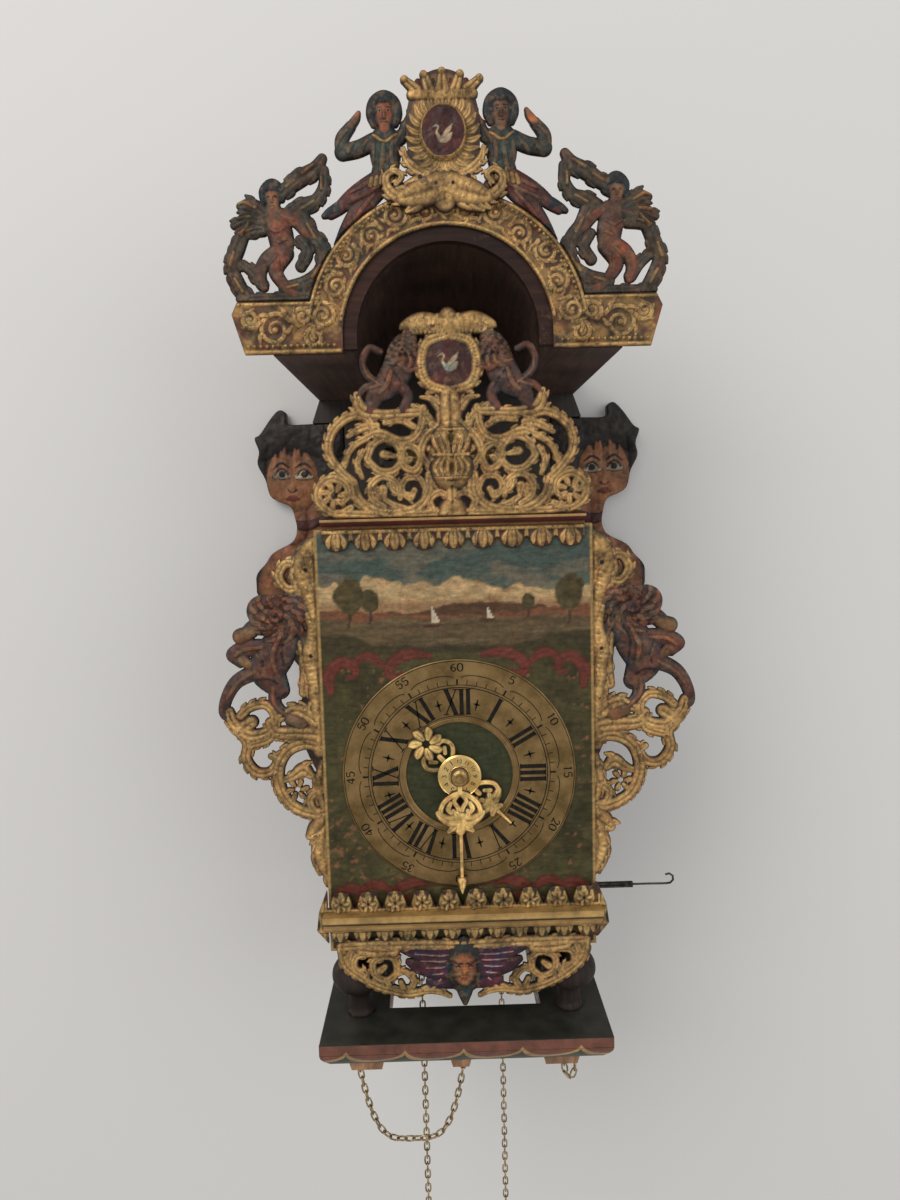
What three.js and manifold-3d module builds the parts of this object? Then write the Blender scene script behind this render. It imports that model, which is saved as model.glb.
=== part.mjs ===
// A stool clock: a weight-driven wall clock that stands on a small bracket under a hood.
// Millimetres, +Z up, the front faces -Y. The origin is on the wall, on the centre line,
// level with the top of the seat that the clock stands on.

import * as THREE from 'three';
import { mergeVertices } from 'three/addons/utils/BufferGeometryUtils.js';
import Module from 'manifold-3d';

const wasm = await Module();
wasm.setup();

// Clearances shared by all pieces
const fit = 0.3; // between pieces that touch
const bearing = 0.3; // round a turning arbor
const overrun = 4; // how far a cutting tool passes the face it cuts
const outlineTolerance = 1; // how far a simplified casting outline may stray
const leastEyeArea = 14; // smaller eyes in a casting are filled, in square millimetres
const percent = 1 / 100;

// Bracket: back board, seat and the figures cut from boards at its sides
const boardThickness = 12;
const boardHalfWidth = 104;
const boardCheekHalfWidth = 136;
const hangingHoleRadius = 6;
const hangingHoleDrop = 22;
const boardCheekHeight = 22.4;
const mermaidHeight = 480;
const mermaidThickness = 9;
const seatHalfWidth = 113;
const seatFront = -267.6;
const seatBoardThickness = 8;
const seatDepthBelow = 22;
const seatTaper = 11.5;
const seatRail = 47.6;
const seatRearRail = 80;
const seatOpeningHalfWidth = 62;
const blockHeight = 11;
const blockDepth = 22;
const blockSetback = 5;
const blockTaper = 2.5;
const blockXs = { left: -79, centre: -4.5, right: 75 };
const blockHalfWidths = { left: 14.5, centre: 9, right: 15 };

// Clock case
const footRadius = 22.5;
const footX = 85;
const frontFootY = -222.4;
const rearFootY = -118;
const caseHalfWidth = 94;
const caseFront = -243.2;
const caseBack = -95;
const caseBoard = 12;
const caseBottom = 62;
const caseTop = 392;
const postSide = 12;
const postChamfer = 2;
const doorThickness = 5;
const doorPinRadius = 1.5;
const doorPinLength = 5;
const doorPanelSink = 1.5;
const doorPanelMargin = 16;
const doorPivotInset = 2.5;
const backPanelThickness = 5;

// Dial
const dialHalfWidth = 104;
const dialFront = -245;
const dialThickness = 1.5;
const dialTop = caseTop + fit;
const dialBottom = 64;
const dialCentre = 203;
const dialHoleRadius = 6.2;
const chapterRadius = 89.2;
const chapterInnerRadius = 40.8;
const chapterThickness = 1.2;
const alarmRadius = 16.5;
const handThickness = 1.2;
const handSpacing = 2.4;
const hourHandLength = 55;
const minuteHandLength = 92;
const arborProud = 7;

// Castings and mouldings round the dial
const castingThickness = 4.2;
const corniceHalfWidth = 98;
const corniceHeight = 6.8;
const corniceDepth = 18;
const fringeDrop = 17;
const fringePendants = 9;
const crestHeight = 150;
const wingHeight = 271;
const apronHeight = 50;
const baseCorniceHalfWidth = 107;
const baseCorniceZ = 91.5;
const baseCorniceHeight = 15;
const baseCorniceDepth = 17.2;
const leafStripHalfWidth = 104;
const leafRise = 18;
const leafDrop = 12;
const leafCount = 10;
const cornerSplay = 9;

// Hood
const hoodHalfWidth = 128;
const hoodFront = -242;
const hoodBeamHeight = 28;
const soffit = 520;
const boardCheekZ = soffit - boardCheekHeight;
const mermaidBottom = boardCheekZ - fit - mermaidHeight; // the heads reach up to the board's cheeks
const archRise = 10;
const archCentre = soffit + archRise;
const vaultRadius = 70;
const vaultThickness = 12;
const rimRadius = 66;
const hoodBoardThickness = 7.7;
const hoodBoardHalfWidth = 146;
const hoodBoardRadius = 98;
const friezeInnerRadius = 76;
const friezeOuterRadius = 102;
const friezeThickness = 4.2;
const shoulderHalfWidth = 155;
const shoulderRise = 36;
const shoulderTop = soffit + shoulderRise;
const cartoucheHeight = 100;
const cartoucheRise = 91;
const cartoucheBottom = soffit + cartoucheRise;
const figureHeight = 110;
const figureRise = 71;
const puttoHeight = 100;

// Movement
const barWidth = 16;
const barThickness = 4;
const frontBar = -230;
const middleBar = -164;
const rearBar = -104;
const arborRadius = 1.5;
const greatArborRadius = 3;
const greatTeeth = 42;
const greatModule = 2;
const fineModule = 1.6;
const secondTeeth = 36;
const contrateTeeth = 30;
const crownTeeth = 15;
const pinionLeaves = 6;
const greatWheelThickness = 3;
const wheelThickness = 2;
const sprocketRadius = 35;
const sprocketWidth = 12;
const chainY = { going: -211, strike: -141 };
const greatWheelSetoff = 11.5; // from the middle of the chain wheel to the great wheel
const secondWheelY = -199;
const contrateWebY = -176.4;
const contrateDepth = 4.2;
const contrateToothDepth = 4;
const crownWheelZ = 330;
const crownRadius = 18;
const crownHeight = 10;
const vergeZ = 352;
const vergeRadius = 1.8;
const palletReach = 13;
const palletWidth = 4.4;
const pendulumY = -70;
const bobRadius = 22;
const bobZ = 62;
const rodRadius = 1.2;
const cannonTeeth = 12;
const minuteWheelTeeth = 24;
const hourWheelTeeth = 36;
const cannonModule = 1.4;
const hourModule = 1.2;
const pipeWall = 1.7;
const hammerWheelY = -127;
const hammerPins = 8;
const hammerPinCircle = 24;
const hammerPinRadius = 1.2;
const hammerX = -60;
const hammerZ = 300;
const hammerY = -122;
const hammerHeadRadius = 6;
const flyReach = 15;
const flyWidth = 10;
const bellRadius = 46;
const bellRise = 58;
const bellMouthZ = caseTop + bellRise;
const bellHeight = 36;
const bellWall = 2.5;
const bellY = -120;
const postProud = 90;
const postTopZ = bellMouthZ + bellHeight + postProud;
const postRadius = 3;
const leverZ = 100.5;
const leverY = -222;
const leverEnd = 171;
const leverStripEnd = 138;
const leverInner = 30;
const leverHalfHeight = 2;
const leverHalfThickness = 1.6;
const leverWire = 0.9;
const leverPinRadius = 2;

// Chain
const linkPitch = 6.4;
const linkWidth = 5.8;
const wire = 1.5;
const fallBottom = { going: -212, strike: -268 };
const fallTail = 110;
const hookLength = 16;
const loopDrop = 66;
const bunchDrop = 16;

// Derived places
const dialBack = dialFront + dialThickness;
const seatOpeningFront = seatFront + seatRail;
const caseInnerBottom = caseBottom + caseBoard;
const caseInnerTop = caseTop - caseBoard;
const innerHeight = caseInnerTop - caseInnerBottom;
const postX = caseHalfWidth - postSide / 2;
const frontPostY = caseFront + postSide / 2;
const rearPostY = caseBack - postSide / 2;
const doorPivotX = caseHalfWidth - doorThickness / 2;
const doorPivotY = rearPostY - postSide / 2 - fit - doorPivotInset - doorPanelSink;
const pitchRadius = (teeth, size) => (teeth * size) / 2;
const secondZ = dialCentre + pitchRadius(greatTeeth + pinionLeaves, greatModule);
const thirdRise = pitchRadius(secondTeeth + pinionLeaves, fineModule);
const contrateZ = secondZ + thirdRise;
const contratePitch = pitchRadius(contrateTeeth, fineModule);
const contratePitchY = contrateWebY - wheelThickness - contrateDepth - contrateToothDepth / 2;
const crownArborY = contratePitchY - pitchRadius(pinionLeaves, fineModule) - 2 * fit;
const flyAt = { x: thirdRise * Math.SQRT1_2, z: secondZ + thirdRise * Math.SQRT1_2 };
const minuteWheelReach = pitchRadius(cannonTeeth + minuteWheelTeeth, cannonModule) + fit;
const minuteWheelAt = {
  x: -minuteWheelReach * Math.SQRT1_2,
  z: dialCentre - minuteWheelReach * Math.SQRT1_2,
};
const hourPipeRadius = greatArborRadius - 2 * bearing + pipeWall + bearing;
const hourHandBack = dialFront - chapterThickness - fit - handSpacing / 2;
const alarmBack = hourHandBack - handSpacing;
const minuteHandBack = alarmBack - handSpacing;
const hoodCastingBack = hoodFront - fit - hoodBoardThickness - fit;

// Finishes
const finish = (color, roughness, metalness) => (
  new THREE.MeshStandardMaterial({ color, roughness, metalness })
);
const darkWood = finish(0x2b201b, 0.6, 0);
const brownWood = finish(0x4a2f24, 0.55, 0);
const paleWood = finish(0x8a5a38, 0.7, 0);
const skinPaint = finish(0xa5622f, 0.5, 0);
const gilt = finish(0xc09a45, 0.4, 0.6);
const redPaint = finish(0x5a2a26, 0.55, 0);
const giltAndPurple = finish(0x9a7a3a, 0.45, 0.4);
const figurePaint = finish(0x4f2f30, 0.55, 0);
const plateGreen = finish(0x2f3325, 0.5, 0);
const brass = finish(0xb08d45, 0.35, 0.9);
const oldBrass = finish(0x97824d, 0.45, 0.8);
const iron = finish(0x38332e, 0.55, 0.8);
const steel = finish(0x6a645b, 0.4, 0.9);

// Joining and cutting
function solidOf(geometry) {
  const bare = new THREE.BufferGeometry();
  bare.setAttribute('position', geometry.getAttribute('position'));
  if (geometry.index) bare.setIndex(geometry.index);
  const merged = mergeVertices(bare);
  const corners = merged.index.array;
  const kept = [];
  for (let i = 0; i < corners.length; i += 3) {
    const [a, b, c] = [corners[i], corners[i + 1], corners[i + 2]];
    if (a !== b && b !== c && c !== a) kept.push(a, b, c);
  }
  return new wasm.Manifold(new wasm.Mesh({
    numProp: 3,
    vertProperties: new Float32Array(merged.getAttribute('position').array),
    triVerts: new Uint32Array(kept),
  }));
}

function geometryOf(solid) {
  const { vertProperties, triVerts } = solid.getMesh();
  const geometry = new THREE.BufferGeometry();
  geometry.setAttribute('position', new THREE.BufferAttribute(vertProperties, 3));
  geometry.setIndex(new THREE.BufferAttribute(triVerts, 1));
  return geometry;
}

const join = (first, ...others) => geometryOf(
  others.reduce((whole, piece) => whole.add(solidOf(piece)), solidOf(first)),
);

const cut = (block, ...tools) => geometryOf(
  tools.reduce((rest, tool) => rest.subtract(solidOf(tool)), solidOf(block)),
);

const moved = (geometry, x, y, z) => geometry.translate(x, y, z);

// Basic forms
function box(low, high) {
  const size = new THREE.Vector3().subVectors(high, low);
  const middle = new THREE.Vector3().addVectors(high, low).multiplyScalar(1 / 2);
  return new THREE.BoxGeometry(size.x, size.y, size.z).translate(middle.x, middle.y, middle.z);
}

const point = (x, y, z) => new THREE.Vector3(x, y, z);

// An upright plate drawn in x and z. Its back is at y = 0 and its front at y = -thickness.
function uprightPlate(shape, thickness, curveSegments = 12) {
  const geometry = new THREE.ExtrudeGeometry(shape, {
    depth: thickness, bevelEnabled: false, curveSegments,
  });
  return geometry.rotateX(Math.PI / 2);
}

// A level plate drawn in x and y, standing on z = 0.
function levelPlate(shape, thickness, curveSegments = 12) {
  return new THREE.ExtrudeGeometry(shape, {
    depth: thickness, bevelEnabled: false, curveSegments,
  });
}

// A moulding: a profile drawn in y and z, run along x, centred.
function moulding(shape, length) {
  const geometry = new THREE.ExtrudeGeometry(shape, { depth: length, bevelEnabled: false });
  const turn = new THREE.Matrix4().makeBasis(point(0, 1, 0), point(0, 0, 1), point(1, 0, 0));
  return geometry.applyMatrix4(turn).translate(-length / 2, 0, 0);
}

function polygon(points) {
  return new THREE.Shape(points.map(([x, y]) => new THREE.Vector2(x, y)));
}

// A form turned about an upright axis from [radius, height] pairs.
function turned(profile, segments) {
  const points = profile.map(([radius, height]) => new THREE.Vector2(radius, height));
  return new THREE.LatheGeometry(points, segments).rotateX(Math.PI / 2);
}

// The same, about an axis that runs from back to front: heights count towards +Y.
const turnedAlongY = (profile, segments) => turned(profile, segments).rotateX(-Math.PI / 2);

const rod = (radius, from, to, segments = 8) => turned([
  [0, from], [radius, from], [radius, to], [0, to],
], segments);

const rodAlongY = (radius, from, to, segments = 8) => turnedAlongY([
  [0, from], [radius, from], [radius, to], [0, to],
], segments);

// The same as a drill: its flats, not its corners, lie at the radius.
const drill = (radius, from, to, segments = 8) => (
  rod(radius / Math.cos(Math.PI / segments), from, to, segments)
);
const drillAlongY = (radius, from, to, segments = 8) => (
  rodAlongY(radius / Math.cos(Math.PI / segments), from, to, segments)
);

// Rings of equal count, each listed counter-clockwise seen from above, joined from low to high.
function loft(rings) {
  const count = rings[0].length;
  const vertices = rings.flat().flatMap((corner) => [corner.x, corner.y, corner.z]);
  const faces = [];
  for (let k = 0; k + 1 < rings.length; k += 1) {
    for (let i = 0; i < count; i += 1) {
      const a = k * count + i;
      const b = k * count + ((i + 1) % count);
      faces.push(a, b, b + count, a, b + count, a + count);
    }
  }
  const last = (rings.length - 1) * count;
  for (let i = 1; i + 1 < count; i += 1) {
    faces.push(0, i + 1, i, last, last + i, last + i + 1);
  }
  const geometry = new THREE.BufferGeometry();
  geometry.setAttribute('position', new THREE.Float32BufferAttribute(vertices, 3));
  geometry.setIndex(faces);
  return geometry;
}

// Castings: smooth strokes of changing width, melted into one outline
function convexHull(points) {
  const sorted = [...points].sort((a, b) => a.x - b.x || a.y - b.y);
  const turnOf = (o, a, b) => (a.x - o.x) * (b.y - o.y) - (a.y - o.y) * (b.x - o.x);
  const half = (list) => {
    const chain = [];
    for (const p of list) {
      while (chain.length > 1 && turnOf(chain.at(-2), chain.at(-1), p) <= 0) chain.pop();
      chain.push(p);
    }
    chain.pop();
    return chain;
  };
  return [...half(sorted), ...half(sorted.reverse())];
}

function ringAround(centre, radius, count) {
  return Array.from({ length: count }, (_, i) => {
    const angle = (2 * Math.PI * (i + 1 / 2)) / count;
    return new THREE.Vector2(
      centre.x + radius * Math.cos(angle),
      centre.y + radius * Math.sin(angle),
    );
  });
}

// One stroke as overlapping convex pieces between neighbouring stations.
function strokePieces(stroke) {
  const stationsPerSpan = 3;
  const sides = 8;
  const curve = new THREE.CatmullRomCurve3(stroke.map((p) => point(...p)), false, 'centripetal');
  const stations = curve.getPoints((stroke.length - 1) * stationsPerSpan);
  const rings = stations.map((s) => ringAround(s, s.z / 2, sides));
  return rings.slice(1).map((ring, i) => new THREE.Shape(convexHull([...rings[i], ...ring])));
}

// The loops that bound the top face of a flat solid, as lists of points.
function topLoops(solid, top) {
  const { vertProperties, triVerts } = solid.getMesh();
  const isTop = (v) => Math.abs(vertProperties[3 * v + 2] - top) < fit;
  const edges = new Map();
  for (let i = 0; i < triVerts.length; i += 3) {
    const corners = [triVerts[i], triVerts[i + 1], triVerts[i + 2]];
    if (!corners.every(isTop)) continue;
    corners.forEach((a, k) => edges.set(`${a} ${corners[(k + 1) % 3]}`, [a, corners[(k + 1) % 3]]));
  }
  const next = new Map();
  for (const [a, b] of edges.values()) {
    if (!edges.has(`${b} ${a}`)) next.set(a, b);
  }
  const loops = [];
  while (next.size) {
    const loop = [];
    let v = next.keys().next().value;
    while (next.has(v)) {
      loop.push(new THREE.Vector2(vertProperties[3 * v], vertProperties[3 * v + 1]));
      const following = next.get(v);
      next.delete(v);
      v = following;
    }
    loops.push(loop);
  }
  return loops;
}

// Leaves out the points that stray less than the tolerance from the line of their neighbours.
function simplified(loop, tolerance) {
  const thin = (points) => {
    if (points.length < 3) return points;
    const [a, b] = [points[0], points.at(-1)];
    const span = b.clone().sub(a);
    let worst = 0;
    let at = 0;
    for (let i = 1; i + 1 < points.length; i += 1) {
      const off = Math.abs(points[i].clone().sub(a).cross(span)) / span.length();
      if (off > worst) [worst, at] = [off, i];
    }
    if (worst < tolerance) return [a, b];
    return [...thin(points.slice(0, at + 1)).slice(0, -1), ...thin(points.slice(at))];
  };
  const far = loop.reduce((best, p, i) => (
    p.distanceTo(loop[0]) > loop[best].distanceTo(loop[0]) ? i : best
  ), 0);
  return [
    ...thin(loop.slice(0, far + 1)).slice(0, -1),
    ...thin([...loop.slice(far), loop[0]]).slice(0, -1),
  ];
}

// A casting's outline, from stroke tables in hundredths of its height.
// side 1 or -1 draws it towards +X or -X, and 'both' mirrors it about its own axis.
function castingShape(tables, height, side, away = []) {
  const scale = height * percent;
  const sides = side === 'both' ? [1, -1] : [side];
  const pieces = sides.flatMap((s) => tables.flat().flatMap((stroke) => strokePieces(
    stroke.map(([x, z, w]) => [s * x * scale, z * scale, w * scale]),
  )));
  const flat = (shape) => solidOf(levelPlate(shape, 1));
  let solid = wasm.Manifold.union(pieces.map(flat));
  for (const shape of away) solid = solid.subtract(flat(shape).scale([1, 1, 3]).translate([0, 0, -1]));
  const loops = topLoops(solid, 1)
    .filter((loop) => Math.abs(THREE.ShapeUtils.area(loop)) > leastEyeArea)
    .sort((a, b) => THREE.ShapeUtils.area(b) - THREE.ShapeUtils.area(a))
    .map((loop) => simplified(loop, outlineTolerance));
  const shape = new THREE.Shape(loops[0]);
  shape.holes = loops.slice(1)
    .filter((loop) => THREE.ShapeUtils.area(loop) < 0)
    .map((loop) => new THREE.Path(loop));
  return shape;
}

// Toothed wheels
// A spur outline: pointed teeth on wheels, flat-topped leaves on pinions. Without a root
// share the gaps are plain notches.
function spurShape(teeth, size, phase, tipShare, rootShare) {
  const radius = pitchRadius(teeth, size);
  const tip = radius + size * 0.85;
  const root = radius - size * 1.15;
  const pitch = (2 * Math.PI) / teeth;
  const points = [];
  const add = (angle, r) => points.push([r * Math.cos(angle), r * Math.sin(angle)]);
  for (let i = 0; i < teeth; i += 1) {
    const middle = phase + i * pitch;
    if (rootShare) add(middle - rootShare * pitch, root);
    else add(middle - pitch / 2, root - size / 4);
    if (tipShare) add(middle - tipShare * pitch, tip);
    add(middle + tipShare * pitch, tip);
    if (rootShare) add(middle + rootShare * pitch, root);
  }
  return polygon(points);
}

// Four openings that leave a rim, a hub and four arms.
function crossings(innerRadius, rimRadiusHere, armWidth) {
  const steps = 3;
  return [0, 1, 2, 3].map((k) => {
    const arc = (radius, from, to) => Array.from({ length: steps + 1 }, (_, i) => {
      const angle = from + ((to - from) * i) / steps;
      return [radius * Math.cos(angle), radius * Math.sin(angle)];
    });
    const start = (k * Math.PI) / 2;
    const outerTrim = Math.asin(armWidth / 2 / rimRadiusHere);
    const innerTrim = Math.asin(armWidth / 2 / innerRadius);
    const end = start + Math.PI / 2;
    const loop = [
      ...arc(rimRadiusHere, start + outerTrim, end - outerTrim),
      ...arc(innerRadius, end - innerTrim, start + innerTrim),
    ];
    return new THREE.Path(loop.map(([x, y]) => new THREE.Vector2(x, y)));
  });
}

const wheelToothShares = [0, 0.3];
const plainToothShares = [0, 0];
const leafShares = [0.07, 0.2];

function wheelPlate(teeth, size, thickness, phase, crossed) {
  const shape = spurShape(teeth, size, phase, ...wheelToothShares);
  if (crossed) {
    const rim = pitchRadius(teeth, size) - 4 * size;
    shape.holes = crossings(2.2 * greatArborRadius, rim, 2 * greatArborRadius);
  }
  return uprightPlate(shape, thickness);
}

const pinionPlate = (size, length, phase) => (
  uprightPlate(spurShape(pinionLeaves, size, phase, ...leafShares), length)
);

// The phase that puts a gap of the second wheel on a tooth of the first, along an angle.
function meshedPhase(teeth, phase, otherTeeth, along) {
  const pitch = (2 * Math.PI) / teeth;
  const offset = (phase - along) / pitch;
  return along + Math.PI + ((2 * Math.PI) / otherTeeth) * (-offset - 1 / 2);
}

// A ring whose upper edge is cut into teeth. heights lists [share of a pitch, height] pairs.
function toothedRing(inner, outer, base, teeth, heights, phase) {
  const rings = [[], [], [], []];
  for (let i = 0; i < teeth; i += 1) {
    for (const [share, height] of heights) {
      const angle = phase + ((i + share) * 2 * Math.PI) / teeth;
      const at = (radius, z) => point(radius * Math.cos(angle), radius * Math.sin(angle), z);
      rings[0].push(at(outer, base));
      rings[1].push(at(outer, height));
      rings[2].push(at(inner, height));
      rings[3].push(at(inner, base));
    }
  }
  const count = rings[0].length;
  const vertices = rings.flat().flatMap((corner) => [corner.x, corner.y, corner.z]);
  const faces = [];
  for (let k = 0; k < 4; k += 1) {
    for (let i = 0; i < count; i += 1) {
      const j = (i + 1) % count;
      const [low, high] = [k * count, ((k + 1) % 4) * count];
      faces.push(low + i, low + j, high + j, low + i, high + j, high + i);
    }
  }
  const geometry = new THREE.BufferGeometry();
  geometry.setAttribute('position', new THREE.Float32BufferAttribute(vertices, 3));
  geometry.setIndex(faces);
  return geometry;
}

// Chains
// A run of links along a curve. Every other link is turned a quarter about the run, so the
// section is widest across at one link's middle and widest front to back at the next one's.
function chainRun(curve, across) {
  const length = curve.getLength();
  const links = Math.max(2, Math.round(length / linkPitch));
  const rings = [];
  const ringAt = (share, wide, deep) => {
    const centre = curve.getPointAt(share);
    const along = curve.getTangentAt(share);
    const side = across.clone().addScaledVector(along, -across.dot(along)).normalize();
    const normal = new THREE.Vector3().crossVectors(along, side);
    return [[1, 0], [0, 1], [-1, 0], [0, -1]].map(([s, n]) => centre.clone()
      .addScaledVector(side, (s * wide) / 2)
      .addScaledVector(normal, (n * deep) / 2));
  };
  for (let i = 0; i <= links; i += 1) {
    const [wide, deep] = i % 2 ? [wire, linkWidth] : [linkWidth, wire];
    rings.push(ringAt(i / links, wide, deep));
  }
  return loft(rings);
}

const clock = new THREE.Group();
const group = () => {
  const made = new THREE.Group();
  clock.add(made);
  return made;
};

function place(parent, name, geometry, material, x = 0, y = 0, z = 0) {
  const clean = geometryOf(solidOf(geometry));
  clean.computeVertexNormals();
  const mesh = new THREE.Mesh(clean, material);
  mesh.name = name;
  mesh.position.set(x, y, z);
  parent.add(mesh);
  return mesh;
}

const bothSides = [['left', -1], ['right', 1]];

// The area below a casting's foot, for cutting its strokes off level.
const belowFoot = (halfWidth, depth) => polygon([
  [-halfWidth, -depth], [halfWidth, -depth], [halfWidth, 0], [-halfWidth, 0],
]);

// The outline that the hood's wooden and gilded fronts share: shoulders and an arch.
function hoodOutline(halfWidth, bottom, shoulder, outerRadius, innerRadius, roundedEnd) {
  const shape = new THREE.Shape();
  const footAngle = Math.asin((shoulder - archCentre) / outerRadius);
  shape.moveTo(innerRadius, bottom);
  if (roundedEnd) {
    shape.lineTo(halfWidth - roundedEnd, bottom);
    shape.lineTo(halfWidth, shoulder - roundedEnd);
    shape.lineTo(halfWidth - roundedEnd / 2, shoulder);
  } else {
    shape.lineTo(halfWidth, bottom);
    shape.lineTo(halfWidth, shoulder);
  }
  shape.absarc(0, archCentre, outerRadius, footAngle, Math.PI - footAngle, false);
  if (roundedEnd) {
    shape.lineTo(roundedEnd / 2 - halfWidth, shoulder);
    shape.lineTo(-halfWidth, shoulder - roundedEnd);
    shape.lineTo(roundedEnd - halfWidth, bottom);
  } else {
    shape.lineTo(-halfWidth, shoulder);
    shape.lineTo(-halfWidth, bottom);
  }
  shape.lineTo(-innerRadius, bottom);
  shape.absarc(0, archCentre, innerRadius, Math.PI, 0, true);
  return shape;
}

// Bracket
const bracket = group();

function backBoard() {
  const shape = new THREE.Shape();
  const outer = vaultRadius + vaultThickness;
  const foot = Math.asin((soffit + hoodBeamHeight - archCentre) / outer);
  const rightSide = [
    [boardHalfWidth, -seatDepthBelow],
    [boardHalfWidth, boardCheekZ],
    [boardCheekHalfWidth, boardCheekZ],
    [hoodHalfWidth, soffit],
    [hoodHalfWidth, soffit + hoodBeamHeight],
  ];
  shape.moveTo(...rightSide[0]);
  rightSide.slice(1).forEach(([x, z]) => shape.lineTo(x, z));
  shape.absarc(0, archCentre, outer, foot, Math.PI - foot, false);
  [...rightSide].reverse().forEach(([x, z]) => shape.lineTo(-x, z));
  const hole = new THREE.Path();
  hole.absarc(0, archCentre + outer - hangingHoleDrop, hangingHoleRadius, 0, 2 * Math.PI, true);
  shape.holes.push(hole);
  return uprightPlate(shape, boardThickness);
}
place(bracket, 'back_board', backBoard(), darkWood);

// Across from the board's edge and up from the tail, in hundredths of the mermaid's height.
const mermaidShares = [
  [0, 100], [7, 100], [11.8, 100.1], [12.2, 102.3], [13.7, 103], [15.6, 101.2], [17.9, 98.1],
  [19.1, 97.2], [18.3, 94.5], [18.7, 91.8], [17.2, 88.6], [16.4, 85.3], [14.7, 83.9],
  [12.1, 82.7], [11.2, 79.9], [11, 77.6], [12.1, 75.2], [16.2, 73], [17.9, 70.8],
  [20, 68.3], [20.2, 64.6], [17.8, 60], [16.4, 55], [12.4, 49], [9.6, 45], [12, 40],
  [12.4, 34], [10, 27], [6.4, 20], [4, 13], [5.4, 7], [4.4, 2], [0, 0],
];

for (const [side, sign] of bothSides) {
  const scale = mermaidHeight * percent;
  const outline = mermaidShares.map(([across, up]) => [
    sign * (boardHalfWidth + fit + across * scale),
    mermaidBottom + up * scale,
  ]);
  place(bracket, `mermaid_${side}`, uprightPlate(polygon(outline), mermaidThickness), skinPaint);
}

const seatOpening = (top, bottom) => box(
  point(-seatOpeningHalfWidth, seatOpeningFront, bottom),
  point(seatOpeningHalfWidth, -seatRearRail, top),
);
place(bracket, 'seat_board', cut(
  box(point(-seatHalfWidth, seatFront, -seatBoardThickness),
    point(seatHalfWidth, -boardThickness - fit, 0)),
  seatOpening(overrun, -seatBoardThickness - overrun),
), darkWood);

function seatMoulding() {
  const top = -seatBoardThickness - fit;
  const fall = seatDepthBelow - seatBoardThickness - fit;
  const profileShares = [[1, 1], [0.8, 0.62], [0.45, 0.25], [0.2, 0.06], [0, 0]];
  const level = ([downShare, insetShare]) => {
    const inset = insetShare * seatTaper;
    const z = top - downShare * fall;
    const [x, front, back] = [seatHalfWidth - inset, seatFront + inset, -boardThickness - fit];
    return [point(-x, front, z), point(x, front, z), point(x, back, z), point(-x, back, z)];
  };
  return cut(loft(profileShares.map(level)), seatOpening(0, -seatDepthBelow - overrun));
}
place(bracket, 'seat_moulding', seatMoulding(), redPaint);

for (const side of Object.keys(blockXs)) {
  const level = (z, half, inset) => [
    point(-half, -blockDepth + inset, z), point(half, -blockDepth + inset, z),
    point(half, 0, z), point(-half, 0, z),
  ];
  const half = blockHalfWidths[side];
  place(bracket, `chain_block_${side}`, loft([
    level(-blockHeight, half - blockTaper, blockTaper),
    level(0, half, 0),
  ]), paleWood, blockXs[side], seatFront + seatTaper + blockSetback + blockDepth,
  -seatDepthBelow - fit);
}

// Clock case
const caseWork = group();

const footShares = [
  [0, 0], [0.5, 0], [0.42, 0.1], [0.42, 0.3], [0.8, 0.38], [1, 0.48],
  [1, 0.6], [0.78, 0.72], [0.42, 0.82], [0.5, 1], [0, 1],
];
const footHeight = caseBottom - 2 * fit;
for (const [side, sign] of bothSides) {
  for (const [end, y] of [['front', frontFootY], ['rear', rearFootY]]) {
    const profile = footShares.map(([r, h]) => [r * footRadius, h * footHeight]);
    place(caseWork, `foot_${end}_${side}`, turned(profile, 12), brownWood, sign * footX, y, fit);
  }
}

const doorPinHoles = (z) => bothSides.map(([, sign]) => (
  moved(drill(doorPinRadius + bearing, -caseBoard, caseBoard, 8), sign * doorPivotX, doorPivotY, z)
));
const caseBoardBox = (bottom) => box(
  point(-caseHalfWidth, caseFront, bottom),
  point(caseHalfWidth, caseBack, bottom + caseBoard),
);

function chainHoles() {
  const radius = linkWidth;
  return bothSides.flatMap(([, sign]) => Object.values(chainY).map((y) => (
    moved(rod(radius, -overrun, caseBoard + overrun, 8), sign * sprocketRadius, y, caseBottom)
  )));
}

// A corner post, tenoned into the bottom board. The front right one carries the lever's pin.
function post(sign, y) {
  const half = postSide / 2;
  const edge = half - postChamfer;
  const section = polygon([
    [-edge, -half], [edge, -half], [half, -edge], [half, edge],
    [edge, half], [-edge, half], [-half, edge], [-half, -edge],
  ]);
  return moved(levelPlate(section, innerHeight - fit + postChamfer),
    sign * postX, y, caseInnerBottom - postChamfer);
}
const leverPivotX = postX;
place(caseWork, 'case_frame', cut(
  join(
    caseBoardBox(caseBottom),
    ...bothSides.flatMap(([, sign]) => [post(sign, frontPostY), post(sign, rearPostY)]),
    moved(rodAlongY(leverPinRadius, frontPostY, leverY + 2 * overrun, 8), leverPivotX, 0, leverZ),
  ),
  ...chainHoles(),
  ...doorPinHoles(caseInnerBottom),
), darkWood);

const hammerSlotOuter = 22;
const hammerSlotInner = 6;
const hammerSlotHalf = 5;
const hammerSlot = box(
  point(hammerX - hammerSlotOuter, hammerY - hammerSlotHalf, caseInnerTop - overrun),
  point(hammerX + hammerSlotInner, hammerY + hammerSlotHalf, caseTop + overrun),
);
place(caseWork, 'case_top', cut(
  caseBoardBox(caseInnerTop), hammerSlot, ...doorPinHoles(caseInnerTop),
), darkWood);

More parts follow.
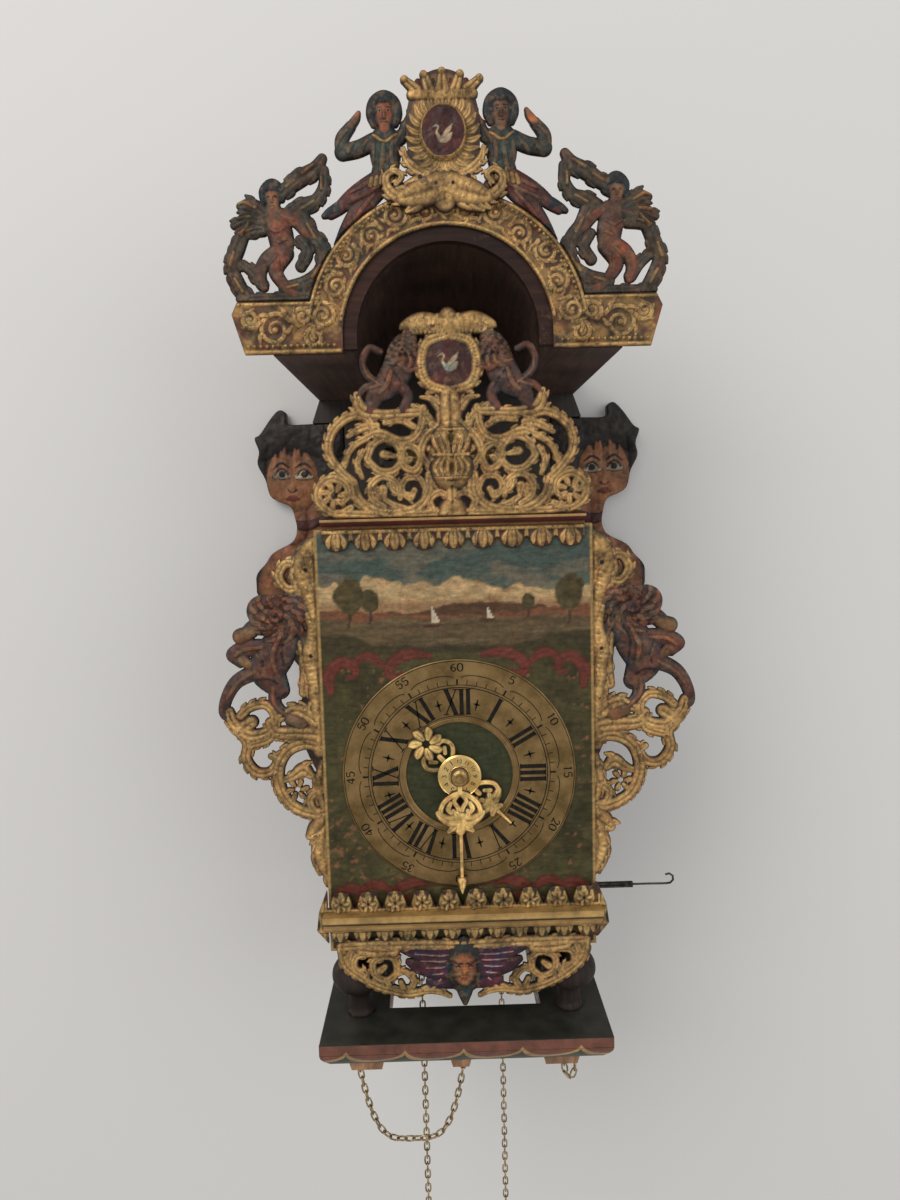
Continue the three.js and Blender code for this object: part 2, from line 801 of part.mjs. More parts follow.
// The doors turn on pins in the case's boards. The right one is notched for the lever.
function door(sign) {
  const front = frontPostY + postSide / 2 + fit * 2;
  const back = doorPivotY + doorPivotInset;
  const [low, high] = [caseInnerBottom + 2 * fit, caseInnerTop - 2 * fit];
  const x = (inset) => sign * (caseHalfWidth - inset);
  const slab = (inset, depth, margin) => box(
    point(Math.min(x(inset), x(inset + depth)), front + margin, low + margin),
    point(Math.max(x(inset), x(inset + depth)), back - margin, high - margin),
  );
  const tools = [slab(-overrun, overrun + doorPanelSink, doorPanelMargin)];
  if (sign > 0) {
    tools.push(box(
      point(caseHalfWidth - doorThickness - overrun, front - overrun, low - overrun),
      point(caseHalfWidth + overrun, leverY + 3 * overrun, leverZ + 2 * overrun),
    ));
  }
  const panel = cut(slab(0, doorThickness, 0), ...tools);
  const pin = (z) => moved(rod(doorPinRadius, 0, doorPinLength + 1, 8), sign * doorPivotX, doorPivotY, z);
  return join(panel, pin(low - doorPinLength), pin(high - 1));
}
for (const [side, sign] of bothSides) {
  place(caseWork, `side_door_${side}`, door(sign), brownWood);
}
place(caseWork, 'back_panel', cut(
  box(point(-postX + postSide / 2 + fit, caseBack - backPanelThickness, caseInnerBottom + fit),
    point(postX - postSide / 2 - fit, caseBack, caseInnerTop - fit)),
  moved(rodAlongY(2 * vergeRadius, -overrun - backPanelThickness, overrun), 0, caseBack, vergeZ),
), darkWood);

// Dial and its ornaments
const dial = group();

function dialPlate() {
  const shape = polygon([
    [-dialHalfWidth, dialBottom], [dialHalfWidth, dialBottom],
    [dialHalfWidth, dialTop], [-dialHalfWidth, dialTop],
  ]);
  const hole = new THREE.Path();
  hole.absarc(0, dialCentre, dialHoleRadius, 0, 2 * Math.PI, true);
  shape.holes.push(hole);
  return uprightPlate(shape, dialThickness);
}
place(dial, 'dial_plate', dialPlate(), plateGreen, 0, dialBack, 0);

const ringProfile = (inner, outer, from, to) => [
  [inner, from], [outer, from], [outer, to], [inner, to], [inner, from],
];
place(dial, 'chapter_ring', turnedAlongY(
  ringProfile(chapterInnerRadius, chapterRadius, -chapterThickness, 0), 36,
), oldBrass, 0, dialFront - fit, dialCentre);

function ogeeShape(depth, height) {
  const profileShares = [[0, 0], [-0.55, 0], [-0.62, 0.25], [-0.85, 0.5], [-1, 0.7], [-1, 1], [0, 1]];
  return polygon(profileShares.map(([y, z]) => [y * depth, z * height]));
}
place(dial, 'dial_cornice', moulding(ogeeShape(corniceDepth, corniceHeight), 2 * corniceHalfWidth),
  redPaint, 0, dialFront + corniceDepth / 2, dialTop + fit);

// A strip with a wavy edge below and, where rise is set, a row of leaves above.
function leafEdge(halfWidth, count, depth, sign, base) {
  const lobeShares = [[0, 0.1], [0.25, 0.85], [0.75, 0.85]];
  const step = (2 * halfWidth) / count;
  const points = [];
  for (let i = 0; i < count; i += 1) {
    for (const [along, out] of lobeShares) {
      points.push([-halfWidth + (i + along) * step, base + sign * out * depth]);
    }
  }
  return points;
}

function fringe() {
  const drop = leafEdge(corniceHalfWidth, fringePendants, fringeDrop * 0.6, -1, -fringeDrop * 0.4);
  return uprightPlate(polygon([
    ...drop, [corniceHalfWidth, -fringeDrop / 2], [corniceHalfWidth, 0], [-corniceHalfWidth, 0],
  ]), castingThickness);
}
place(dial, 'dial_fringe', fringe(), gilt, 0, dialFront - fit, dialTop - fit);

// Scrollwork and lions of the crest, right half, mirrored.
const crestShares = [
  [[0, 1.9, 4.3], [30.4, 1.4, 3.9], [56.5, 2.8, 3.9]],
  [[49.8, 5.6, 2.9], [57, 2.4, 3.4], [64.8, 7.5, 3.9], [65.2, 15.1, 3.9], [59, 19.8, 3.9],
    [52.2, 16.9, 3.4], [51.2, 10.8, 2.9], [56.1, 8, 2.4], [59.5, 11.8, 3.4]],
  [[48.3, 17.9, 3.9], [54.6, 24, 3.9], [59.5, 32, 3.9], [58.5, 40.5, 3.9], [53.2, 47.1, 3.9],
    [45.9, 49.9, 3.9], [39.6, 47.5, 3.4], [38.2, 41.9, 2.4]],
  [[40.6, 30.1, 2.9], [37.7, 36.2, 3.4], [31.4, 38.6, 3.9], [25.6, 34.8, 3.9], [24.2, 28.2, 3.4],
    [28.5, 23.1, 3.4], [35.3, 23.1, 3.4], [40.6, 28.2, 3.4], [40.6, 30.1, 2.9]],
  [[15, 50.8, 4.3], [25.6, 50.4, 3.9], [35.3, 50.4, 4.3], [43, 52.7, 5.8], [45.4, 60.2, 2.4]],
  [[11.1, 20.7, 3.4], [12.1, 10.8, 3.9], [19.3, 3.8, 4.3], [34.3, 2.4, 4.8], [45, 8.5, 4.3],
    [48.3, 17.9, 3.9]],
  [[25.6, 9.4, 2.4], [27.1, 16.9, 2.9], [33.8, 20.2, 3.4], [39.6, 16, 3.4], [39.1, 9.4, 2.9],
    [33.4, 5.6, 2.4]],
  [[0, 58.4, 7.7], [0, 49.9, 9.7], [0, 43.3, 7.7], [0, 35.3, 16.4], [0, 29.2, 6.8],
    [0, 23.5, 17.4], [0, 16.9, 6.8], [0, 6.6, 5.8], [0, 1.9, 12.6]],
  [[0, 37.7, 4.8], [6.8, 41.9, 4.3], [12.6, 37.7, 3.9], [14.5, 30.6, 3.4], [9.7, 24.5, 2.9],
    [4.3, 27.3, 2.4]],
  [[0, 9.4, 2.9], [6.3, 11.8, 3.4], [11.1, 8, 3.4], [9.2, 2.4, 3.4]],
  [[13.1, 52.7, 3.4], [14.5, 43.8, 3.4], [18.4, 38.6, 3.4], [25.6, 37.2, 4.3], [34.3, 40.9, 4.3],
    [40.6, 39.1, 3.4], [47.9, 34.8, 2.9], [52.7, 27.3, 2.4]],
];
const crestOvalShares = [
  [[0, 66, 20], [0, 73.5, 25], [0, 81, 20]],
  [[0, 60.7, 3.9], [10.2, 64, 4.3], [13.5, 73.9, 4.3], [10.2, 83.8, 4.3], [0, 87.1, 4.3]],
];
const crestCrownShares = [
  [[0, 90, 9], [0, 96, 9]],
  [[0, 91, 9], [12, 93, 11], [20, 92, 6], [22.5, 91, 2.4]],
];
const crestLionShares = [
  [[19.3, 85.7, 7.7], [22.2, 80, 12.6], [24.6, 72.5, 13.5], [29, 65, 12.6], [35.8, 59.3, 8.2],
    [39.1, 51.8, 5.3]],
  [[23.7, 77.2, 5.8], [17.4, 72.5, 4.3], [13.1, 73.4, 3.4]],
  [[25.6, 65, 7.7], [20.3, 59.3, 4.8], [22.7, 52.2, 4.8]],
  [[32.4, 64, 5.8], [40.6, 63.1, 3.9], [44.5, 59.3, 2.9]],
  [[31.4, 64, 2.9], [39.1, 68.7, 3.4], [41.6, 76.2, 3.4], [38.2, 81.9, 3.4], [32.9, 80, 2.9]],
];
place(dial, 'crest_fret', uprightPlate(castingShape(
  [crestShares, crestOvalShares, crestCrownShares, crestLionShares], crestHeight, 'both',
  [belowFoot(crestHeight, crestHeight / 2)],
), castingThickness), giltAndPurple, 0, dialFront - fit - castingThickness / 2,
dialTop + corniceHeight + 2 * fit);

// A side wing: gilt scrolls round a lion, drawn from the dial's edge outwards.
const wingShares = [
  [[0.3, 101, 1.9], [0.5, 75.7, 2.2], [0.5, 46.9, 2.2], [0.5, 23.9, 2.2], [0.5, 0.3, 1.4]],
  [[0.8, 99.9, 2.7], [3.5, 96.4, 6], [4.3, 91.2, 8.1], [2.7, 84.3, 6.5], [1.6, 78, 3.8]],
  [[6, 87.8, 2.2], [10, 86.3, 2.4], [12.5, 89.8, 2.4], [10.6, 93.3, 2.4], [7.6, 92.7, 2.2],
    [8.1, 89.8, 2.4]],
  [[4.9, 81.5, 3.3], [2.7, 74.3, 4.9], [3.3, 67.1, 7.1], [2.2, 60.2, 6.5], [2.7, 52.7, 4.9],
    [1.6, 46.3, 3.8]],
  [[0.8, 44.6, 3.3], [7.6, 45.5, 3.8], [14.9, 45.8, 3.3], [16.8, 48.6, 2.7]],
  [[25, 50.9, 2.4], [22.2, 53.2, 2.4], [17.9, 53.8, 2.4], [15.5, 50.4, 2.4], [17.4, 46.3, 2.7],
    [22.8, 45.2, 3.3], [26.9, 48.6, 3], [28.2, 52.1, 2.4]],
  [[26.3, 46.9, 2.7], [23.6, 42.9, 2.7], [24.1, 38.3, 2.7], [21.4, 34.5, 2.7], [17.6, 34.5, 2.4],
    [15.5, 37.7, 1.9], [17.1, 38.9, 1.6]],
  [[16.5, 46.9, 2.2], [17.4, 44, 2.4], [22.8, 42.3, 2.4]],
  [[1.1, 40, 2.4], [6.5, 42.3, 3], [11.9, 40.6, 3], [14.9, 36, 3], [14.9, 30.2, 3],
    [11.9, 24.8, 2.7], [6, 21.9, 3], [1.6, 22.2, 2.4]],
  [[13.6, 31.9, 1.6], [10.8, 33.1, 2.7], [8.1, 34.8, 3.5], [6, 33.1, 2.2]],
  [[1.4, 28.5, 2.7], [3.8, 28.5, 2.4], [6.5, 26.2, 2.2], [5.4, 22.7, 2.2], [1.6, 22.2, 2.7]],
  [[1.6, 20.4, 3.3], [3.8, 17.6, 6], [7.1, 15.3, 2.2]],
  [[2.2, 16.4, 3.8], [3.3, 10.1, 5.4], [1.6, 3.7, 3.8], [0.5, 0.3, 1.4]],
];
const wingLionShares = [
  [[7.6, 81.5, 7.1], [10.8, 79.7, 10.8], [14.1, 78.6, 12.5], [17.4, 80.3, 9.2]],
  [[16.3, 76.8, 7.1], [20.6, 75.7, 4.3], [22.8, 74.3, 2.7]],
  [[10.8, 75.1, 8.1], [14.1, 68.8, 10.8], [16.8, 63.6, 10.3], [13.6, 57.9, 5.4]],
  [[16.8, 69.9, 5.4], [22.8, 69.9, 4.9], [26.6, 68.2, 3.5], [24.4, 65.6, 2.4]],
  [[19.5, 63.6, 4.9], [25.5, 60.7, 4.1], [28.7, 56.1, 3.5], [29.6, 51.5, 3], [26.6, 50.1, 2.7]],
  [[14.1, 59.6, 4.9], [15.2, 54.4, 3.5], [11.9, 50.4, 2.7], [8.7, 48.9, 2.4]],
  [[8.1, 75.7, 3.3], [5.4, 69.9, 2.7], [6, 64.2, 2.2]],
];
const wingBottom = dialTop - wingHeight - corniceHeight;
for (const [side, sign] of bothSides) {
  place(dial, `wing_${side}`, uprightPlate(
    castingShape([wingShares, wingLionShares], wingHeight, sign),
    castingThickness,
  ), giltAndPurple, sign * (dialHalfWidth - 3 * wheelThickness), dialBack + fit + castingThickness,
  wingBottom);
}

// Leaves stand above the cornice and hang below it, with a splayed ear at each end.
function leafStrip() {
  const half = baseCorniceHeight / 2;
  const up = leafEdge(leafStripHalfWidth, leafCount, leafRise, 1, half - 1);
  const down = leafEdge(leafStripHalfWidth, leafCount + 2, leafDrop, -1, 1 - half);
  const ear = leafStripHalfWidth + cornerSplay;
  return uprightPlate(polygon([
    ...down, [leafStripHalfWidth, -half - leafDrop], [ear, -half],
    [ear - 2, half], [leafStripHalfWidth, half + leafRise], ...up.reverse(),
    [-leafStripHalfWidth, half + leafRise], [2 - ear, half], [-ear, -half],
    [-leafStripHalfWidth, -half - leafDrop],
  ]), castingThickness);
}
place(dial, 'base_cornice', join(
  moved(leafStrip(), 0, -castingThickness - fit, 0),
  moulding(ogeeShape(baseCorniceDepth, baseCorniceHeight), 2 * baseCorniceHalfWidth)
    .translate(0, 0, -baseCorniceHeight / 2),
), gilt, 0, dialFront - fit, baseCorniceZ);

// The pierced apron with a winged head at its middle, right half, mirrored.
const apronShares = [
  [[0, -3, 14.9], [92.4, 0, 17.9], [190.7, 0, 14.9]],
  [[190.7, -3, 14.9], [184.8, -30.2, 14.9], [160.9, -52.9, 13.4], [131.1, -69.5, 13.4],
    [92.4, -80, 14.9], [59.6, -77, 11.9], [38.7, -80, 10.4], [23.8, -87.6, 7.5]],
  [[122.2, -15.1, 14.9], [141.6, -27.2, 11.9], [140.1, -48.3, 11.9], [122.2, -57.4, 10.4],
    [105.8, -45.3, 11.9], [108.8, -24.2, 11.9], [122.2, -15.1, 14.9]],
  [[146, -12.1, 13.4], [168.4, -18.1, 11.9], [171.3, -36.2, 11.9], [155, -48.3, 10.4]],
  [[105.8, -48.3, 10.4], [92.4, -45.3, 10.4], [79, -60.4, 11.9], [87.9, -77, 10.4]],
  [[160.9, -6, 17.9], [134.1, -9.1, 23.8], [110.3, -9.1, 20.9]],
];
const apronHeadShares = [
  [[0, -9.1, 38.7], [0, -21.1, 59.6], [0, -36.2, 65.6], [0, -51.3, 59.6], [0, -69.5, 32.8],
    [0, -84.6, 20.9], [0, -99.7, 8.9]],
  [[6, -18.1, 35.8], [32.8, -21.1, 38.7], [65.6, -15.1, 29.8], [98.3, -6, 14.9]],
  [[8.9, -42.3, 35.8], [38.7, -42.3, 35.8], [68.5, -39.3, 23.8], [86.4, -30.2, 11.9]],
  [[8.9, -63.4, 26.8], [35.8, -64.9, 20.9], [53.6, -63.4, 14.9]],
];
place(dial, 'apron_fret', uprightPlate(
  castingShape([apronShares, apronHeadShares], apronHeight, 'both'), castingThickness,
), giltAndPurple, 0, dialFront - fit, baseCorniceZ - 1.5 * baseCorniceHeight);

// Hands, drawn pointing up from the centre of the dial
const minuteShares = [
  [[0, 0, 15], [0, 1, 15]],
  [[0, 8, 5], [0, 20, 4]],
  [[0, 13, 4], [8, 17, 4], [15, 24, 4], [16, 32, 4], [10, 36, 3.5], [6, 31, 3.5], [8, 26, 3]],
  [[0, 36, 16], [10, 36, 11], [16, 35, 7]],
  [[0, 40, 14], [0, 47, 6]],
  [[0, 46, 2.6], [0, 90, 2.6]],
  [[0, 89, 8], [0, 93, 6], [0, 99.5, 1]],
];
const hourShares = [
  [[0, 0, 26], [0, 1, 26]],
  [[0, 8, 9], [0, 38, 8]],
  [[0, 24, 6], [14, 30, 6], [24, 42, 6], [22, 54, 6], [13, 60, 5], [7, 52, 5]],
  [[0, 58, 20], [12, 58, 14], [20, 56, 8]],
  [[0, 62, 16], [0, 76, 5], [0, 99, 2.5]],
  [[0, -8, 9], [0, -38, 8]],
  [[0, -20, 6], [14, -26, 6], [24, -38, 6], [20, -52, 6], [10, -56, 5]],
  [[0, -56, 18], [14, -60, 20], [0, -68, 22]],
];
function hand(shares, length, boreRadius) {
  return cut(
    uprightPlate(castingShape([shares], length, 'both'), handThickness),
    drillAlongY(boreRadius, -handThickness - overrun, overrun, 12),
  );
}
const handArbor = greatArborRadius - 2 * bearing;
const hands = group();
const hourHand = place(hands, 'hour_hand', hand(hourShares, hourHandLength, hourPipeRadius + bearing),
  brass, 0, hourHandBack, dialCentre);
hourHand.rotation.y = (3 / 4) * Math.PI;
place(hands, 'alarm_disc', turnedAlongY(
  ringProfile(hourPipeRadius + bearing, alarmRadius, -handThickness, 0), 18,
), brass, 0, alarmBack, dialCentre);
const minuteHand = place(hands, 'minute_hand', hand(minuteShares, minuteHandLength, handArbor + bearing),
  brass, 0, minuteHandBack, dialCentre);
minuteHand.rotation.y = Math.PI;
// Motion work behind the dial
const motion = group();
const motionY = frontBar - barThickness - 1.2; // back face of the cannon and minute wheels
const hourWheelY = motionY - wheelThickness - 1;
const cannonPhase = 0;
const awayAngle = -(3 / 4) * Math.PI;
const minuteWheelPhase = meshedPhase(cannonTeeth, cannonPhase, minuteWheelTeeth, awayAngle);
const hourWheelPhase = meshedPhase(pinionLeaves, minuteWheelPhase, hourWheelTeeth, awayAngle + Math.PI);
const motionThickness = wheelThickness * 0.8;
const arborFront = minuteHandBack - handThickness - arborProud;
const colletY = minuteHandBack - handThickness - fit;
place(motion, 'minute_arbor', join(
  rodAlongY(handArbor, arborFront, frontBar - barThickness - 1.3, 12),
  turnedAlongY([
    [0, colletY - 1.6], [handArbor + 1.2, colletY - 1.6], [handArbor + 3, colletY - 0.4],
    [handArbor + 3, colletY], [0, colletY],
  ], 12),
  moved(uprightPlate(spurShape(cannonTeeth, cannonModule, cannonPhase, ...plainToothShares), motionThickness),
    0, motionY, 0),
), steel, 0, 0, dialCentre);
place(motion, 'hour_wheel', cut(join(
  moved(uprightPlate(spurShape(hourWheelTeeth, hourModule, hourWheelPhase, ...plainToothShares),
    motionThickness), 0, hourWheelY, 0),
  rodAlongY(hourPipeRadius, alarmBack - handThickness, hourWheelY - motionThickness / 2, 14),
), drillAlongY(handArbor + bearing, alarmBack - overrun, hourWheelY + overrun, 12)), brass,
0, 0, dialCentre);
const studRadius = arborRadius;
place(motion, 'minute_wheel', cut(join(
  moved(uprightPlate(spurShape(minuteWheelTeeth, cannonModule, minuteWheelPhase, ...plainToothShares),
    motionThickness), 0, motionY, 0),
  moved(pinionPlate(hourModule, motionY - hourWheelY + motionThickness / 2, minuteWheelPhase),
    0, motionY - motionThickness / 2, 0),
), drillAlongY(studRadius + bearing, hourWheelY - 2 * overrun, motionY + overrun)), brass,
minuteWheelAt.x, 0, minuteWheelAt.z);

// Frame bars of the movement, standing between the case's boards
const movement = group();

function bar(y, holes, ears) {
  const bottom = caseInnerBottom + fit;
  const strap = (low, high) => box(
    point(low[0], -barThickness, low[1]), point(high[0], 0, high[1]),
  );
  const bosses = ears.flatMap(([x, z]) => [
    moved(rodAlongY(4 * arborRadius, -barThickness, 0, 12), x, 0, z),
    strap([Math.min(0, x), z - 2 * arborRadius], [Math.max(0, x), z + 2 * arborRadius]),
  ]);
  const bored = holes.map(([x, z, radius]) => (
    moved(drillAlongY(radius + bearing, -barThickness - overrun, overrun), x, 0, z)
  ));
  return moved(cut(join(
    strap([-barWidth / 2, bottom], [barWidth / 2, caseInnerTop - fit]), ...bosses,
  ), ...bored), 0, y, 0);
}
const trainHoles = [
  [0, dialCentre, greatArborRadius], [0, secondZ, arborRadius], [0, vergeZ, vergeRadius],
];
const hammerEar = [hammerX, hammerZ];
const flyEar = [flyAt.x, flyAt.z];

// The front bar also carries the minute wheel's stud and the two arms of the crown wheel.
function frontBarSolid() {
  const armWidth = 4;
  const lowArm = [contrateZ + 3 * pitchRadius(pinionLeaves, fineModule) / 2 + 2.6, armWidth];
  const highArm = [crownWheelZ + crownHeight + 2, armWidth - 0.5];
  const armBack = crownArborY + armWidth;
  const arm = ([z, height], x, halfWidth, from) => box(
    point(x - halfWidth, from, z), point(x + halfWidth, armBack, z + height),
  );
  const armStart = frontBar - barThickness / 2;
  const withArms = join(
    bar(frontBar, [...trainHoles, [0, contrateZ, arborRadius]], [[minuteWheelAt.x, minuteWheelAt.z]]),
    arm(lowArm, 0, armWidth / 2 + 1, armStart),
    arm(highArm, barWidth / 2, armWidth / 2, armStart),
    box(point(-armWidth / 2 - 1, crownArborY - armWidth, highArm[0]),
      point(barWidth / 2, armBack, highArm[0] + highArm[1])),
    moved(rodAlongY(studRadius, -2 * overrun, 1), minuteWheelAt.x, frontBar - barThickness, minuteWheelAt.z),
  );
  return cut(withArms,
    moved(drill(arborRadius + bearing, lowArm[0] - overrun, lowArm[0] + 2 * overrun), 0, crownArborY, 0),
    moved(drill(arborRadius + bearing, highArm[0] - overrun, highArm[0] + 2 * overrun), 0, crownArborY, 0));
}
place(movement, 'front_bar', frontBarSolid(), iron);
place(movement, 'middle_bar', bar(middleBar, [
  ...trainHoles, [0, contrateZ, arborRadius], [...flyEar, arborRadius], [...hammerEar, arborRadius],
], [flyEar, hammerEar]), iron);
place(movement, 'rear_bar', bar(rearBar, [
  ...trainHoles, [...flyEar, arborRadius], [...hammerEar, arborRadius],
], [flyEar, hammerEar]), iron);

// Arbors reach half way into the middle bar, so that the two trains meet there.
const goingFrontEnd = frontBar - barThickness - 1;
const goingRearEnd = middleBar - barThickness / 2 - 0.2;
const strikeFrontEnd = middleBar - barThickness / 2 + 0.2;
const strikeRearEnd = rearBar + 1;
const upward = Math.PI / 2;
const greatPhase = 0;
const secondPhase = meshedPhase(greatTeeth, greatPhase, pinionLeaves, upward);
const contratePhase = meshedPhase(secondTeeth, secondPhase, pinionLeaves, upward);

function chainWheel() {
  const flange = sprocketRadius + wire;
  const groove = sprocketRadius - linkWidth / 2 - 2 * fit;
  const half = sprocketWidth / 2;
  const lip = half - 1.8;
  return turnedAlongY([
    [0, -half], [flange, -half], [flange, -lip], [groove, 0.8 - lip], [groove, lip - 0.8],
    [flange, lip], [flange, half], [0, half],
  ], 15);
}

function greatWheel(y, from, to) {
  return join(
    moved(wheelPlate(greatTeeth, greatModule, greatWheelThickness, greatPhase, true),
      0, y - greatWheelSetoff + greatWheelThickness / 2, 0),
    moved(chainWheel(), 0, y, 0),
    rodAlongY(2 * greatArborRadius, y - greatWheelSetoff, y, 12),
    rodAlongY(greatArborRadius, from, to, 12),
  );
}
place(movement, 'great_wheel', greatWheel(chainY.going, goingFrontEnd, goingRearEnd),
  brass, 0, 0, dialCentre);
place(movement, 'strike_great_wheel', greatWheel(chainY.strike, strikeFrontEnd, strikeRearEnd),
  brass, 0, 0, dialCentre);

const pinionLength = 7;
const pinionAt = (size, y, phase) => (
  moved(pinionPlate(size, pinionLength, phase), 0, y + pinionLength / 2, 0)
);
place(movement, 'second_wheel', join(
  moved(wheelPlate(secondTeeth, fineModule, wheelThickness, secondPhase, true),
    0, secondWheelY + wheelThickness / 2, 0),
  pinionAt(greatModule, chainY.going - greatWheelSetoff, secondPhase),
  rodAlongY(arborRadius, goingFrontEnd, goingRearEnd),
), brass, 0, 0, secondZ);

// The contrate wheel's teeth stand square to its rim and turn the upright crown wheel.
function contrateWheel() {
  const outer = contratePitch + fineModule;
  const rimTop = wheelThickness + contrateDepth;
  const toothShares = [[-0.5, rimTop], [0, rimTop + contrateToothDepth]];
  const rim = toothedRing(contratePitch - fineModule, outer, 0, contrateTeeth,
    toothShares, contratePhase);
  const disc = turned([[0, 0], [outer - fineModule / 2, 0], [outer - fineModule / 2, wheelThickness],
    [0, wheelThickness]], 20);
  // heights run towards the front, and angles stay as they are seen from the front
  const wheel = join(rim, disc).rotateX(Math.PI / 2);
  return join(
    moved(wheel, 0, contrateWebY, 0),
    pinionAt(fineModule, secondWheelY, contratePhase),
    rodAlongY(arborRadius, goingFrontEnd, goingRearEnd),
  );
}
place(movement, 'contrate_wheel', contrateWheel(), brass, 0, 0, contrateZ);

const contratePitchAngle = (2 * Math.PI) / contrateTeeth;
const topOffset = (contratePhase - upward) / contratePitchAngle;
const crownPinionPhase = upward + ((2 * Math.PI) / pinionLeaves) * (topOffset - 1 / 2);

function crownWheel() {
  const sawShares = [[0, 0.5], [0.92, 1]];
  const heights = sawShares.map(([share, up]) => [share, up * crownHeight]);
  const rim = toothedRing(crownRadius - 1.6, crownRadius, 0, crownTeeth, heights, 0);
  const disc = turned([[0, 0], [crownRadius - 0.8, 0], [crownRadius - 0.8, 1.5], [0, 1.5]], 16);
  const pinion = moved(levelPlate(
    spurShape(pinionLeaves, fineModule, crownPinionPhase, ...leafShares), pinionLength + 3,
  ), 0, 0, contrateZ + contratePitch - pinionLength / 2 - 1.5);
  return join(
    moved(join(rim, disc), 0, 0, crownWheelZ),
    pinion,
    rod(arborRadius, contrateZ + pinionLength, vergeZ - 2 * overrun),
  );
}
place(movement, 'crown_wheel', crownWheel(), brass, 0, crownArborY, 0);

// The verge lies over the crown wheel with a pallet at each side of it.
function verge() {
  const pallet = (y, lean) => {
    const flag = box(point(-0.8, y - palletWidth / 2, -palletReach), point(0.8, y + palletWidth / 2, 0));
    return flag.rotateY(lean);
  };
  const lean = Math.PI / 4;
  const reach = crownRadius - 0.8;
  return join(
    rodAlongY(vergeRadius, goingFrontEnd, pendulumY - 2 * rodRadius),
    pallet(crownArborY - reach, lean),
    pallet(crownArborY + reach - 1.2, -lean),
    rodAlongY(2.6 * vergeRadius, pendulumY - 4 * rodRadius, pendulumY + 4 * rodRadius, 12),
  );
}
place(movement, 'verge', verge(), steel, 0, 0, vergeZ);
const nutHeight = 4;
const bobHalf = 6;
const bobEdge = 0.8;
place(movement, 'pendulum', join(
  rod(rodRadius, bobZ - bobRadius - nutHeight, vergeZ - 2.6 * vergeRadius - fit, 8),
  rod(3 * rodRadius, bobZ - bobRadius - nutHeight, bobZ - bobRadius, 8),
  moved(turnedAlongY([
    [0, -bobHalf], [bobRadius * 0.6, -0.75 * bobHalf], [bobRadius, -bobEdge],
    [bobRadius, bobEdge], [bobRadius * 0.6, 0.75 * bobHalf], [0, bobHalf],
  ], 20), 0, 0, bobZ),
), brass, 0, pendulumY, 0);

// Striking train
const hammerWheelPhase = meshedPhase(greatTeeth, greatPhase, pinionLeaves, upward);
const flyPhase = meshedPhase(secondTeeth, hammerWheelPhase, pinionLeaves, Math.PI / 4);
function hammerWheel() {
  const pins = Array.from({ length: hammerPins }, (_, i) => {
    const angle = ((i + 1 / 2) * 2 * Math.PI) / hammerPins;
    return moved(rodAlongY(hammerPinRadius, -1, 6, 5),
      hammerPinCircle * Math.cos(angle), hammerWheelY, hammerPinCircle * Math.sin(angle));
  });
  return join(
    moved(wheelPlate(secondTeeth, fineModule, wheelThickness, hammerWheelPhase, false),
      0, hammerWheelY + wheelThickness / 2, 0),
    pinionAt(greatModule, chainY.strike - greatWheelSetoff, hammerWheelPhase),
    rodAlongY(arborRadius, strikeFrontEnd, strikeRearEnd),
    ...pins,
  );
}
place(movement, 'hammer_wheel', hammerWheel(), brass, 0, 0, secondZ);
place(movement, 'fly', join(
  rodAlongY(arborRadius, strikeFrontEnd, strikeRearEnd),
  rodAlongY(2 * arborRadius, chainY.strike - flyWidth / 2, chainY.strike + flyWidth / 2),
  box(point(-flyReach, chainY.strike - flyWidth / 2, -0.6),
    point(flyReach, chainY.strike + flyWidth / 2, 0.6)),
  pinionAt(fineModule, hammerWheelY, flyPhase),
), brass, flyAt.x, 0, flyAt.z);

// The hammer's tail lies by the pins of its wheel, and its arm rises through the case's top.
function hammer() {
  const armHalf = 2;
  const tailClearance = 2.2;
  const headLength = 10;
  const tailLength = Math.hypot(hammerX, hammerZ - secondZ) - hammerPinCircle - hammerPinRadius
    - tailClearance;
  const tail = box(point(0, -armHalf / 2, -armHalf), point(tailLength, armHalf / 2, armHalf))
    .rotateY(Math.atan2(hammerZ - secondZ, -hammerX));
  const headZ = bellMouthZ + hammerHeadRadius - hammerZ;
  const gapToBell = 2;
  const head = turned([[0, 0], [hammerHeadRadius * 0.8, 0], [hammerHeadRadius, headLength / 5],
    [hammerHeadRadius, headLength * 0.8], [hammerHeadRadius * 0.6, headLength], [0, headLength],
  ], 12).rotateY(Math.PI / 2);
  return join(
    rodAlongY(arborRadius, strikeFrontEnd - hammerY, strikeRearEnd - hammerY),
    rodAlongY(3 * arborRadius, -armHalf, armHalf),
    tail,
    box(point(-armHalf, -armHalf, 0), point(armHalf, armHalf, headZ + armHalf / 2)),
    moved(head, -hammerX - bellRadius - gapToBell - headLength, 0, headZ),
  );
}
place(movement, 'hammer', hammer(), iron, hammerX, hammerY, hammerZ);

const bellSeatZ = bellMouthZ + bellHeight - bellWall - fit;
place(movement, 'bell_post', turned([
  [0, 0], [4 * postRadius, 0], [4 * postRadius, postRadius * 0.7], [postRadius * 1.2, postRadius * 1.6],
  [postRadius, 4 * postRadius], [postRadius, bellSeatZ - caseTop - 1.3 * postRadius],
  [2 * postRadius, bellSeatZ - caseTop - postRadius],
  [2 * postRadius, bellSeatZ - caseTop - fit], [postRadius * 0.8, bellSeatZ - caseTop - fit],
  [postRadius * 0.8, postTopZ - caseTop - 5.3 * postRadius],
  [postRadius * 1.6, postTopZ - caseTop - 3.3 * postRadius],
  [postRadius * 0.9, postTopZ - caseTop - 1.3 * postRadius], [0, postTopZ - caseTop],
], 12), iron, 0, bellY, caseTop + fit);

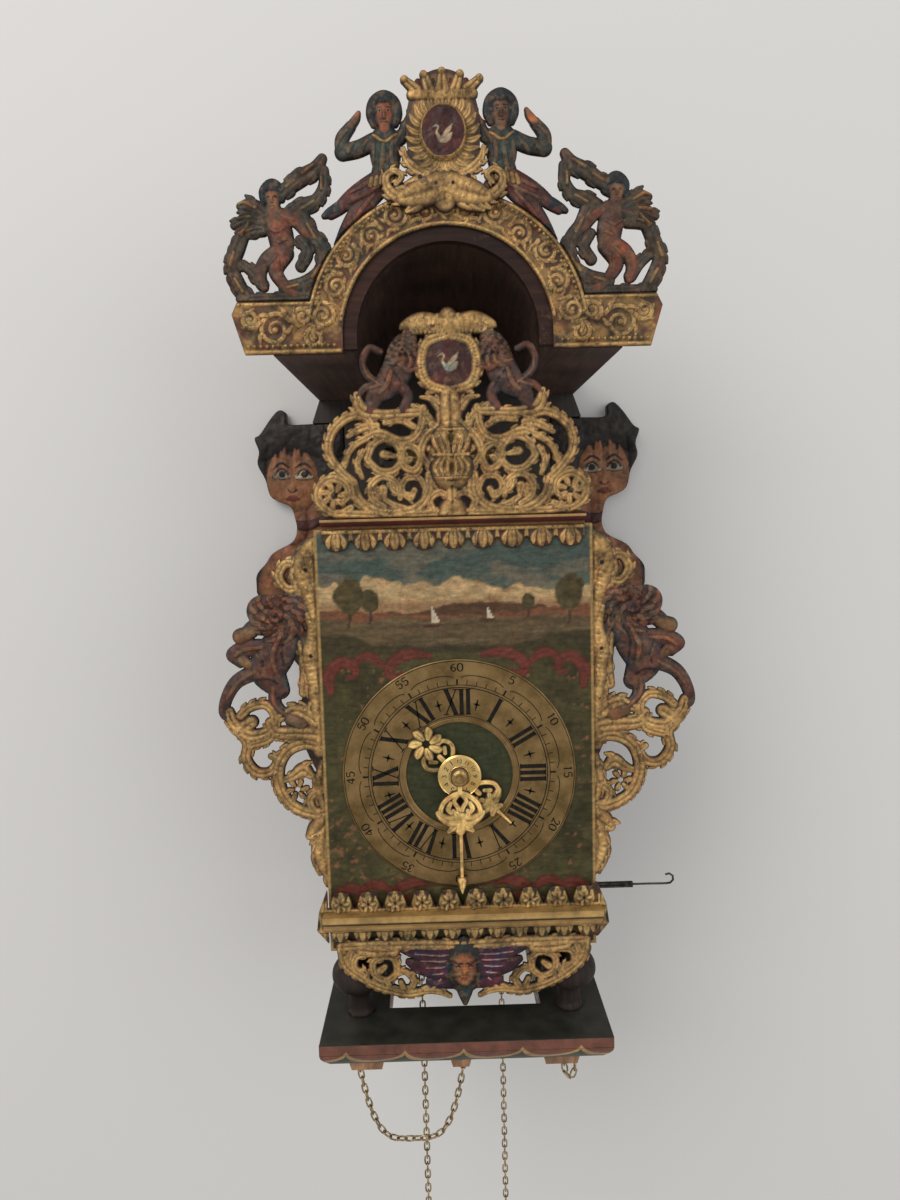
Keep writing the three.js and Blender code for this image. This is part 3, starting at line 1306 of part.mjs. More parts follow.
function bell() {
  const outerShares = [[1, 0], [0.93, 0.12], [0.8, 0.4], [0.74, 0.7], [0.6, 0.92], [0.3, 1]];
  const outer = outerShares.map(([r, h]) => [r * bellRadius, h * bellHeight]);
  const inner = outerShares.map(([r, h]) => [r * bellRadius - bellWall, h * (bellHeight - bellWall)]);
  const bore = postRadius * 0.8 + bearing;
  return turned([
    ...inner, [bore, bellHeight - bellWall], [bore, bellHeight],
    ...outer.reverse(), inner[0],
  ].reverse(), 15);
}
place(movement, 'bell', bell(), brass, 0, bellY, bellMouthZ);

// The repeating lever: two strips and a wire that ends in a small open hook.
function lever() {
  const [half, thick, inner] = [leverHalfHeight, leverHalfThickness, leverInner];
  const stripEnd = leverStripEnd - leverPivotX;
  const hookRadius = 2 * half;
  const wireStart = stripEnd - 2 * half;
  const hook = Array.from({ length: 9 }, (_, i) => {
    const angle = Math.PI * (1 / 2 + (i / 8) * 1.4);
    return point(leverEnd - leverPivotX - hookRadius * (1 + Math.cos(angle)), 0,
      hookRadius * (1 - Math.sin(angle)));
  });
  const path = new THREE.CatmullRomCurve3([point(wireStart, 0, 0), point(stripEnd + 6 * half, 0, 0),
    ...hook.slice(0, 8)]);
  const section = new THREE.Shape(ringAround(new THREE.Vector2(0, 0), leverWire, 5));
  const wireForm = new THREE.ExtrudeGeometry(section, {
    steps: 14, extrudePath: path, bevelEnabled: false,
  });
  return join(
    cut(join(box(point(-inner, -thick, -half), point(stripEnd, thick, half)),
      rodAlongY(2 * half, -thick, thick, 12)),
      drillAlongY(leverPinRadius + bearing, -thick - overrun, thick + overrun),
      box(point(7 * half, -thick - overrun, -half / 3),
        point(stripEnd - 3 * half, thick + overrun, half / 3))),
    wireForm,
  );
}
place(movement, 'repeat_lever', lever(), iron, leverPivotX, leverY, leverZ);

// Chains over the two chain wheels, each with a hook for its weight at one end
const chains = group();
const sideways = point(1, 0, 0);

function trainChain(y, fallSign, bottom) {
  const path = new THREE.CurvePath();
  const top = (angle) => point(
    sprocketRadius * Math.cos(angle), y, dialCentre + sprocketRadius * Math.sin(angle),
  );
  const start = fallSign > 0 ? 0 : Math.PI;
  const fallTop = top(start);
  const tailTop = top(Math.PI - start);
  const arcSteps = 18;
  const arcPoints = Array.from({ length: arcSteps + 1 }, (_, i) => (
    top(start + ((Math.PI - 2 * start) * i) / arcSteps)
  ));
  path.add(new THREE.LineCurve3(point(fallTop.x, y, bottom + hookLength), fallTop));
  arcPoints.slice(1).forEach((p, i) => path.add(new THREE.LineCurve3(arcPoints[i], p)));
  path.add(new THREE.LineCurve3(tailTop, point(tailTop.x, y, fallTail)));
  const hookPoints = Array.from({ length: 8 }, (_, i) => {
    const angle = upward + (i / 7) * 1.5 * Math.PI;
    const radius = hookLength / 3;
    return point(fallTop.x - radius * Math.cos(angle), y,
      bottom + radius + radius * Math.sin(angle));
  });
  const hookPath = new THREE.CatmullRomCurve3([
    point(fallTop.x, y, bottom + hookLength + 2), ...hookPoints,
  ]);
  const section = new THREE.Shape(ringAround(new THREE.Vector2(0, 0), wire / 2 + 0.3, 5));
  const hook = new THREE.ExtrudeGeometry(section, {
    steps: 11, extrudePath: hookPath, bevelEnabled: false,
  });
  return join(chainRun(path, sideways), hook);
}
place(chains, 'going_chain', trainChain(chainY.going, -1, fallBottom.going), oldBrass);
place(chains, 'strike_chain', trainChain(chainY.strike, 1, fallBottom.strike), oldBrass);

// Spare lengths hung up on the blocks under the seat
const blockBottom = -seatDepthBelow - 2 * fit - blockHeight;
const hangingY = seatFront + seatTaper + blockSetback + blockDepth / 2;
function hangingLoop(fromX, toX, drop, samples) {
  const points = Array.from({ length: samples + 1 }, (_, i) => {
    const share = i / samples;
    const sag = 1 - (2 * share - 1) ** 4;
    return point(fromX + (toX - fromX) * share, hangingY, blockBottom - drop * sag);
  });
  return chainRun(new THREE.CatmullRomCurve3(points), point(0, 1, 0));
}
place(chains, 'spare_chain', hangingLoop(
  blockXs.left - blockHalfWidths.left / 2, blockXs.centre + blockTaper, loopDrop, 16,
), oldBrass);
place(chains, 'alarm_chain', hangingLoop(
  blockXs.right + blockTaper, blockXs.right + blockHalfWidths.right - blockTaper, bunchDrop, 10,
), oldBrass);

// Hood
const hood = group();
place(hood, 'hood_canopy', uprightPlate(hoodOutline(
  hoodHalfWidth, soffit, soffit + hoodBeamHeight, vaultRadius + vaultThickness, vaultRadius, 0,
), -hoodFront - boardThickness - fit), brownWood, 0, -boardThickness - fit, 0);
place(hood, 'hood_front_board', uprightPlate(hoodOutline(
  hoodBoardHalfWidth, soffit + 2, shoulderTop - 2, hoodBoardRadius, rimRadius, 6,
), hoodBoardThickness, 14), brownWood, 0, hoodFront - fit, 0);

// The gilded frieze nailed on the front board
place(hood, 'hood_frieze', uprightPlate(hoodOutline(
  shoulderHalfWidth, soffit - 1, shoulderTop, friezeOuterRadius, friezeInnerRadius, 8.5,
), friezeThickness, 16), gilt, 0, hoodCastingBack, 0);

// The crowned shield over the arch, right half, mirrored.
const cartoucheShares = [
  [[0, 10, 16], [0, 20, 22], [18, 15, 22], [38, 12, 10]],
  [[0, 30, 30], [0, 42, 50], [0, 56, 60], [0, 68, 58], [0, 74, 50]],
  [[14, 72, 14], [24, 64, 12], [26, 50, 12], [18, 36, 14]],
  [[0, 81, 9], [22, 82, 8]],
  [[0, 84, 9], [0, 96, 8]],
  [[11, 84, 7], [12.5, 94, 7]],
  [[20, 84, 7], [24, 91, 7]],
];
place(hood, 'hood_cartouche', uprightPlate(
  castingShape([cartoucheShares], cartoucheHeight, 'both'), friezeThickness,
), giltAndPurple, 0, hoodCastingBack - friezeThickness - fit, cartoucheBottom);

// The arch and a shoulder as one outline, grown by the fit, which the figures stand clear of.
function standingLine(sign, originX, originZ) {
  const grown = friezeOuterRadius + fit + outlineTolerance;
  const arch = ringAround(new THREE.Vector2(-originX, archCentre - originZ), grown, 72);
  const top = shoulderTop + fit + outlineTolerance - originZ;
  const beam = [
    [-originX, top - figureHeight], [sign * shoulderHalfWidth - originX, top - figureHeight],
    [sign * shoulderHalfWidth - originX, top], [-originX, top],
  ];
  return [new THREE.Shape(arch), polygon(sign > 0 ? beam : beam.reverse())];
}

// A seated figure at each side of the shield, and a winged child on a dolphin at each end.
const figureShares = [
  [[37.4, 96.9, 8], [38.1, 91.5, 17.4], [38.1, 84.9, 17.4], [38.8, 78.2, 10.7]],
  [[38.8, 75.5, 16], [40.1, 66.2, 21.4], [41.4, 54.1, 21.4], [44.1, 42.1, 18.7]],
  [[46.8, 70.2, 9.4], [60.1, 63.5, 9.4], [68.2, 66.2, 8], [66.2, 75.5, 7.3], [56.8, 82.2, 4.7]],
  [[34.7, 72.8, 9.4], [26.1, 79.5, 6.7], [20.7, 86.2, 4.7]],
  [[45.4, 42.1, 17.4], [56.1, 32.7, 13.4], [64.1, 24.7, 10], [78.8, 23.4, 4.7]],
  [[37.4, 48.8, 10.7], [30.7, 42.1, 9.4], [26.7, 35.4, 8]],
  [[60.1, 24.7, 10.7], [70.8, 15.4, 9.4], [76.2, 1.3, 3.3]],
];
const puttoShares = [
  [[-6.6, 98.5, 5.1], [3.7, 91.1, 9.6], [15.4, 79.4, 11], [24.3, 70.6, 14.7]],
  [[-7.3, 95.5, 5.1], [-6.6, 82.3, 6.6], [2.2, 72, 8.1], [11.8, 64.7, 10.3], [9.6, 45.6, 10.3],
    [-0.7, 33.8, 8.8]],
  [[33.1, 75, 10.3], [34.5, 69.1, 14.7], [34.5, 63.2, 13.2]],
  [[25.7, 69.1, 14.7], [27.2, 52.9, 19.1], [24.3, 36.8, 17.6], [18.4, 23.5, 13.2],
    [19.8, 11.8, 8.8], [14, 4.4, 7.3]],
  [[28.7, 55.9, 10.3], [41.9, 54.4, 8.8], [50, 57.3, 7.3], [52.9, 45.6, 5.9], [56.6, 35.3, 8.8],
    [61.7, 25, 7.3], [56.6, 13.2, 8.8], [52.2, 2.9, 7.3]],
  [[25.7, 35.3, 10.3], [39, 29.4, 9.6], [53.7, 32.3, 7.3]],
  [[25.7, 20.6, 10.3], [36, 14, 8.1], [47.8, 13.2, 8.8], [56.6, 16.2, 5.9]],
  [[-5.1, 27.9, 7.3], [-0.7, 19.1, 6.6], [9.6, 11.8, 8.8], [22.8, 10.3, 7.3]],
  [[2.2, 2.9, 5.9], [27.2, 2.2, 5.9], [55.9, 2.2, 5.9]],
  [[44.8, 13.2, 7.3], [44.8, 2.9, 7.3]],
];
const figureZ = soffit + figureRise;
const puttoX = friezeOuterRadius * 0.9;
for (const [side, sign] of bothSides) {
  place(hood, `figure_${side}`, uprightPlate(castingShape(
    [figureShares], figureHeight, sign, standingLine(sign, 0, figureZ),
  ), friezeThickness), figurePaint, 0, hoodCastingBack, figureZ);
  place(hood, `putto_${side}`, uprightPlate(castingShape(
    [puttoShares], puttoHeight, sign, standingLine(sign, sign * puttoX, shoulderTop),
  ), friezeThickness), figurePaint, sign * puttoX, hoodCastingBack, shoulderTop);
}

export default clock;
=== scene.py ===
# %% [markdown]
# # A stool clock on its bracket
# The imported model gives every solid at its true place, in metres. This script dresses it: the flat
# pierced plates become carved and gilded castings, the dial is painted and numbered, the chains get
# open links, and every piece of wood and metal gets a finish of its own.

# %% Load the imported clock
import math
from functools import partial

import bpy
import numpy as np
from mathutils import Matrix, Vector


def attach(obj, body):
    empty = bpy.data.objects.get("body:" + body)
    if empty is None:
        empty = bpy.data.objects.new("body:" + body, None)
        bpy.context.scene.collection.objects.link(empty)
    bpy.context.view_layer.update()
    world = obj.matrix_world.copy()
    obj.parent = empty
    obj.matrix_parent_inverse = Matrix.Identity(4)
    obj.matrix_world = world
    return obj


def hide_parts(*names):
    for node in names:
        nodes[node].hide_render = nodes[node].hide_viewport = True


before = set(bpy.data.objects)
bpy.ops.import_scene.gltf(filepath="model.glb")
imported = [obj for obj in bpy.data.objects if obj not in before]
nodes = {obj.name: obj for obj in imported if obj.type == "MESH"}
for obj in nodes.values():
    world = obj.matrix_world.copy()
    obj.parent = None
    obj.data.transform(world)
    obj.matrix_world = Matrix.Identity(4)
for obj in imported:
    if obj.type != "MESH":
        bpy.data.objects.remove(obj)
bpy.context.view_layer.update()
mm = 0.001

# %% [markdown]
# ## The camera
# The photograph is taken from the height of the dial's cornice with a wide lens, looking down by
# five and a half degrees, and it is turned by one and a half degrees. The camera stands where the
# edges of the dial, seat and hood fall on the photograph's. Its axes are worked out from the three
# angles, because that is easier to check than three stacked turns.

# %% Camera at the photograph's place
def camera_axes(yaw, pitch, roll):
    """Right, up and back of a camera that looks along +Y, turned by yaw, tilted by pitch, rolled."""
    forward = Vector((math.sin(yaw) * math.cos(pitch), math.cos(yaw) * math.cos(pitch), math.sin(pitch)))
    level = Vector((math.cos(yaw), -math.sin(yaw), 0))
    above = level.cross(forward)
    right = level * math.cos(roll) + above * math.sin(roll)
    up = -level * math.sin(roll) + above * math.cos(roll)
    return right, up, -forward


lens_length, film_width = 24.94, 36
yaw_pitch_roll = (0.49, -5.59, -1.51)
camera_place = (-0.0090, -0.8667, 0.3981)
camera = bpy.data.objects.new("camera", bpy.data.cameras.new("camera"))
camera.data.lens = lens_length
camera.data.sensor_width = film_width
camera.data.clip_start = 0.01
right, up, back = camera_axes(*map(math.radians, yaw_pitch_roll))
facing = Matrix((right, up, back)).transposed().to_4x4()
camera.matrix_world = Matrix.Translation(camera_place) @ facing
bpy.context.scene.collection.objects.link(camera)
bpy.context.scene.camera = camera
print("camera looks along", [round(-v, 3) for v in back])

# %% [markdown]
# ## Wall, floor and light
# The clock hangs on a plain pale wall. The wall is a stage piece: it takes the soft shadow of the
# clock, and it is seen from its front only, so that the clock's back can be looked at too. It lets the
# light of the room through, for the same reason. Two wide lamps and an even sky light the clock.

# %% Wall, floor and lamps
def stage_plane(name, corners, colour):
    """A single four-cornered face in a plain colour that is seen from its front side only."""
    mesh = bpy.data.meshes.new(name)
    mesh.from_pydata(corners, [], [(0, 1, 2, 3)])
    plane = bpy.data.objects.new(name, mesh)
    bpy.context.scene.collection.objects.link(plane)
    finish = bpy.data.materials.new(name)
    finish.use_nodes = True
    tree = finish.node_tree
    shader = tree.nodes["Principled BSDF"]
    shader.inputs["Base Color"].default_value = (*colour, 1)
    shader.inputs["Roughness"].default_value = 0.9
    shader.inputs["Specular IOR Level"].default_value = 0.1
    clear = tree.nodes.new("ShaderNodeBsdfTransparent")
    side = tree.nodes.new("ShaderNodeNewGeometry")
    ray = tree.nodes.new("ShaderNodeLightPath")
    seen, front = (tree.nodes.new("ShaderNodeMath") for _ in range(2))
    seen.operation, front.operation, front.use_clamp = "MAXIMUM", "SUBTRACT", True
    choose = tree.nodes.new("ShaderNodeMixShader")
    for way, socket in ((ray.outputs["Is Camera Ray"], seen.inputs[0]),
                        (ray.outputs["Is Glossy Ray"], seen.inputs[1]), (seen.outputs[0], front.inputs[0]),
                        (side.outputs["Backfacing"], front.inputs[1]), (front.outputs[0], choose.inputs[0]),
                        (clear.outputs[0], choose.inputs[1]), (shader.outputs[0], choose.inputs[2])):
        tree.links.new(way, socket)
    tree.links.new(choose.outputs[0], tree.nodes["Material Output"].inputs["Surface"])
    mesh.materials.append(finish)


wall_colour = (0.665, 0.655, 0.645)
room, wall_y, floor_z = 4, 0.004, -0.9
stage_plane("wall", [(-room, wall_y, floor_z), (room, wall_y, floor_z), (room, wall_y, room),
                     (-room, wall_y, room)], wall_colour)
stage_plane("floor", [(-room, -room, floor_z), (room, -room, floor_z), (room, room, floor_z),
                      (-room, room, floor_z)], wall_colour)


def soft_lamp(name, place, target, size, power, colour):
    """A square lamp at a place, turned to face a target."""
    data = bpy.data.lights.new(name, "AREA")
    data.size, data.energy, data.color = size, power, colour
    lamp = bpy.data.objects.new(name, data)
    lamp.location = place
    lamp.rotation_euler = (Vector(place) - Vector(target)).to_track_quat("Z", "Y").to_euler()
    bpy.context.scene.collection.objects.link(lamp)


clock_middle = (0, 0, 0.3)
soft_lamp("window", (-1.3, -2.2, 1.9), clock_middle, size=1.8, power=42, colour=(1, 0.98, 0.95))
soft_lamp("fill", (2.0, -2.2, 0.9), clock_middle, size=2.2, power=20, colour=(0.96, 0.98, 1))
world = bpy.data.worlds.new("room")
world.use_nodes = True
world.node_tree.nodes["Background"].inputs["Color"].default_value = (1, 0.985, 0.96, 1)
world.node_tree.nodes["Background"].inputs["Strength"].default_value = 0.55
bpy.context.scene.world = world
bpy.context.scene.view_settings.view_transform = "Standard"
print("lamps:", [lamp.name for lamp in bpy.data.lights])

# %% [markdown]
# ## Grids that become meshes
# Tubes, turned pieces and mouldings are sheets of points in rows and columns. One helper gives the
# faces of such a sheet and joins its first and last row or column where the surface runs round. An
# open end is closed by one more row, drawn in to a point.

# %% Sheets of points
def new_piece(name, points, faces, body="clock", replaces=(), smooth=True):
    """A mesh object made of points (metres) and faces, riding on a body of the clock."""
    mesh = bpy.data.meshes.new(name)
    mesh.from_pydata(np.asarray(points, float).reshape(-1, 3).tolist(), [], [list(f) for f in faces])
    mesh.validate(verbose=False)
    if smooth:
        mesh.polygons.foreach_set("use_smooth", np.ones(len(mesh.polygons), bool))
    mesh.update()
    piece = bpy.data.objects.new(name, mesh)
    bpy.context.scene.collection.objects.link(piece)
    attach(piece, body)
    if replaces:
        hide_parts(*replaces)
    print(f"{name}: {len(mesh.vertices)} points, {len(mesh.polygons)} faces, on {body}")
    return piece


def sheet_faces(rows, columns, wrap_rows=False, wrap_columns=True, first=0):
    """Four-cornered faces of a grid of points numbered row by row."""
    i = np.arange(rows if wrap_rows else rows - 1)[:, None]
    j = np.arange(columns if wrap_columns else columns - 1)[None, :]
    a = i * columns + j
    b = i * columns + (j + 1) % columns
    c = ((i + 1) % rows) * columns + (j + 1) % columns
    d = ((i + 1) % rows) * columns + j
    return first + np.stack([a + 0 * b, b, c, d], -1).reshape(-1, 4)


def tube(path, radius, sides):
    """Points of a round tube: a circle of the given radius is carried along the path, square to it.
    The ends close to a point."""
    path = np.asarray(path, float)
    along = np.gradient(path, axis=0)
    along /= np.linalg.norm(along, axis=1, keepdims=True)
    side = np.cross(along, (0.0, 1.0, 0.0))
    side /= np.linalg.norm(side, axis=1, keepdims=True)
    over = np.cross(side, along)
    angle = np.linspace(0, 2 * np.pi, sides, endpoint=False)
    ring = np.cos(angle)[None, :, None] * side[:, None] + np.sin(angle)[None, :, None] * over[:, None]
    points = path[:, None] + ring * radius
    low, high = path[:1, None] + 0 * points[:1], path[-1:, None] + 0 * points[-1:]
    return np.concatenate([low, points, high])


def lathe(profile, sides, centre, along):
    """Points of a turned form: a profile of (radius, height) pairs is spun about an axis."""
    profile = np.asarray(profile, float)
    along = np.asarray(along, float)
    first = np.array((1, 0, 0), float)
    second = np.cross(along, first)
    angle = np.linspace(0, 2 * np.pi, sides, endpoint=False)
    ring = np.cos(angle)[:, None] * first + np.sin(angle)[:, None] * second
    return np.asarray(centre, float) + profile[:, None, :1] * ring[None] + profile[:, None, 1:] * along


def smooth_line(points, steps=8):
    """A curve through points: each span is a cubic whose slopes follow the neighbouring points."""
    p = np.asarray(points, float)
    if len(p) == 2:
        return p[0] + np.linspace(0, 1, steps + 1)[:, None] * (p[1] - p[0])
    padded = np.vstack([2 * p[0] - p[1], p, 2 * p[-1] - p[-2]])
    t = np.linspace(0, 1, steps, endpoint=False)[None, :, None]
    a, b, c, d = (padded[k:len(p) - 1 + k][:, None] for k in range(4))
    spans = 0.5 * (2 * b + (c - a) * t + (2 * a - 5 * b + 4 * c - d) * t**2
                   + (3 * b - a - 3 * c + d) * t**3)
    return np.vstack([spans.reshape(-1, p.shape[1]), p[-1]])


# %% [markdown]
# ## Finishes
# A material is a small graph of nodes. A tiny wrapper keeps the graphs short: it adds a node, sets
# its fields and joins its sockets in one line. Patterns are placed by Object coordinates, which are
# metres on the clock, so that a grain or a speck has its real size.

# %% A wrapper for shader graphs
class Finish:
    """Builds one material. Each method adds a node and gives its output, except join and set."""

    def __init__(self, name):
        self.material = bpy.data.materials.new(name)
        self.material.use_nodes = True
        self.tree = self.material.node_tree
        self.shader = self.tree.nodes["Principled BSDF"]
        self.place = self.tree.nodes.new("ShaderNodeTexCoord").outputs["Object"]

    def add(self, kind, inputs=(), **fields):
        """A node of this kind with its fields set and its inputs joined."""
        node = self.tree.nodes.new("ShaderNode" + kind)
        for key, value in fields.items():
            setattr(node, key, value)
        for key, value in dict(inputs).items():
            self.join(node.inputs[key], value)
        return node.outputs[0]

    def join(self, socket, value):
        """Links a socket to an output, or gives it a plain value."""
        if isinstance(value, bpy.types.NodeSocket):
            self.tree.links.new(value, socket)
        elif isinstance(value, (tuple, list)) and len(value) == 3 and socket.type == "RGBA":
            socket.default_value = (*value, 1)
        else:
            socket.default_value = value

    def set(self, **values):
        """Inputs of the surface shader, with _ for the blanks in their names."""
        for key, value in values.items():
            self.join(self.shader.inputs[key.replace("_", " ")], value)
        return self

    def stretched(self, x, y, z):
        """The place, scaled along each axis: under 1 draws a pattern out."""
        return self.add("Mapping", {"Vector": self.place, "Scale": (x, y, z)})

    def noise(self, scale, detail=4, rough=0.55, place=None):
        """Cloudy noise with about scale clouds in a metre."""
        return self.add("TexNoise", {"Vector": place or self.place, "Scale": scale, "Detail": detail,
                                     "Roughness": rough})

    def ramp(self, value, *stops):
        """Turns a value into a colour by (position, colour) stops."""
        node = self.tree.nodes.new("ShaderNodeValToRGB")
        self.join(node.inputs[0], value)
        while len(node.color_ramp.elements) < len(stops):
            node.color_ramp.elements.new(0.5)
        for element, (at, colour) in zip(node.color_ramp.elements, stops):
            element.position = at
            element.color = (*colour, 1) if len(colour) == 3 else colour
        return node.outputs[0]

    def mix(self, share, a, b, how="MIX"):
        """Blends colour b over colour a by a share."""
        node = self.tree.nodes.new("ShaderNodeMix")
        node.data_type, node.blend_type = "RGBA", how
        for socket, value in ((node.inputs[0], share), (node.inputs[6], a), (node.inputs[7], b)):
            self.join(socket, value)
        return node.outputs[2]

    def math(self, how, a, b=0.0):
        """One step of arithmetic on two values."""
        node = self.tree.nodes.new("ShaderNodeMath")
        node.operation = how
        for socket, value in zip(node.inputs, (a, b)):
            self.join(socket, value)
        return node.outputs[0]

    def bump(self, height, strength, distance):
        """A normal that leans with the slope of a height, distance metres high at full strength."""
        return self.add("Bump", {"Height": height, "Strength": strength, "Distance": distance})


def dress(finish, *names):
    """Gives a finish to pieces or CAD nodes, by object or by name."""
    for name in names:
        piece = nodes[name] if isinstance(name, str) else name
        piece.data.materials.clear()
        piece.data.materials.append(finish.material)


def grey(value):
    """The same amount of red, green and blue."""
    return (value, value, value)


# %% [markdown]
# ## Wood
# The bracket, hood and case are softwood under dark, worn paint. The grain is noise that is
# stretched along the board, and a second, coarse noise shows where hands and time have rubbed the
# paint thin. The same function makes each tone, with the grain running up or across.

# %% Painted and bare wood
def wood(name, dark, light, grain=(1, 1, 0.08), rough=0.55, worn=(0.35, 0.2, 0.12), wear=0.25, sheen=0.5):
    """Stretched noise runs from dark to light as grain; clouds of noise dull it and rub it to worn."""
    n = Finish(name)
    lines = n.noise(260, 5, 0.6, n.stretched(*grain))
    clouds = n.noise(22, 4)
    tone = n.ramp(lines, (0.35, dark), (0.7, light))
    patch = n.ramp(clouds, (0.35, grey(0.55)), (0.7, grey(1.2)))
    base = n.mix(1.0, tone, patch, "MULTIPLY")
    rubbed = n.ramp(n.noise(75, 6, 0.7), (0.6, grey(0)), (0.72, grey(wear)))
    n.set(Base_Color=n.mix(rubbed, base, worn), Specular_IOR_Level=sheen,
          Roughness=n.ramp(clouds, (0.3, grey(rough)), (0.8, grey(rough + 0.2))),
          Normal=n.bump(n.math("ADD", lines, n.math("MULTIPLY", rubbed, 0.8)), 0.35, 0.0008))
    return n


board_wood = wood("dark_board", (0.012, 0.008, 0.006), (0.04, 0.024, 0.016), wear=0.12)
seat_wood = wood("dark_seat", (0.010, 0.008, 0.007), (0.035, 0.024, 0.018), (0.08, 1, 1), wear=0.12)
hood_wood = wood("hood_brown", (0.035, 0.017, 0.011), (0.10, 0.045, 0.028), (1, 0.08, 1))
rim_wood = wood("hood_rim", (0.016, 0.007, 0.005), (0.044, 0.017, 0.011), (0.1, 1, 1), sheen=0.2)
door_wood = wood("door_brown", (0.03, 0.015, 0.01), (0.085, 0.04, 0.025))
foot_wood = wood("foot_brown", (0.012, 0.008, 0.006), (0.034, 0.019, 0.013), wear=0.14, sheen=0.3)
block_wood = wood("bare_block", (0.20, 0.095, 0.045), (0.42, 0.23, 0.12), worn=(0.12, 0.06, 0.03))
dress(board_wood, "back_board", "back_panel", "case_frame", "case_top")
dress(seat_wood, "seat_board")
dress(hood_wood, "hood_canopy")
dress(rim_wood, "hood_front_board")
dress(door_wood, "side_door_left", "side_door_right")
dress(block_wood, "chain_block_left", "chain_block_centre", "chain_block_right")
print("finishes:", len(bpy.data.materials))

# %% [markdown]
# ## Metals
# Brass that has not been polished for long is brown in its hollows and bright where it is touched;
# the iron bars are nearly black. A metal needs uneven roughness more than it needs colour.

# %% Brass, iron and steel
def metal(name, dull, bright, rough=(0.3, 0.5), scale=60):
    """Noise stains a metal from dull to bright, and a finer noise sets its roughness."""
    n = Finish(name)
    stain = n.noise(scale, 6, 0.65)
    n.set(Base_Color=n.ramp(stain, (0.38, dull), (0.62, bright)), Metallic=1.0,
          Roughness=n.ramp(n.noise(scale * 2.5, 4), (0.3, grey(rough[0])), (0.7, grey(rough[1]))),
          Normal=n.bump(n.noise(900, 3), 0.06, 0.0004))
    return n


brass = metal("aged_brass", (0.30, 0.19, 0.07), (0.62, 0.45, 0.19))
bright_brass = metal("hand_brass", (0.62, 0.38, 0.12), (0.90, 0.66, 0.28), (0.22, 0.36))
chain_brass = metal("chain_brass", (0.20, 0.14, 0.07), (0.48, 0.36, 0.19), (0.3, 0.45), 200)
iron = metal("wrought_iron", (0.03, 0.026, 0.022), (0.12, 0.105, 0.09), (0.45, 0.65), 120)
steel = metal("old_steel", (0.14, 0.12, 0.10), (0.36, 0.33, 0.30), (0.3, 0.5))
dress(iron, "front_bar", "middle_bar", "rear_bar", "hammer", "bell_post", "repeat_lever")
dress(steel, "verge")
dress(brass, "great_wheel", "strike_great_wheel", "second_wheel", "contrate_wheel", "crown_wheel",
      "hammer_wheel", "fly", "bell", "pendulum", "hour_wheel", "minute_wheel", "alarm_disc",
      "minute_arbor")
print("finishes:", len(bpy.data.materials))

# %% [markdown]
# ## Castings
# The scrollwork is cast in lead from a carved pattern, nailed on, gilded over a dark red ground and
# painted. Each scroll is a stroke: a smooth line with a width at each point. On a fine grid, every
# point looks for its distance from each stroke. That gives the outline, where the distance equals
# half the width, and the relief, which is round across the stroke with a vein along its middle. The
# point also keeps how far it is from a crest, because gilding survives on the crests only. Towards
# the edges and in the vein the colour turns to the ground, which is also painted shade there.

# %% Smooth noise for painting
def mottle(x, z, size, seed):
    """Value noise between 0 and 1: cells of the given size, blended by 3t^2 - 2t^3."""
    values = np.random.default_rng(seed).random((256, 256))
    u, v = x / size + 64, z / size + 64
    i, j = np.floor(u).astype(int), np.floor(v).astype(int)
    s, t = (w * w * (3 - 2 * w) for w in (u - i, v - j))
    i, j = i % 255, j % 255
    low = values[i, j] * (1 - s) + values[i + 1, j] * s
    high = values[i, j + 1] * (1 - s) + values[i + 1, j + 1] * s
    return low * (1 - t) + high * t


def layered(x, z, size, seed):
    """Three sizes of mottle on top of each other."""
    return (mottle(x, z, size, seed) * 0.57 + mottle(x, z, size / 2, seed + 1) * 0.28
            + mottle(x, z, size / 4, seed + 2) * 0.15)


# %% Paint on paint
def over(below, above, share):
    """Lays one paint over another, by a share for each point."""
    return below * (1 - share[..., None]) + np.asarray(above) * share[..., None]


def soft_step(value, edge, width):
    """0 below the edge and 1 above it, over the given width."""
    t = np.clip((value - edge) / width + 0.5, 0, 1)
    return t * t * (3 - 2 * t)


# %% From strokes to a field of heights
gold = (0.47, 0.285, 0.105)
brown_ground = (0.050, 0.024, 0.013)
lion_paint = (0.085, 0.038, 0.028)
maroon = (0.060, 0.014, 0.012)
slate = (0.030, 0.030, 0.034)
flesh = (0.20, 0.085, 0.040)
cream = (0.40, 0.33, 0.22)
dark_paint = (0.015, 0.010, 0.010)


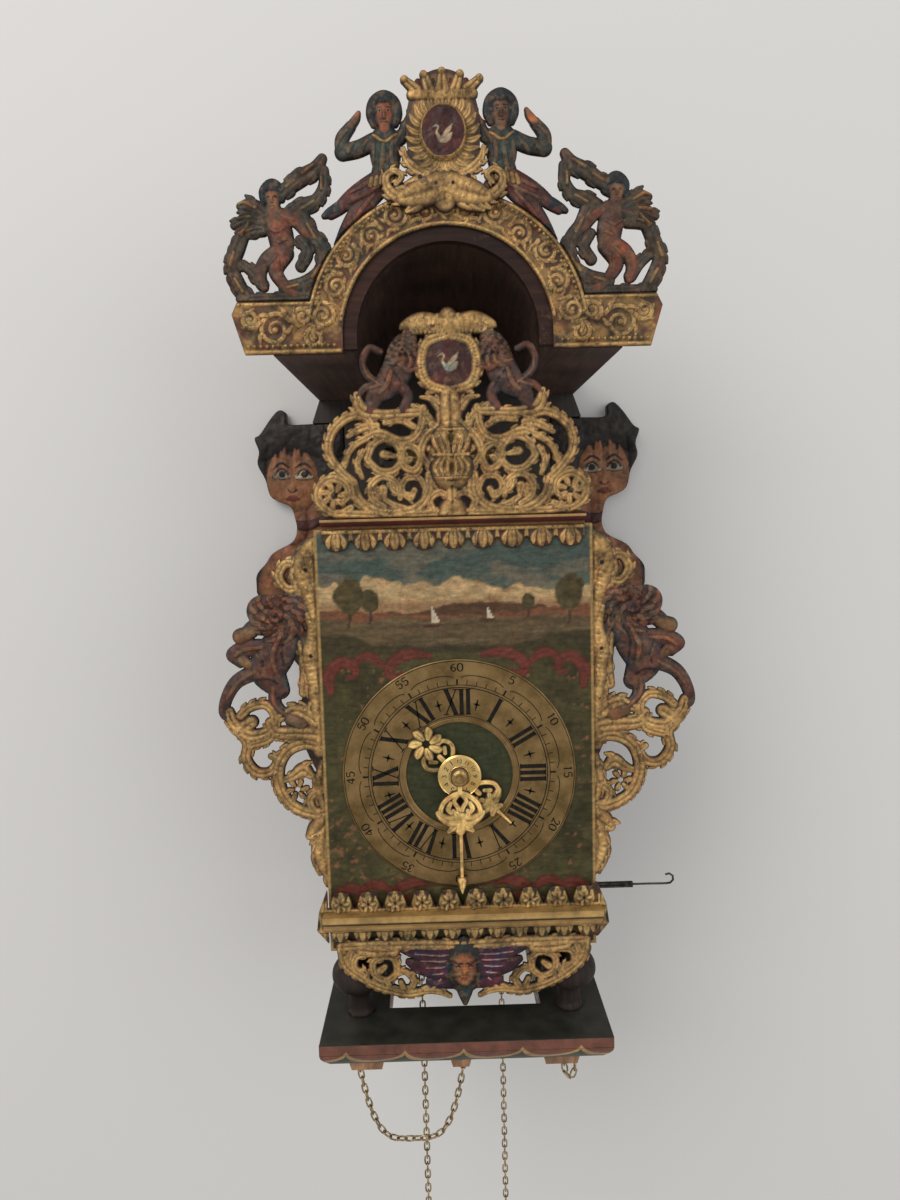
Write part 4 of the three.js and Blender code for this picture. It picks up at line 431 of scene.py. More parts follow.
class Field:
    """A grid over a casting: inside (millimetres within the outline), height, paint and gilding."""

    def __init__(self, low, high, cell):
        self.cell = cell
        self.x, self.z = np.meshgrid(np.arange(low[0], high[0] + cell, cell),
                                     np.arange(low[1], high[1] + cell, cell))
        self.inside = np.full(self.x.shape, -99.0)
        self.height = np.full(self.x.shape, -1.0)
        self.paint = np.zeros((*self.x.shape, 3))
        self.gilt = np.zeros(self.x.shape)

    def lay(self, where, inside, height, paint, gilt):
        """Adds a layer: it shows where it stands higher than what is there."""
        old = self.height[where]
        wins = (height > old) & (inside > -2 * self.cell)
        self.inside[where] = np.maximum(self.inside[where], inside)
        self.height[where] = np.where(wins, height, old)
        self.paint[where] = np.where(wins[..., None], paint, self.paint[where])
        self.gilt[where] = np.where(wins, gilt, self.gilt[where])

    def stroke(self, line, paint, ground=brown_ground, gilt=1.0, rise=1.0, vein=0.25, ribs=0.0,
               rib_pitch=4.0, on=False):
        """line holds (x, z, width) along a smooth curve. Across it the surface is a half round,
        with a groove along the middle and shallow ribs along its length. With on, the stroke lies on
        what is there already and does not widen the outline."""
        line = np.asarray(line, float)
        reach = line[:, 2].max() / 2 + 2 * self.cell
        cols = (self.x[0] > line[:, 0].min() - reach) & (self.x[0] < line[:, 0].max() + reach)
        rows = (self.z[:, 0] > line[:, 1].min() - reach) & (self.z[:, 0] < line[:, 1].max() + reach)
        where = np.ix_(rows, cols)
        x, z = self.x[where], self.z[where]
        best = np.full(x.shape, -99.0)
        share, half, run = np.ones(x.shape), np.full(x.shape, 0.1), np.zeros(x.shape)
        steps = np.hypot(*np.diff(line[:, :2], axis=0).T)
        before = np.concatenate([[0], np.cumsum(steps)])
        for k in range(len(line) - 1):
            dx, dz = line[k + 1, :2] - line[k, :2]
            t = np.clip(((x - line[k, 0]) * dx + (z - line[k, 1]) * dz) / (dx * dx + dz * dz + 1e-9), 0, 1)
            away = np.hypot(x - line[k, 0] - t * dx, z - line[k, 1] - t * dz)
            radius = (line[k, 2] + t * (line[k + 1, 2] - line[k, 2])) / 2
            closer = radius - away > best
            best = np.where(closer, radius - away, best)
            share = np.where(closer, away / radius, share)
            half = np.where(closer, radius, half)
            run = np.where(closer, before[k] + t * steps[k], run)
        dome = np.sqrt(np.clip(1 - share**2, 0, 1))
        lift = rise * half**0.7 * dome * (1 - vein * np.exp(-((share / 0.22) ** 2)))
        lift *= 1 - ribs * (0.5 + 0.5 * np.cos(2 * np.pi * run / rib_pitch))
        # Towards the edges and along the vein the colour turns to the ground: partly the ground where gilding
        # is worn, partly painted shade on the slopes and in the groove.
        hollow = np.clip((share - 0.45) / 0.45, 0, 1) ** 1.4
        hollow = np.maximum(hollow, vein * 1.6 * np.exp(-((share / 0.12) ** 2)))
        colour = np.asarray(paint) * (1 - hollow[..., None]) + np.asarray(ground) * hollow[..., None]
        if on:
            best = np.minimum(best, self.inside[where])
            lift = np.where(best > 0, lift + np.maximum(self.height[where], 0), -1)
        self.lay(where, best, lift, colour, gilt * (1 - hollow))

    def plate(self, inside, height, paint, gilt=0.0):
        """A flat area under the strokes, where inside is positive."""
        self.lay(np.s_[:, :], inside, np.where(inside > 0, height, 0),
                 np.broadcast_to(paint, self.paint.shape), np.broadcast_to(gilt, self.gilt.shape))


def within(outline, x, z):
    """Signed distance to a closed outline: positive inside it."""
    outline = np.asarray(outline, float)
    away = np.full(x.shape, 1e9)
    odd = np.zeros(x.shape, bool)
    for (ax, az), (bx, bz) in zip(outline, np.roll(outline, -1, axis=0)):
        dx, dz = bx - ax, bz - az
        t = np.clip(((x - ax) * dx + (z - az) * dz) / (dx * dx + dz * dz + 1e-12), 0, 1)
        away = np.minimum(away, np.hypot(x - ax - t * dx, z - az - t * dz))
        crosses = (az > z) != (bz > z)
        odd ^= crosses & (x < ax + (z - az) * dx / (dz if dz else 1e-12))
    return np.where(odd, away, -away)


def blurred(values, times=1):
    """Each point takes a share of its neighbours' values, which takes the edge off creases."""
    for _ in range(times):
        padded = np.pad(values, 1, mode="edge")
        values = (padded[1:-1, 1:-1] * 4 + padded[:-2, 1:-1] + padded[2:, 1:-1]
                  + padded[1:-1, :-2] + padded[1:-1, 2:]) / 8
    return values


# %% Age and painted shade on the paint
def aged(field, height, patches):
    """Painted shade darkens the paint and dulls the gilding where the relief is lower than its
    surroundings. Paint that isn't gilded is patched: redder here, bluer there, and rubbed to a pale
    brown in spots."""
    x, z = field.x, field.z
    # Painted shade: the further the relief lies below its blurred surroundings, the darker it is painted.
    painted_recess_shade = np.clip((blurred(height, 30) - height) / 1.1, 0, 1)[..., None]
    painted = np.clip(1 - field.gilt, 0, 1)[..., None] * patches
    paint = field.paint
    for cell, seed, edge, tint in ((9, 101, 0.52, (1.3, 0.78, 0.68)), (7, 131, 0.54, (0.55, 0.9, 1.15)),
                                   (5, 151, 0.6, (1.5, 1.5, 1.2))):
        share = soft_step(layered(x, z, cell, seed), edge, 0.16)[..., None] * painted * 0.75
        paint = paint * (1 - share) + paint * tint * share
    rubbed = soft_step(layered(x, z, 3.4, 171), 0.64, 0.1)[..., None] * painted
    paint = paint * (1 - 0.5 * rubbed) + np.array((0.15, 0.085, 0.04)) * 0.5 * rubbed
    streaks = 0.7 + 0.6 * layered(x, z, 2.6, 191)[..., None]
    return paint * streaks * (1 - 0.72 * painted_recess_shade), field.gilt * (1 - 0.8 * painted_recess_shade[..., 0])


# %% From the field to a closed casting
bare_back = (0.034, 0.023, 0.016)


def casting(name, field, back_y, edge, finish, replaces, body="clock", turn=None, lumps=0.7,
            patches=1.0):
    """Cells whose middle is inside the outline are kept. Points on their border slide on to the
    outline, the front stands edge + height before the back, and a wall closes the border."""
    inside, cell = field.inside, field.cell
    middle = (inside[:-1, :-1] + inside[1:, :-1] + inside[:-1, 1:] + inside[1:, 1:]) / 4
    keep = middle > 0
    for _ in range(3):
        rising = keep[:-1, :-1] & keep[1:, 1:] & ~keep[:-1, 1:] & ~keep[1:, :-1]
        falling = keep[:-1, 1:] & keep[1:, :-1] & ~keep[:-1, :-1] & ~keep[1:, 1:]
        keep[:-1, 1:] |= rising
        keep[1:, 1:] |= falling
    around = np.zeros(inside.shape, int)
    for rows in (slice(None, -1), slice(1, None)):
        for cols in (slice(None, -1), slice(1, None)):
            around[rows, cols] += keep
    used, border = around > 0, (around > 0) & (around < 4)
    slope_z, slope_x = np.gradient(inside, cell)
    steep = slope_x**2 + slope_z**2 + 1e-6
    slide = np.where(border, inside / steep, 0)
    x = field.x - np.clip(slide * slope_x, -0.6 * cell, 0.6 * cell)
    z = field.z - np.clip(slide * slope_z, -0.6 * cell, 0.6 * cell)
    uneven = 0.5 + lumps * (layered(field.x, field.z, 6, 5) - 0.5)
    height = np.where(border, 0, blurred(np.maximum(field.height, 0) * (0.5 + uneven)))
    count = int(used.sum())
    number = np.full(inside.shape, -1)
    number[used] = np.arange(count)
    depth = edge + height
    front = np.stack([x, -depth, z], -1)[used]
    rear = np.stack([x, 0 * x, z], -1)[used]
    a, b = number[:-1, :-1][keep], number[:-1, 1:][keep]
    c, d = number[1:, 1:][keep], number[1:, :-1][keep]
    faces = [np.stack([a, b, c, d], -1), np.stack([d, c, b, a], -1) + count]
    empty = np.pad(~keep, 1, constant_values=True)
    for first, second, gone in ((a, b, empty[:-2, 1:-1]), (b, c, empty[1:-1, 2:]),
                                (c, d, empty[2:, 1:-1]), (d, a, empty[1:-1, :-2])):
        bare = gone[keep]
        faces.append(np.stack([second[bare], first[bare], first[bare] + count, second[bare] + count], -1))
    points = np.concatenate([front, rear])
    if turn is not None:
        points = points @ np.asarray(turn).T
    points = points + (0, back_y, 0) if np.isscalar(back_y) else points + back_y
    piece = new_piece(name, points * mm, np.concatenate(faces), body, replaces)
    tone, leaf = aged(field, height, patches)
    paint = np.concatenate([tone[used], leaf[used][:, None]], 1)
    both = np.concatenate([paint, np.broadcast_to((*bare_back, 0), paint.shape)])
    colours = piece.data.color_attributes.new("paint", "FLOAT_COLOR", "POINT")
    colours.data.foreach_set("color", both.astype(np.float32).ravel())
    dress(finish, piece)


# %% [markdown]
# The casting's finish reads that paint. Where the alpha says gilded, the surface is metal; noise
# rubs the gilding off in spots, and dirt darkens it in broad clouds.

# %% Finish of painted and gilded castings
def carved_finish(name, bright=1.0, wear=0.46):
    """Metal where the alpha times a worn noise says gilded, else paint or the bare ground."""
    n = Finish(name)
    attribute = n.tree.nodes.new("ShaderNodeAttribute")
    attribute.attribute_name = "paint"
    paint, gilt = attribute.outputs["Color"], attribute.outputs["Alpha"]
    dirt = n.ramp(n.noise(55, 8, 0.72), (0.34, grey(0.25)), (0.5, grey(0.85)), (0.66, grey(1.4 * bright)))
    leaf = n.ramp(n.noise(210, 6, 0.7), (wear - 0.1, grey(0.0)), (wear + 0.03, grey(1)))
    kept = n.math("MULTIPLY", gilt, leaf)
    bare = n.ramp(n.noise(120, 3), (0.4, (0.055, 0.028, 0.016)), (0.62, (0.22, 0.13, 0.06)))
    worn = n.mix(n.math("MULTIPLY", gilt, n.math("SUBTRACT", 1.0, leaf)), paint, bare)
    n.set(Base_Color=n.mix(1.0, worn, dirt, "MULTIPLY"), Metallic=n.math("MULTIPLY", kept, 0.45),
          Roughness=n.ramp(n.noise(120, 3), (0.3, grey(0.40)), (0.7, grey(0.66))), Specular_IOR_Level=0.3,
          Normal=n.bump(n.noise(600, 5, 0.65), 0.32, 0.0008))
    return n


carved = carved_finish("painted_casting")


# %% [markdown]
# Small leaves grow along the scrolls, and rosettes sit in them. Both are strokes again, worked out
# from the line or the point that they sit on, so that no leaf has to be placed by hand.

# %% Leaves, strokes from tables and rosettes
def dot(x, z, width):
    """A stroke so short that it is a round spot."""
    return [(x, z, width), (x + 0.1, z, width)]


def plain(paint, ground=dark_paint, **more):
    """The look of a painted stroke, with no gilding and no vein."""
    return dict(paint=paint, ground=ground, gilt=0, vein=0, **more)


def leaflets(line, pitch, reach):
    """Short pointed leaves along the outer side of a bent line, leaning the way that it runs."""
    line = np.asarray(line, float)
    steps = np.hypot(*np.diff(line[:, :2], axis=0).T)
    run = np.concatenate([[0], np.cumsum(steps)])
    out = []
    for k, at in enumerate(np.arange(0.6 * pitch, run[-1] - 0.3 * pitch, pitch)):
        here, back, ahead = (np.array([np.interp(v, run, line[:, c]) for c in range(3)])
                             for v in (at, at - 2, at + 2))
        t, bend = ahead[:2] - back[:2], (ahead[:2] + back[:2]) / 2 - here[:2]
        t = t / (np.hypot(*t) + 1e-9)
        side = np.array((-t[1], t[0]))
        side *= -np.sign(side @ bend) if abs(side @ bend) > 0.02 else (-1) ** k
        length = here[2] * 0.5 + reach
        mid = here[:2] + (t * 0.35 + side * 0.75) * length * 0.7
        tip = here[:2] + (t * 0.95 + side * 0.75) * length
        out.append(smooth_line([(*here[:2], here[2] * 0.5), (*mid, here[2] * 0.55), (*tip, here[2] * 0.2)],
                               4))
    return out


def read_strokes(text):
    """Strokes written as text: a semicolon ends a stroke, a comma ends a point, and each point is
    how far across, how far up, and how wide."""
    return [[tuple(map(float, point.split())) for point in stroke.split(",")] for stroke in text.split(";")]


def lay_strokes(field, shares, height, foot, mirror=(1, -1), swell=1.0, leaf=0.0, **look):
    """Stroke tables are in hundredths of the casting's height, from its foot. Each is laid as a
    smooth line in millimetres, once for each side of the mirror. With leaf, small leaves of that
    reach grow along it."""
    unit = height / 100
    for stroke in read_strokes(shares) if isinstance(shares, str) else shares:
        for s in mirror:
            line = smooth_line([(s * (foot[0] + x * unit), foot[1] + z * unit, w * unit * swell)
                                for x, z, w in stroke], 6)
            field.stroke(line, **look)
            for small in leaflets(line, 6.5, leaf) if leaf else ():
                field.stroke(small, **look)


def rosette(field, x, z, radius, petals, eye, **look):
    """Petals round a dark eye, painted shade in place of a pierced centre, if eye isn't 0:
    each is a short stroke, widest past its middle.
    """
    for a in np.linspace(0, 2 * np.pi, petals, endpoint=False):
        line = [(x + r * radius * math.cos(a + bend), z + r * radius * math.sin(a + bend), w * radius)
                for r, bend, w in ((0.35, 0, 0.3), (0.7, 0.1, 0.55), (0.92, 0.2, 0.25))]
        field.stroke(smooth_line(line, 4), **look)
    # The dark eye is painted shade that stands in for a pierced centre.
    if eye:
        field.stroke(dot(x, z, eye), **plain(dark_paint, rise=0.15, on=True))


# %% [markdown]
# ## The crest
# Over the dial stands a lead casting: two lions climb on scrolls beside a crowned medallion with a
# swan. It could be sculpted, but strokes were chosen, because one short table then gives both the
# outline and the relief. The tables give the strokes of each casting as (across, up, width), in
# hundredths of its height, and only the right half where the casting is mirrored.

# %% Strokes of the crest
crest_scrolls = read_strokes("""
    0 1.9 4.3, 30.4 1.4 3.9, 56.5 2.8 3.9;
    49.8 5.6 2.9, 57 2.4 3.4, 64.8 7.5 3.9, 65.2 15.1 3.9, 59 19.8 3.9, 52.2 16.9 3.4, 51.2 10.8 2.9,
    56.1 8 2.4, 59.5 11.8 3.4;
    48.3 17.9 3.9, 54.6 24 3.9, 59.5 32 3.9, 58.5 40.5 3.9, 53.2 47.1 3.9, 45.9 49.9 3.9,
    39.6 47.5 3.4, 38.2 41.9 2.4;
    40.6 30.1 2.9, 37.7 36.2 3.4, 31.4 38.6 3.9, 25.6 34.8 3.9, 24.2 28.2 3.4, 28.5 23.1 3.4,
    35.3 23.1 3.4, 40.6 28.2 3.4, 40.6 30.1 2.9;
    25.6 30.1 2.9, 21.8 34.8 3.4, 16.9 32.9 3.4, 15 28.2 3.4, 17.9 23.1 3.4, 22.7 24.5 3.4,
    25.6 30.1 2.9;
    15 50.8 4.3, 25.6 50.4 3.9, 35.3 50.4 4.3, 43 52.7 5.8, 45.4 60.2 2.4;
    11.1 20.7 3.4, 12.1 10.8 3.9, 19.3 3.8 4.3, 34.3 2.4 4.8, 45 8.5 4.3, 48.3 17.9 3.9;
    13.1 13.2 2.4, 15.9 18.8 2.9, 22.2 18.8 2.9, 24.6 13.6 2.9, 20.8 9.4 2.9, 18.4 13.2 2.9;
    25.6 9.4 2.4, 27.1 16.9 2.9, 33.8 20.2 3.4, 39.6 16 3.4, 39.1 9.4 2.9, 33.4 5.6 2.4;
    33.4 10.4 2.4, 33.8 14.1 4.3;
    0 58.4 7.7, 0 49.9 9.7, 0 43.3 7.7, 0 35.3 16.4, 0 29.2 6.8, 0 23.5 17.4, 0 16.9 6.8, 0 6.6 5.8,
    0 1.9 12.6;
    0 37.7 4.8, 6.8 41.9 4.3, 12.6 37.7 3.9, 14.5 30.6 3.4, 9.7 24.5 2.9, 4.3 27.3 2.4;
    0 9.4 2.9, 6.3 11.8 3.4, 11.1 8 3.4, 9.2 2.4 3.4;
    13.1 52.7 3.4, 14.5 43.8 3.4, 18.4 38.6 3.4, 25.6 37.2 4.3, 34.3 40.9 4.3, 40.6 39.1 3.4,
    47.9 34.8 2.9, 52.7 27.3 2.4;
    0 60.7 3.9, 10.2 64 4.3, 13.5 73.9 4.3, 10.2 83.8 4.3, 0 87.1 4.3""")
crest_oval = read_strokes("""
    0 66 20, 0 73.5 25, 0 81 20;
    0 60.7 3.9, 10.2 64 4.3, 13.5 73.9 4.3, 10.2 83.8 4.3, 0 87.1 4.3""")
crest_crown = read_strokes("""
    0 90 9, 0 96 9;
    0 91 9, 12 93 11, 20 92 6, 22.5 91 2.4""")
crest_lion = read_strokes("""
    19.3 85.7 7.7, 22.2 80 12.6, 24.6 72.5 13.5, 29 65 12.6, 35.8 59.3 8.2, 39.1 51.8 5.3;
    23.7 77.2 5.8, 17.4 72.5 4.3, 13.1 73.4 3.4;
    25.6 65 7.7, 20.3 59.3 4.8, 22.7 52.2 4.8;
    32.4 64 5.8, 40.6 63.1 3.9, 44.5 59.3 2.9;
    31.4 64 2.9, 39.1 68.7 3.4, 41.6 76.2 3.4, 38.2 81.9 3.4, 32.9 80 2.9""")
swan_strokes = read_strokes("""
    -3.5 3 2, -1 1 7, 3 2 7.5, 6.5 5 1.5;
    -3 2 4, -5 6 2.4, -3.6 9.4 2, -5.4 11 2.6, -7.8 9.8 0.8;
    0 3 4, 4 7.5 5, 7 12 1""")

# %% Coat, mane and face of a lion
fur = dict(paint=lion_paint, ground=slate, gilt=0.12, vein=0)
shade = plain((0.020, 0.011, 0.011), rise=0.02, on=True)
shine = dict(paint=(0.17, 0.085, 0.045), ground=(0.05, 0.02, 0.018), gilt=0.3, vein=0.2, rise=0.75, on=True)


def mane(x, z, reach, size):
    """Three rings of curved locks round a head, each lock leaning the same way."""
    return [[(x + (r + out * size) * math.cos(a + lean), z + (r + out * size) * math.sin(a + lean), w * size)
             for out, lean, w in ((0, 0, 0.7), (0.5, 0.16, 0.62), (1, 0.5, 0.2))]
            for ring, r in enumerate(np.array((0.36, 0.66, 0.96)) * reach)
            for a in np.linspace(0, 2 * np.pi, 7 + 2 * ring, endpoint=False) + 0.3 * ring]


def lion_face(x, z, size):
    """Face, muzzle and two brows, then eyes, nose and mouth, round the point between the eyes."""
    raised = read_strokes("0 0.3 1.35, 0 -0.6 1.35; 0 -1 0.9, 0 -1.05 0.9")
    marks = read_strokes("0 -0.45 0.3, 0 -0.6 0.42; -0.45 -1 0.12, 0 -1.2 0.2, 0.45 -1 0.12")
    for side in (1, -1):
        raised.append([(side * 0.15, 0.25, 0.2), (side * 0.45, 0.5, 0.36), (side * 0.75, 0.2, 0.16)])
        marks.append([(side * 0.36, 0, 0.3), (side * 0.42, 0, 0.3)])
    return [[[(x + a * size, z + b * size, w * size) for a, b, w in stroke] for stroke in strokes]
            for strokes in (raised, marks)]


# %% Lions of the crest
crest = Field((-104, 398.6), (104, 551), 0.72)
crest_foot = 399.7
on_crest = partial(lay_strokes, crest, height=150, foot=(0, crest_foot))
on_crest(crest_lion, swell=1.12, rise=1.0, **fur)
on_crest(mane(22.6, 80.5, 7, 3.4), **shine)
raised, marks = lion_face(22.2, 81.5, 3.3)
on_crest(raised, **(shine | dict(paint=(0.135, 0.060, 0.036), vein=0)))
on_crest(marks, **shade)
on_crest("""
    18.6 80.6 1.3, 18.8 80.6 1.3; 15.8 76.4 1, 18.6 77.4 1; 27 70 1, 24 66 1, 21.6 62 1;
    31 66 1, 28.6 61 1""", **shade)
on_crest("""
    24 73 2, 19.6 70.4 2.6, 14 71.6 2; 28 70 2.4, 30 64 3, 34 60 2; 34 64 2, 40 62.4 2;
    33 63.6 1.4, 40 69.4 1.6, 41 76 1.6""", **shine)

# %% Scrollwork of the crest
on_crest(crest_scrolls, swell=1.3, leaf=1.6, paint=gold, ribs=0.1, rib_pitch=3.5, vein=0.4)
filling = read_strokes("""
    20 11 3, 28 13 4, 30 18 3;
    53 24 3, 50 32 4, 46 36 3;
    44 20 3, 46 27 4, 43 33 3;
    18 44 4, 24 47 4, 32 46 3;
    36 45 4, 43 44 5, 50 40 3;
    8 44 5, 12 50 4, 18 54 3;
    6 18 4, 12 16 4, 14 9 3;
    58 10 3, 61 13 4;
    28 30 3, 33 31 5;
    19 29 2, 21 28 5;
    7 31 4, 10 33 5;
    5 53 6, 9 57 4, 14 58 2;
    40 12 3, 36 14 4, 37 9 3;
    50 14 3, 47 9 4, 42 5 4;
    22 4 4, 28 6 4, 33 9 3""")
on_crest(filling, leaf=1.2, paint=gold, ribs=0.1, vein=0.35, rise=0.9)
on_crest("0 36 15, 0 34 15; 3 41 7, 9 45 5; 3 22 10, 8 19 5", paint=gold, ribs=0.35, rib_pitch=3, vein=0.2,
         rise=1.1)

# %% Medallion, crown and vase of the crest
on_crest(crest_oval[:1], mirror=(1,), rise=0.3, **plain(maroon, maroon))
swan = plain(cream, (0.2, 0.15, 0.10), on=True, mirror=(1,))
lay_strokes(crest, swan_strokes, 96, (0, 506), swell=0.8, rise=0.3, **swan)
on_crest(crest_oval[1:], swell=1.15, paint=gold, ribs=0.35, rib_pitch=2.6, rise=1.3)
on_crest(crest_crown, paint=gold, ribs=0.3, rib_pitch=4, vein=0)
on_crest([[(4.4 * k, 88.6, 2), (4.6 * k, 92, 3.4), (4.9 * k, 96.6 - 0.22 * k * k, 2.6)] for k in range(5)],
         paint=gold, vein=0, rise=2.0)
on_crest("0 88.4 2.2, 21 88.6 2.2", paint=gold, ribs=0.5, rib_pitch=3, vein=0, rise=2.2)
for sign in (1, -1):
    rosette(crest, sign * 87, 417, 10.5, 7, 5, paint=gold, rise=1.3, vein=0.3)
    rosette(crest, sign * 58, 457, 6.5, 6, 3, paint=gold, rise=1.4, vein=0.3)
gadroons = [[(1.6 + 2.6 * k, 20, 1.6), (2 + 3.2 * k, 24, 2.2), (1.4 + 2 * k, 28.4, 1.4)] for k in range(3)]
cup_leaves = [[(1 + 2.4 * k, 31, 1.6), (1.6 + 3.2 * k, 35, 2.6), (2.4 + 3.4 * k, 39.6, 1.2)]
              for k in range(3)]
on_crest(gadroons + cup_leaves, paint=gold, vein=0.4, rise=1.5, on=True)
on_crest("0 29.6 2.2, 9 30 2; 0 42 2, 6 42 1.8; 0 18.4 2, 7 18.6 1.8", paint=gold, ribs=0.5, rib_pitch=2.8,
         vein=0, rise=1.8, on=True)
crest.inside = np.minimum(crest.inside, crest.z - crest_foot)
casting("carved_crest", crest, back_y=-247.7, edge=1.6, finish=carved, replaces=["crest_fret"])
print("tallest relief of the crest:", round(float(crest.height.max()), 1), "mm")

# %% [markdown]
# ## The side wings
# A tall casting is nailed to each edge of the dial: a lion over scrolls, flowers and a drop of
# husks. Left and right are cast from one pattern on the real clock, so one table gives both.

# %% Strokes of the wings
wing_scrolls = read_strokes("""
    0.3 101 1.9, 0.5 75.7 2.2, 0.5 46.9 2.2, 0.5 23.9 2.2, 0.5 0.3 1.4;
    0.8 99.9 2.7, 3.5 96.4 6, 4.3 91.2 8.1, 2.7 84.3 6.5, 1.6 78 3.8;
    6 87.8 2.2, 10 86.3 2.4, 12.5 89.8 2.4, 10.6 93.3 2.4, 7.6 92.7 2.2, 8.1 89.8 2.4;
    4.9 81.5 3.3, 2.7 74.3 4.9, 3.3 67.1 7.1, 2.2 60.2 6.5, 2.7 52.7 4.9, 1.6 46.3 3.8;
    0.8 44.6 3.3, 7.6 45.5 3.8, 14.9 45.8 3.3, 16.8 48.6 2.7;
    25 50.9 2.4, 22.2 53.2 2.4, 17.9 53.8 2.4, 15.5 50.4 2.4, 17.4 46.3 2.7, 22.8 45.2 3.3,
    26.9 48.6 3, 28.2 52.1 2.4;
    26.3 46.9 2.7, 23.6 42.9 2.7, 24.1 38.3 2.7, 21.4 34.5 2.7, 17.6 34.5 2.4, 15.5 37.7 1.9,
    17.1 38.9 1.6;
    16.5 46.9 2.2, 17.4 44 2.4, 22.8 42.3 2.4;
    1.1 40 2.4, 6.5 42.3 3, 11.9 40.6 3, 14.9 36 3, 14.9 30.2 3, 11.9 24.8 2.7, 6 21.9 3, 1.6 22.2 2.4;
    13.6 31.9 1.6, 10.8 33.1 2.7, 8.1 34.8 3.5, 6 33.1 2.2;
    1.4 28.5 2.7, 3.8 28.5 2.4, 6.5 26.2 2.2, 5.4 22.7 2.2, 1.6 22.2 2.7;
    1.6 20.4 3.3, 3.8 17.6 6, 7.1 15.3 2.2;
    2.2 16.4 3.8, 3.3 10.1 5.4, 1.6 3.7 3.8, 0.5 0.3 1.4""")
wing_lion = read_strokes("""
    7.6 81.5 7.1, 10.8 79.7 10.8, 14.1 78.6 12.5, 17.4 80.3 9.2;
    16.3 76.8 7.1, 20.6 75.7 4.3, 22.8 74.3 2.7;
    10.8 75.1 8.1, 14.1 68.8 10.8, 16.8 63.6 10.3, 13.6 57.9 5.4;
    16.8 69.9 5.4, 22.8 69.9 4.9, 26.6 68.2 3.5, 24.4 65.6 2.4;
    19.5 63.6 4.9, 25.5 60.7 4.1, 28.7 56.1 3.5, 29.6 51.5 3, 26.6 50.1 2.7;
    14.1 59.6 4.9, 15.2 54.4 3.5, 11.9 50.4 2.7, 8.7 48.9 2.4;
    8.1 75.7 3.3, 5.4 69.9 2.7, 6 64.2 2.2""")

# %% Husks along the wings
wing_filling = read_strokes("""
    1.5 98 5, 3.5 91 9, 2.5 83 8, 1.5 76 6;
    1.5 74 6, 3 66 8, 2 56 8, 1.5 47 5;
    2 44 6, 3 40 4;
    2 36 4, 3 30 5, 2 24 4;
    1.5 18 5, 3 11 6, 1 3 3;
    4 49 5, 9 52 4, 14 50 3;
    22 49 4, 25 47 4;
    7 57 3, 6 64 4, 7 71 3""")


def field_beside(sign, near, far, low, high, cell):
    """A field on the right (sign 1) or the left (sign -1), from near to far from the middle."""
    left, right = sorted((sign * near, sign * far))
    return Field((left, low), (right, high), cell)


# %% The side wings
sides = (("left", -1), ("right", 1))
wing_foot_x, wing_foot_z, wing_height = 98, 114.5, 271
for side, sign in sides:
    wing = field_beside(sign, 95.5, 186, 113, 392, 0.62)
    on_wing = partial(lay_strokes, wing, height=wing_height, foot=(wing_foot_x, wing_foot_z), mirror=(sign,))
    on_wing(wing_lion, swell=1.0, rise=0.8, **fur)
    on_wing(mane(13.0, 80.2, 6.6, 2.6), **shine)
    raised, marks = lion_face(13.4, 81.2, 3.3)
    on_wing(raised, **(shine | dict(paint=(0.150, 0.064, 0.036), vein=0)))
    on_wing(marks, **shade)
    on_wing("""
        10.4 74 0.7, 12.4 70 0.8, 12 65 0.7; 18 76 0.7, 17.4 72 0.8;
        19.6 70 0.7, 17.8 66 0.8, 18.6 63 0.7; 14 60 0.7, 16.6 61.4 0.8, 20 61 0.7;
        12 57 0.7, 14.4 55.6 0.8""", **shade)
    on_wing("""
        12.6 73.4 1.3, 14.8 68.6 1.8, 14.4 63.6 1.2; 16.6 75.6 1.1, 20.4 75.6 1.4, 22.6 74.2 1.2;
        18 70.4 1.1, 22.8 69.8 1.4, 25.6 68 1; 20.4 63.4 1.1, 25.2 60.4 1.4, 28.4 56 1;
        15.4 58.6 1.1, 15.4 54.4 1.3, 12.2 50.8 1; 8.6 76 1, 6 70 1.1, 6.4 65 0.9""", **shine)
    on_wing(wing_scrolls, swell=1.2, leaf=1.8, paint=gold, ribs=0.14, rib_pitch=3.6, vein=0.4)
    on_wing(wing_filling, leaf=1.6, paint=gold, ribs=0.16, rib_pitch=4, vein=0.4, rise=0.9)
    for x, z, size in ((4.8, 91.6, 10), (4.4, 67.6, 8.5), (10, 29, 9)):
        rosette(wing, sign * (wing_foot_x + x * 2.71), wing_foot_z + z * 2.71, size, 6, 0.35 * size,
                paint=gold, rise=1.2, vein=0.3)
    paws = read_strokes("21 74.6 4, 24 73.4 4.6; 23.6 66.6 3.6, 21.6 65 3; 11 49.6 4, 8 48.4 4.4")
    on_wing(paws, rise=1.2, paint=(0.16, 0.085, 0.040), gilt=0.4, vein=0)
    wing.inside = np.minimum(wing.inside, sign * wing.x - 96.6)
    plate_edge, gap_behind_plate = 105.6, 2.4
    under_plate = sign * wing.x < plate_edge
    wing.height = np.where(under_plate, np.minimum(wing.height, gap_behind_plate), wing.height)
    casting(f"carved_wing_{side}", wing, back_y=-239.2, edge=1.6, finish=carved, replaces=[f"wing_{side}"])

# %% [markdown]
# ## The apron
# Under the dial hangs a child's head with wings between scrolls. The feathers come from a loop,
# because each is the one above it, a little shorter. The face is laid on in flat strokes.

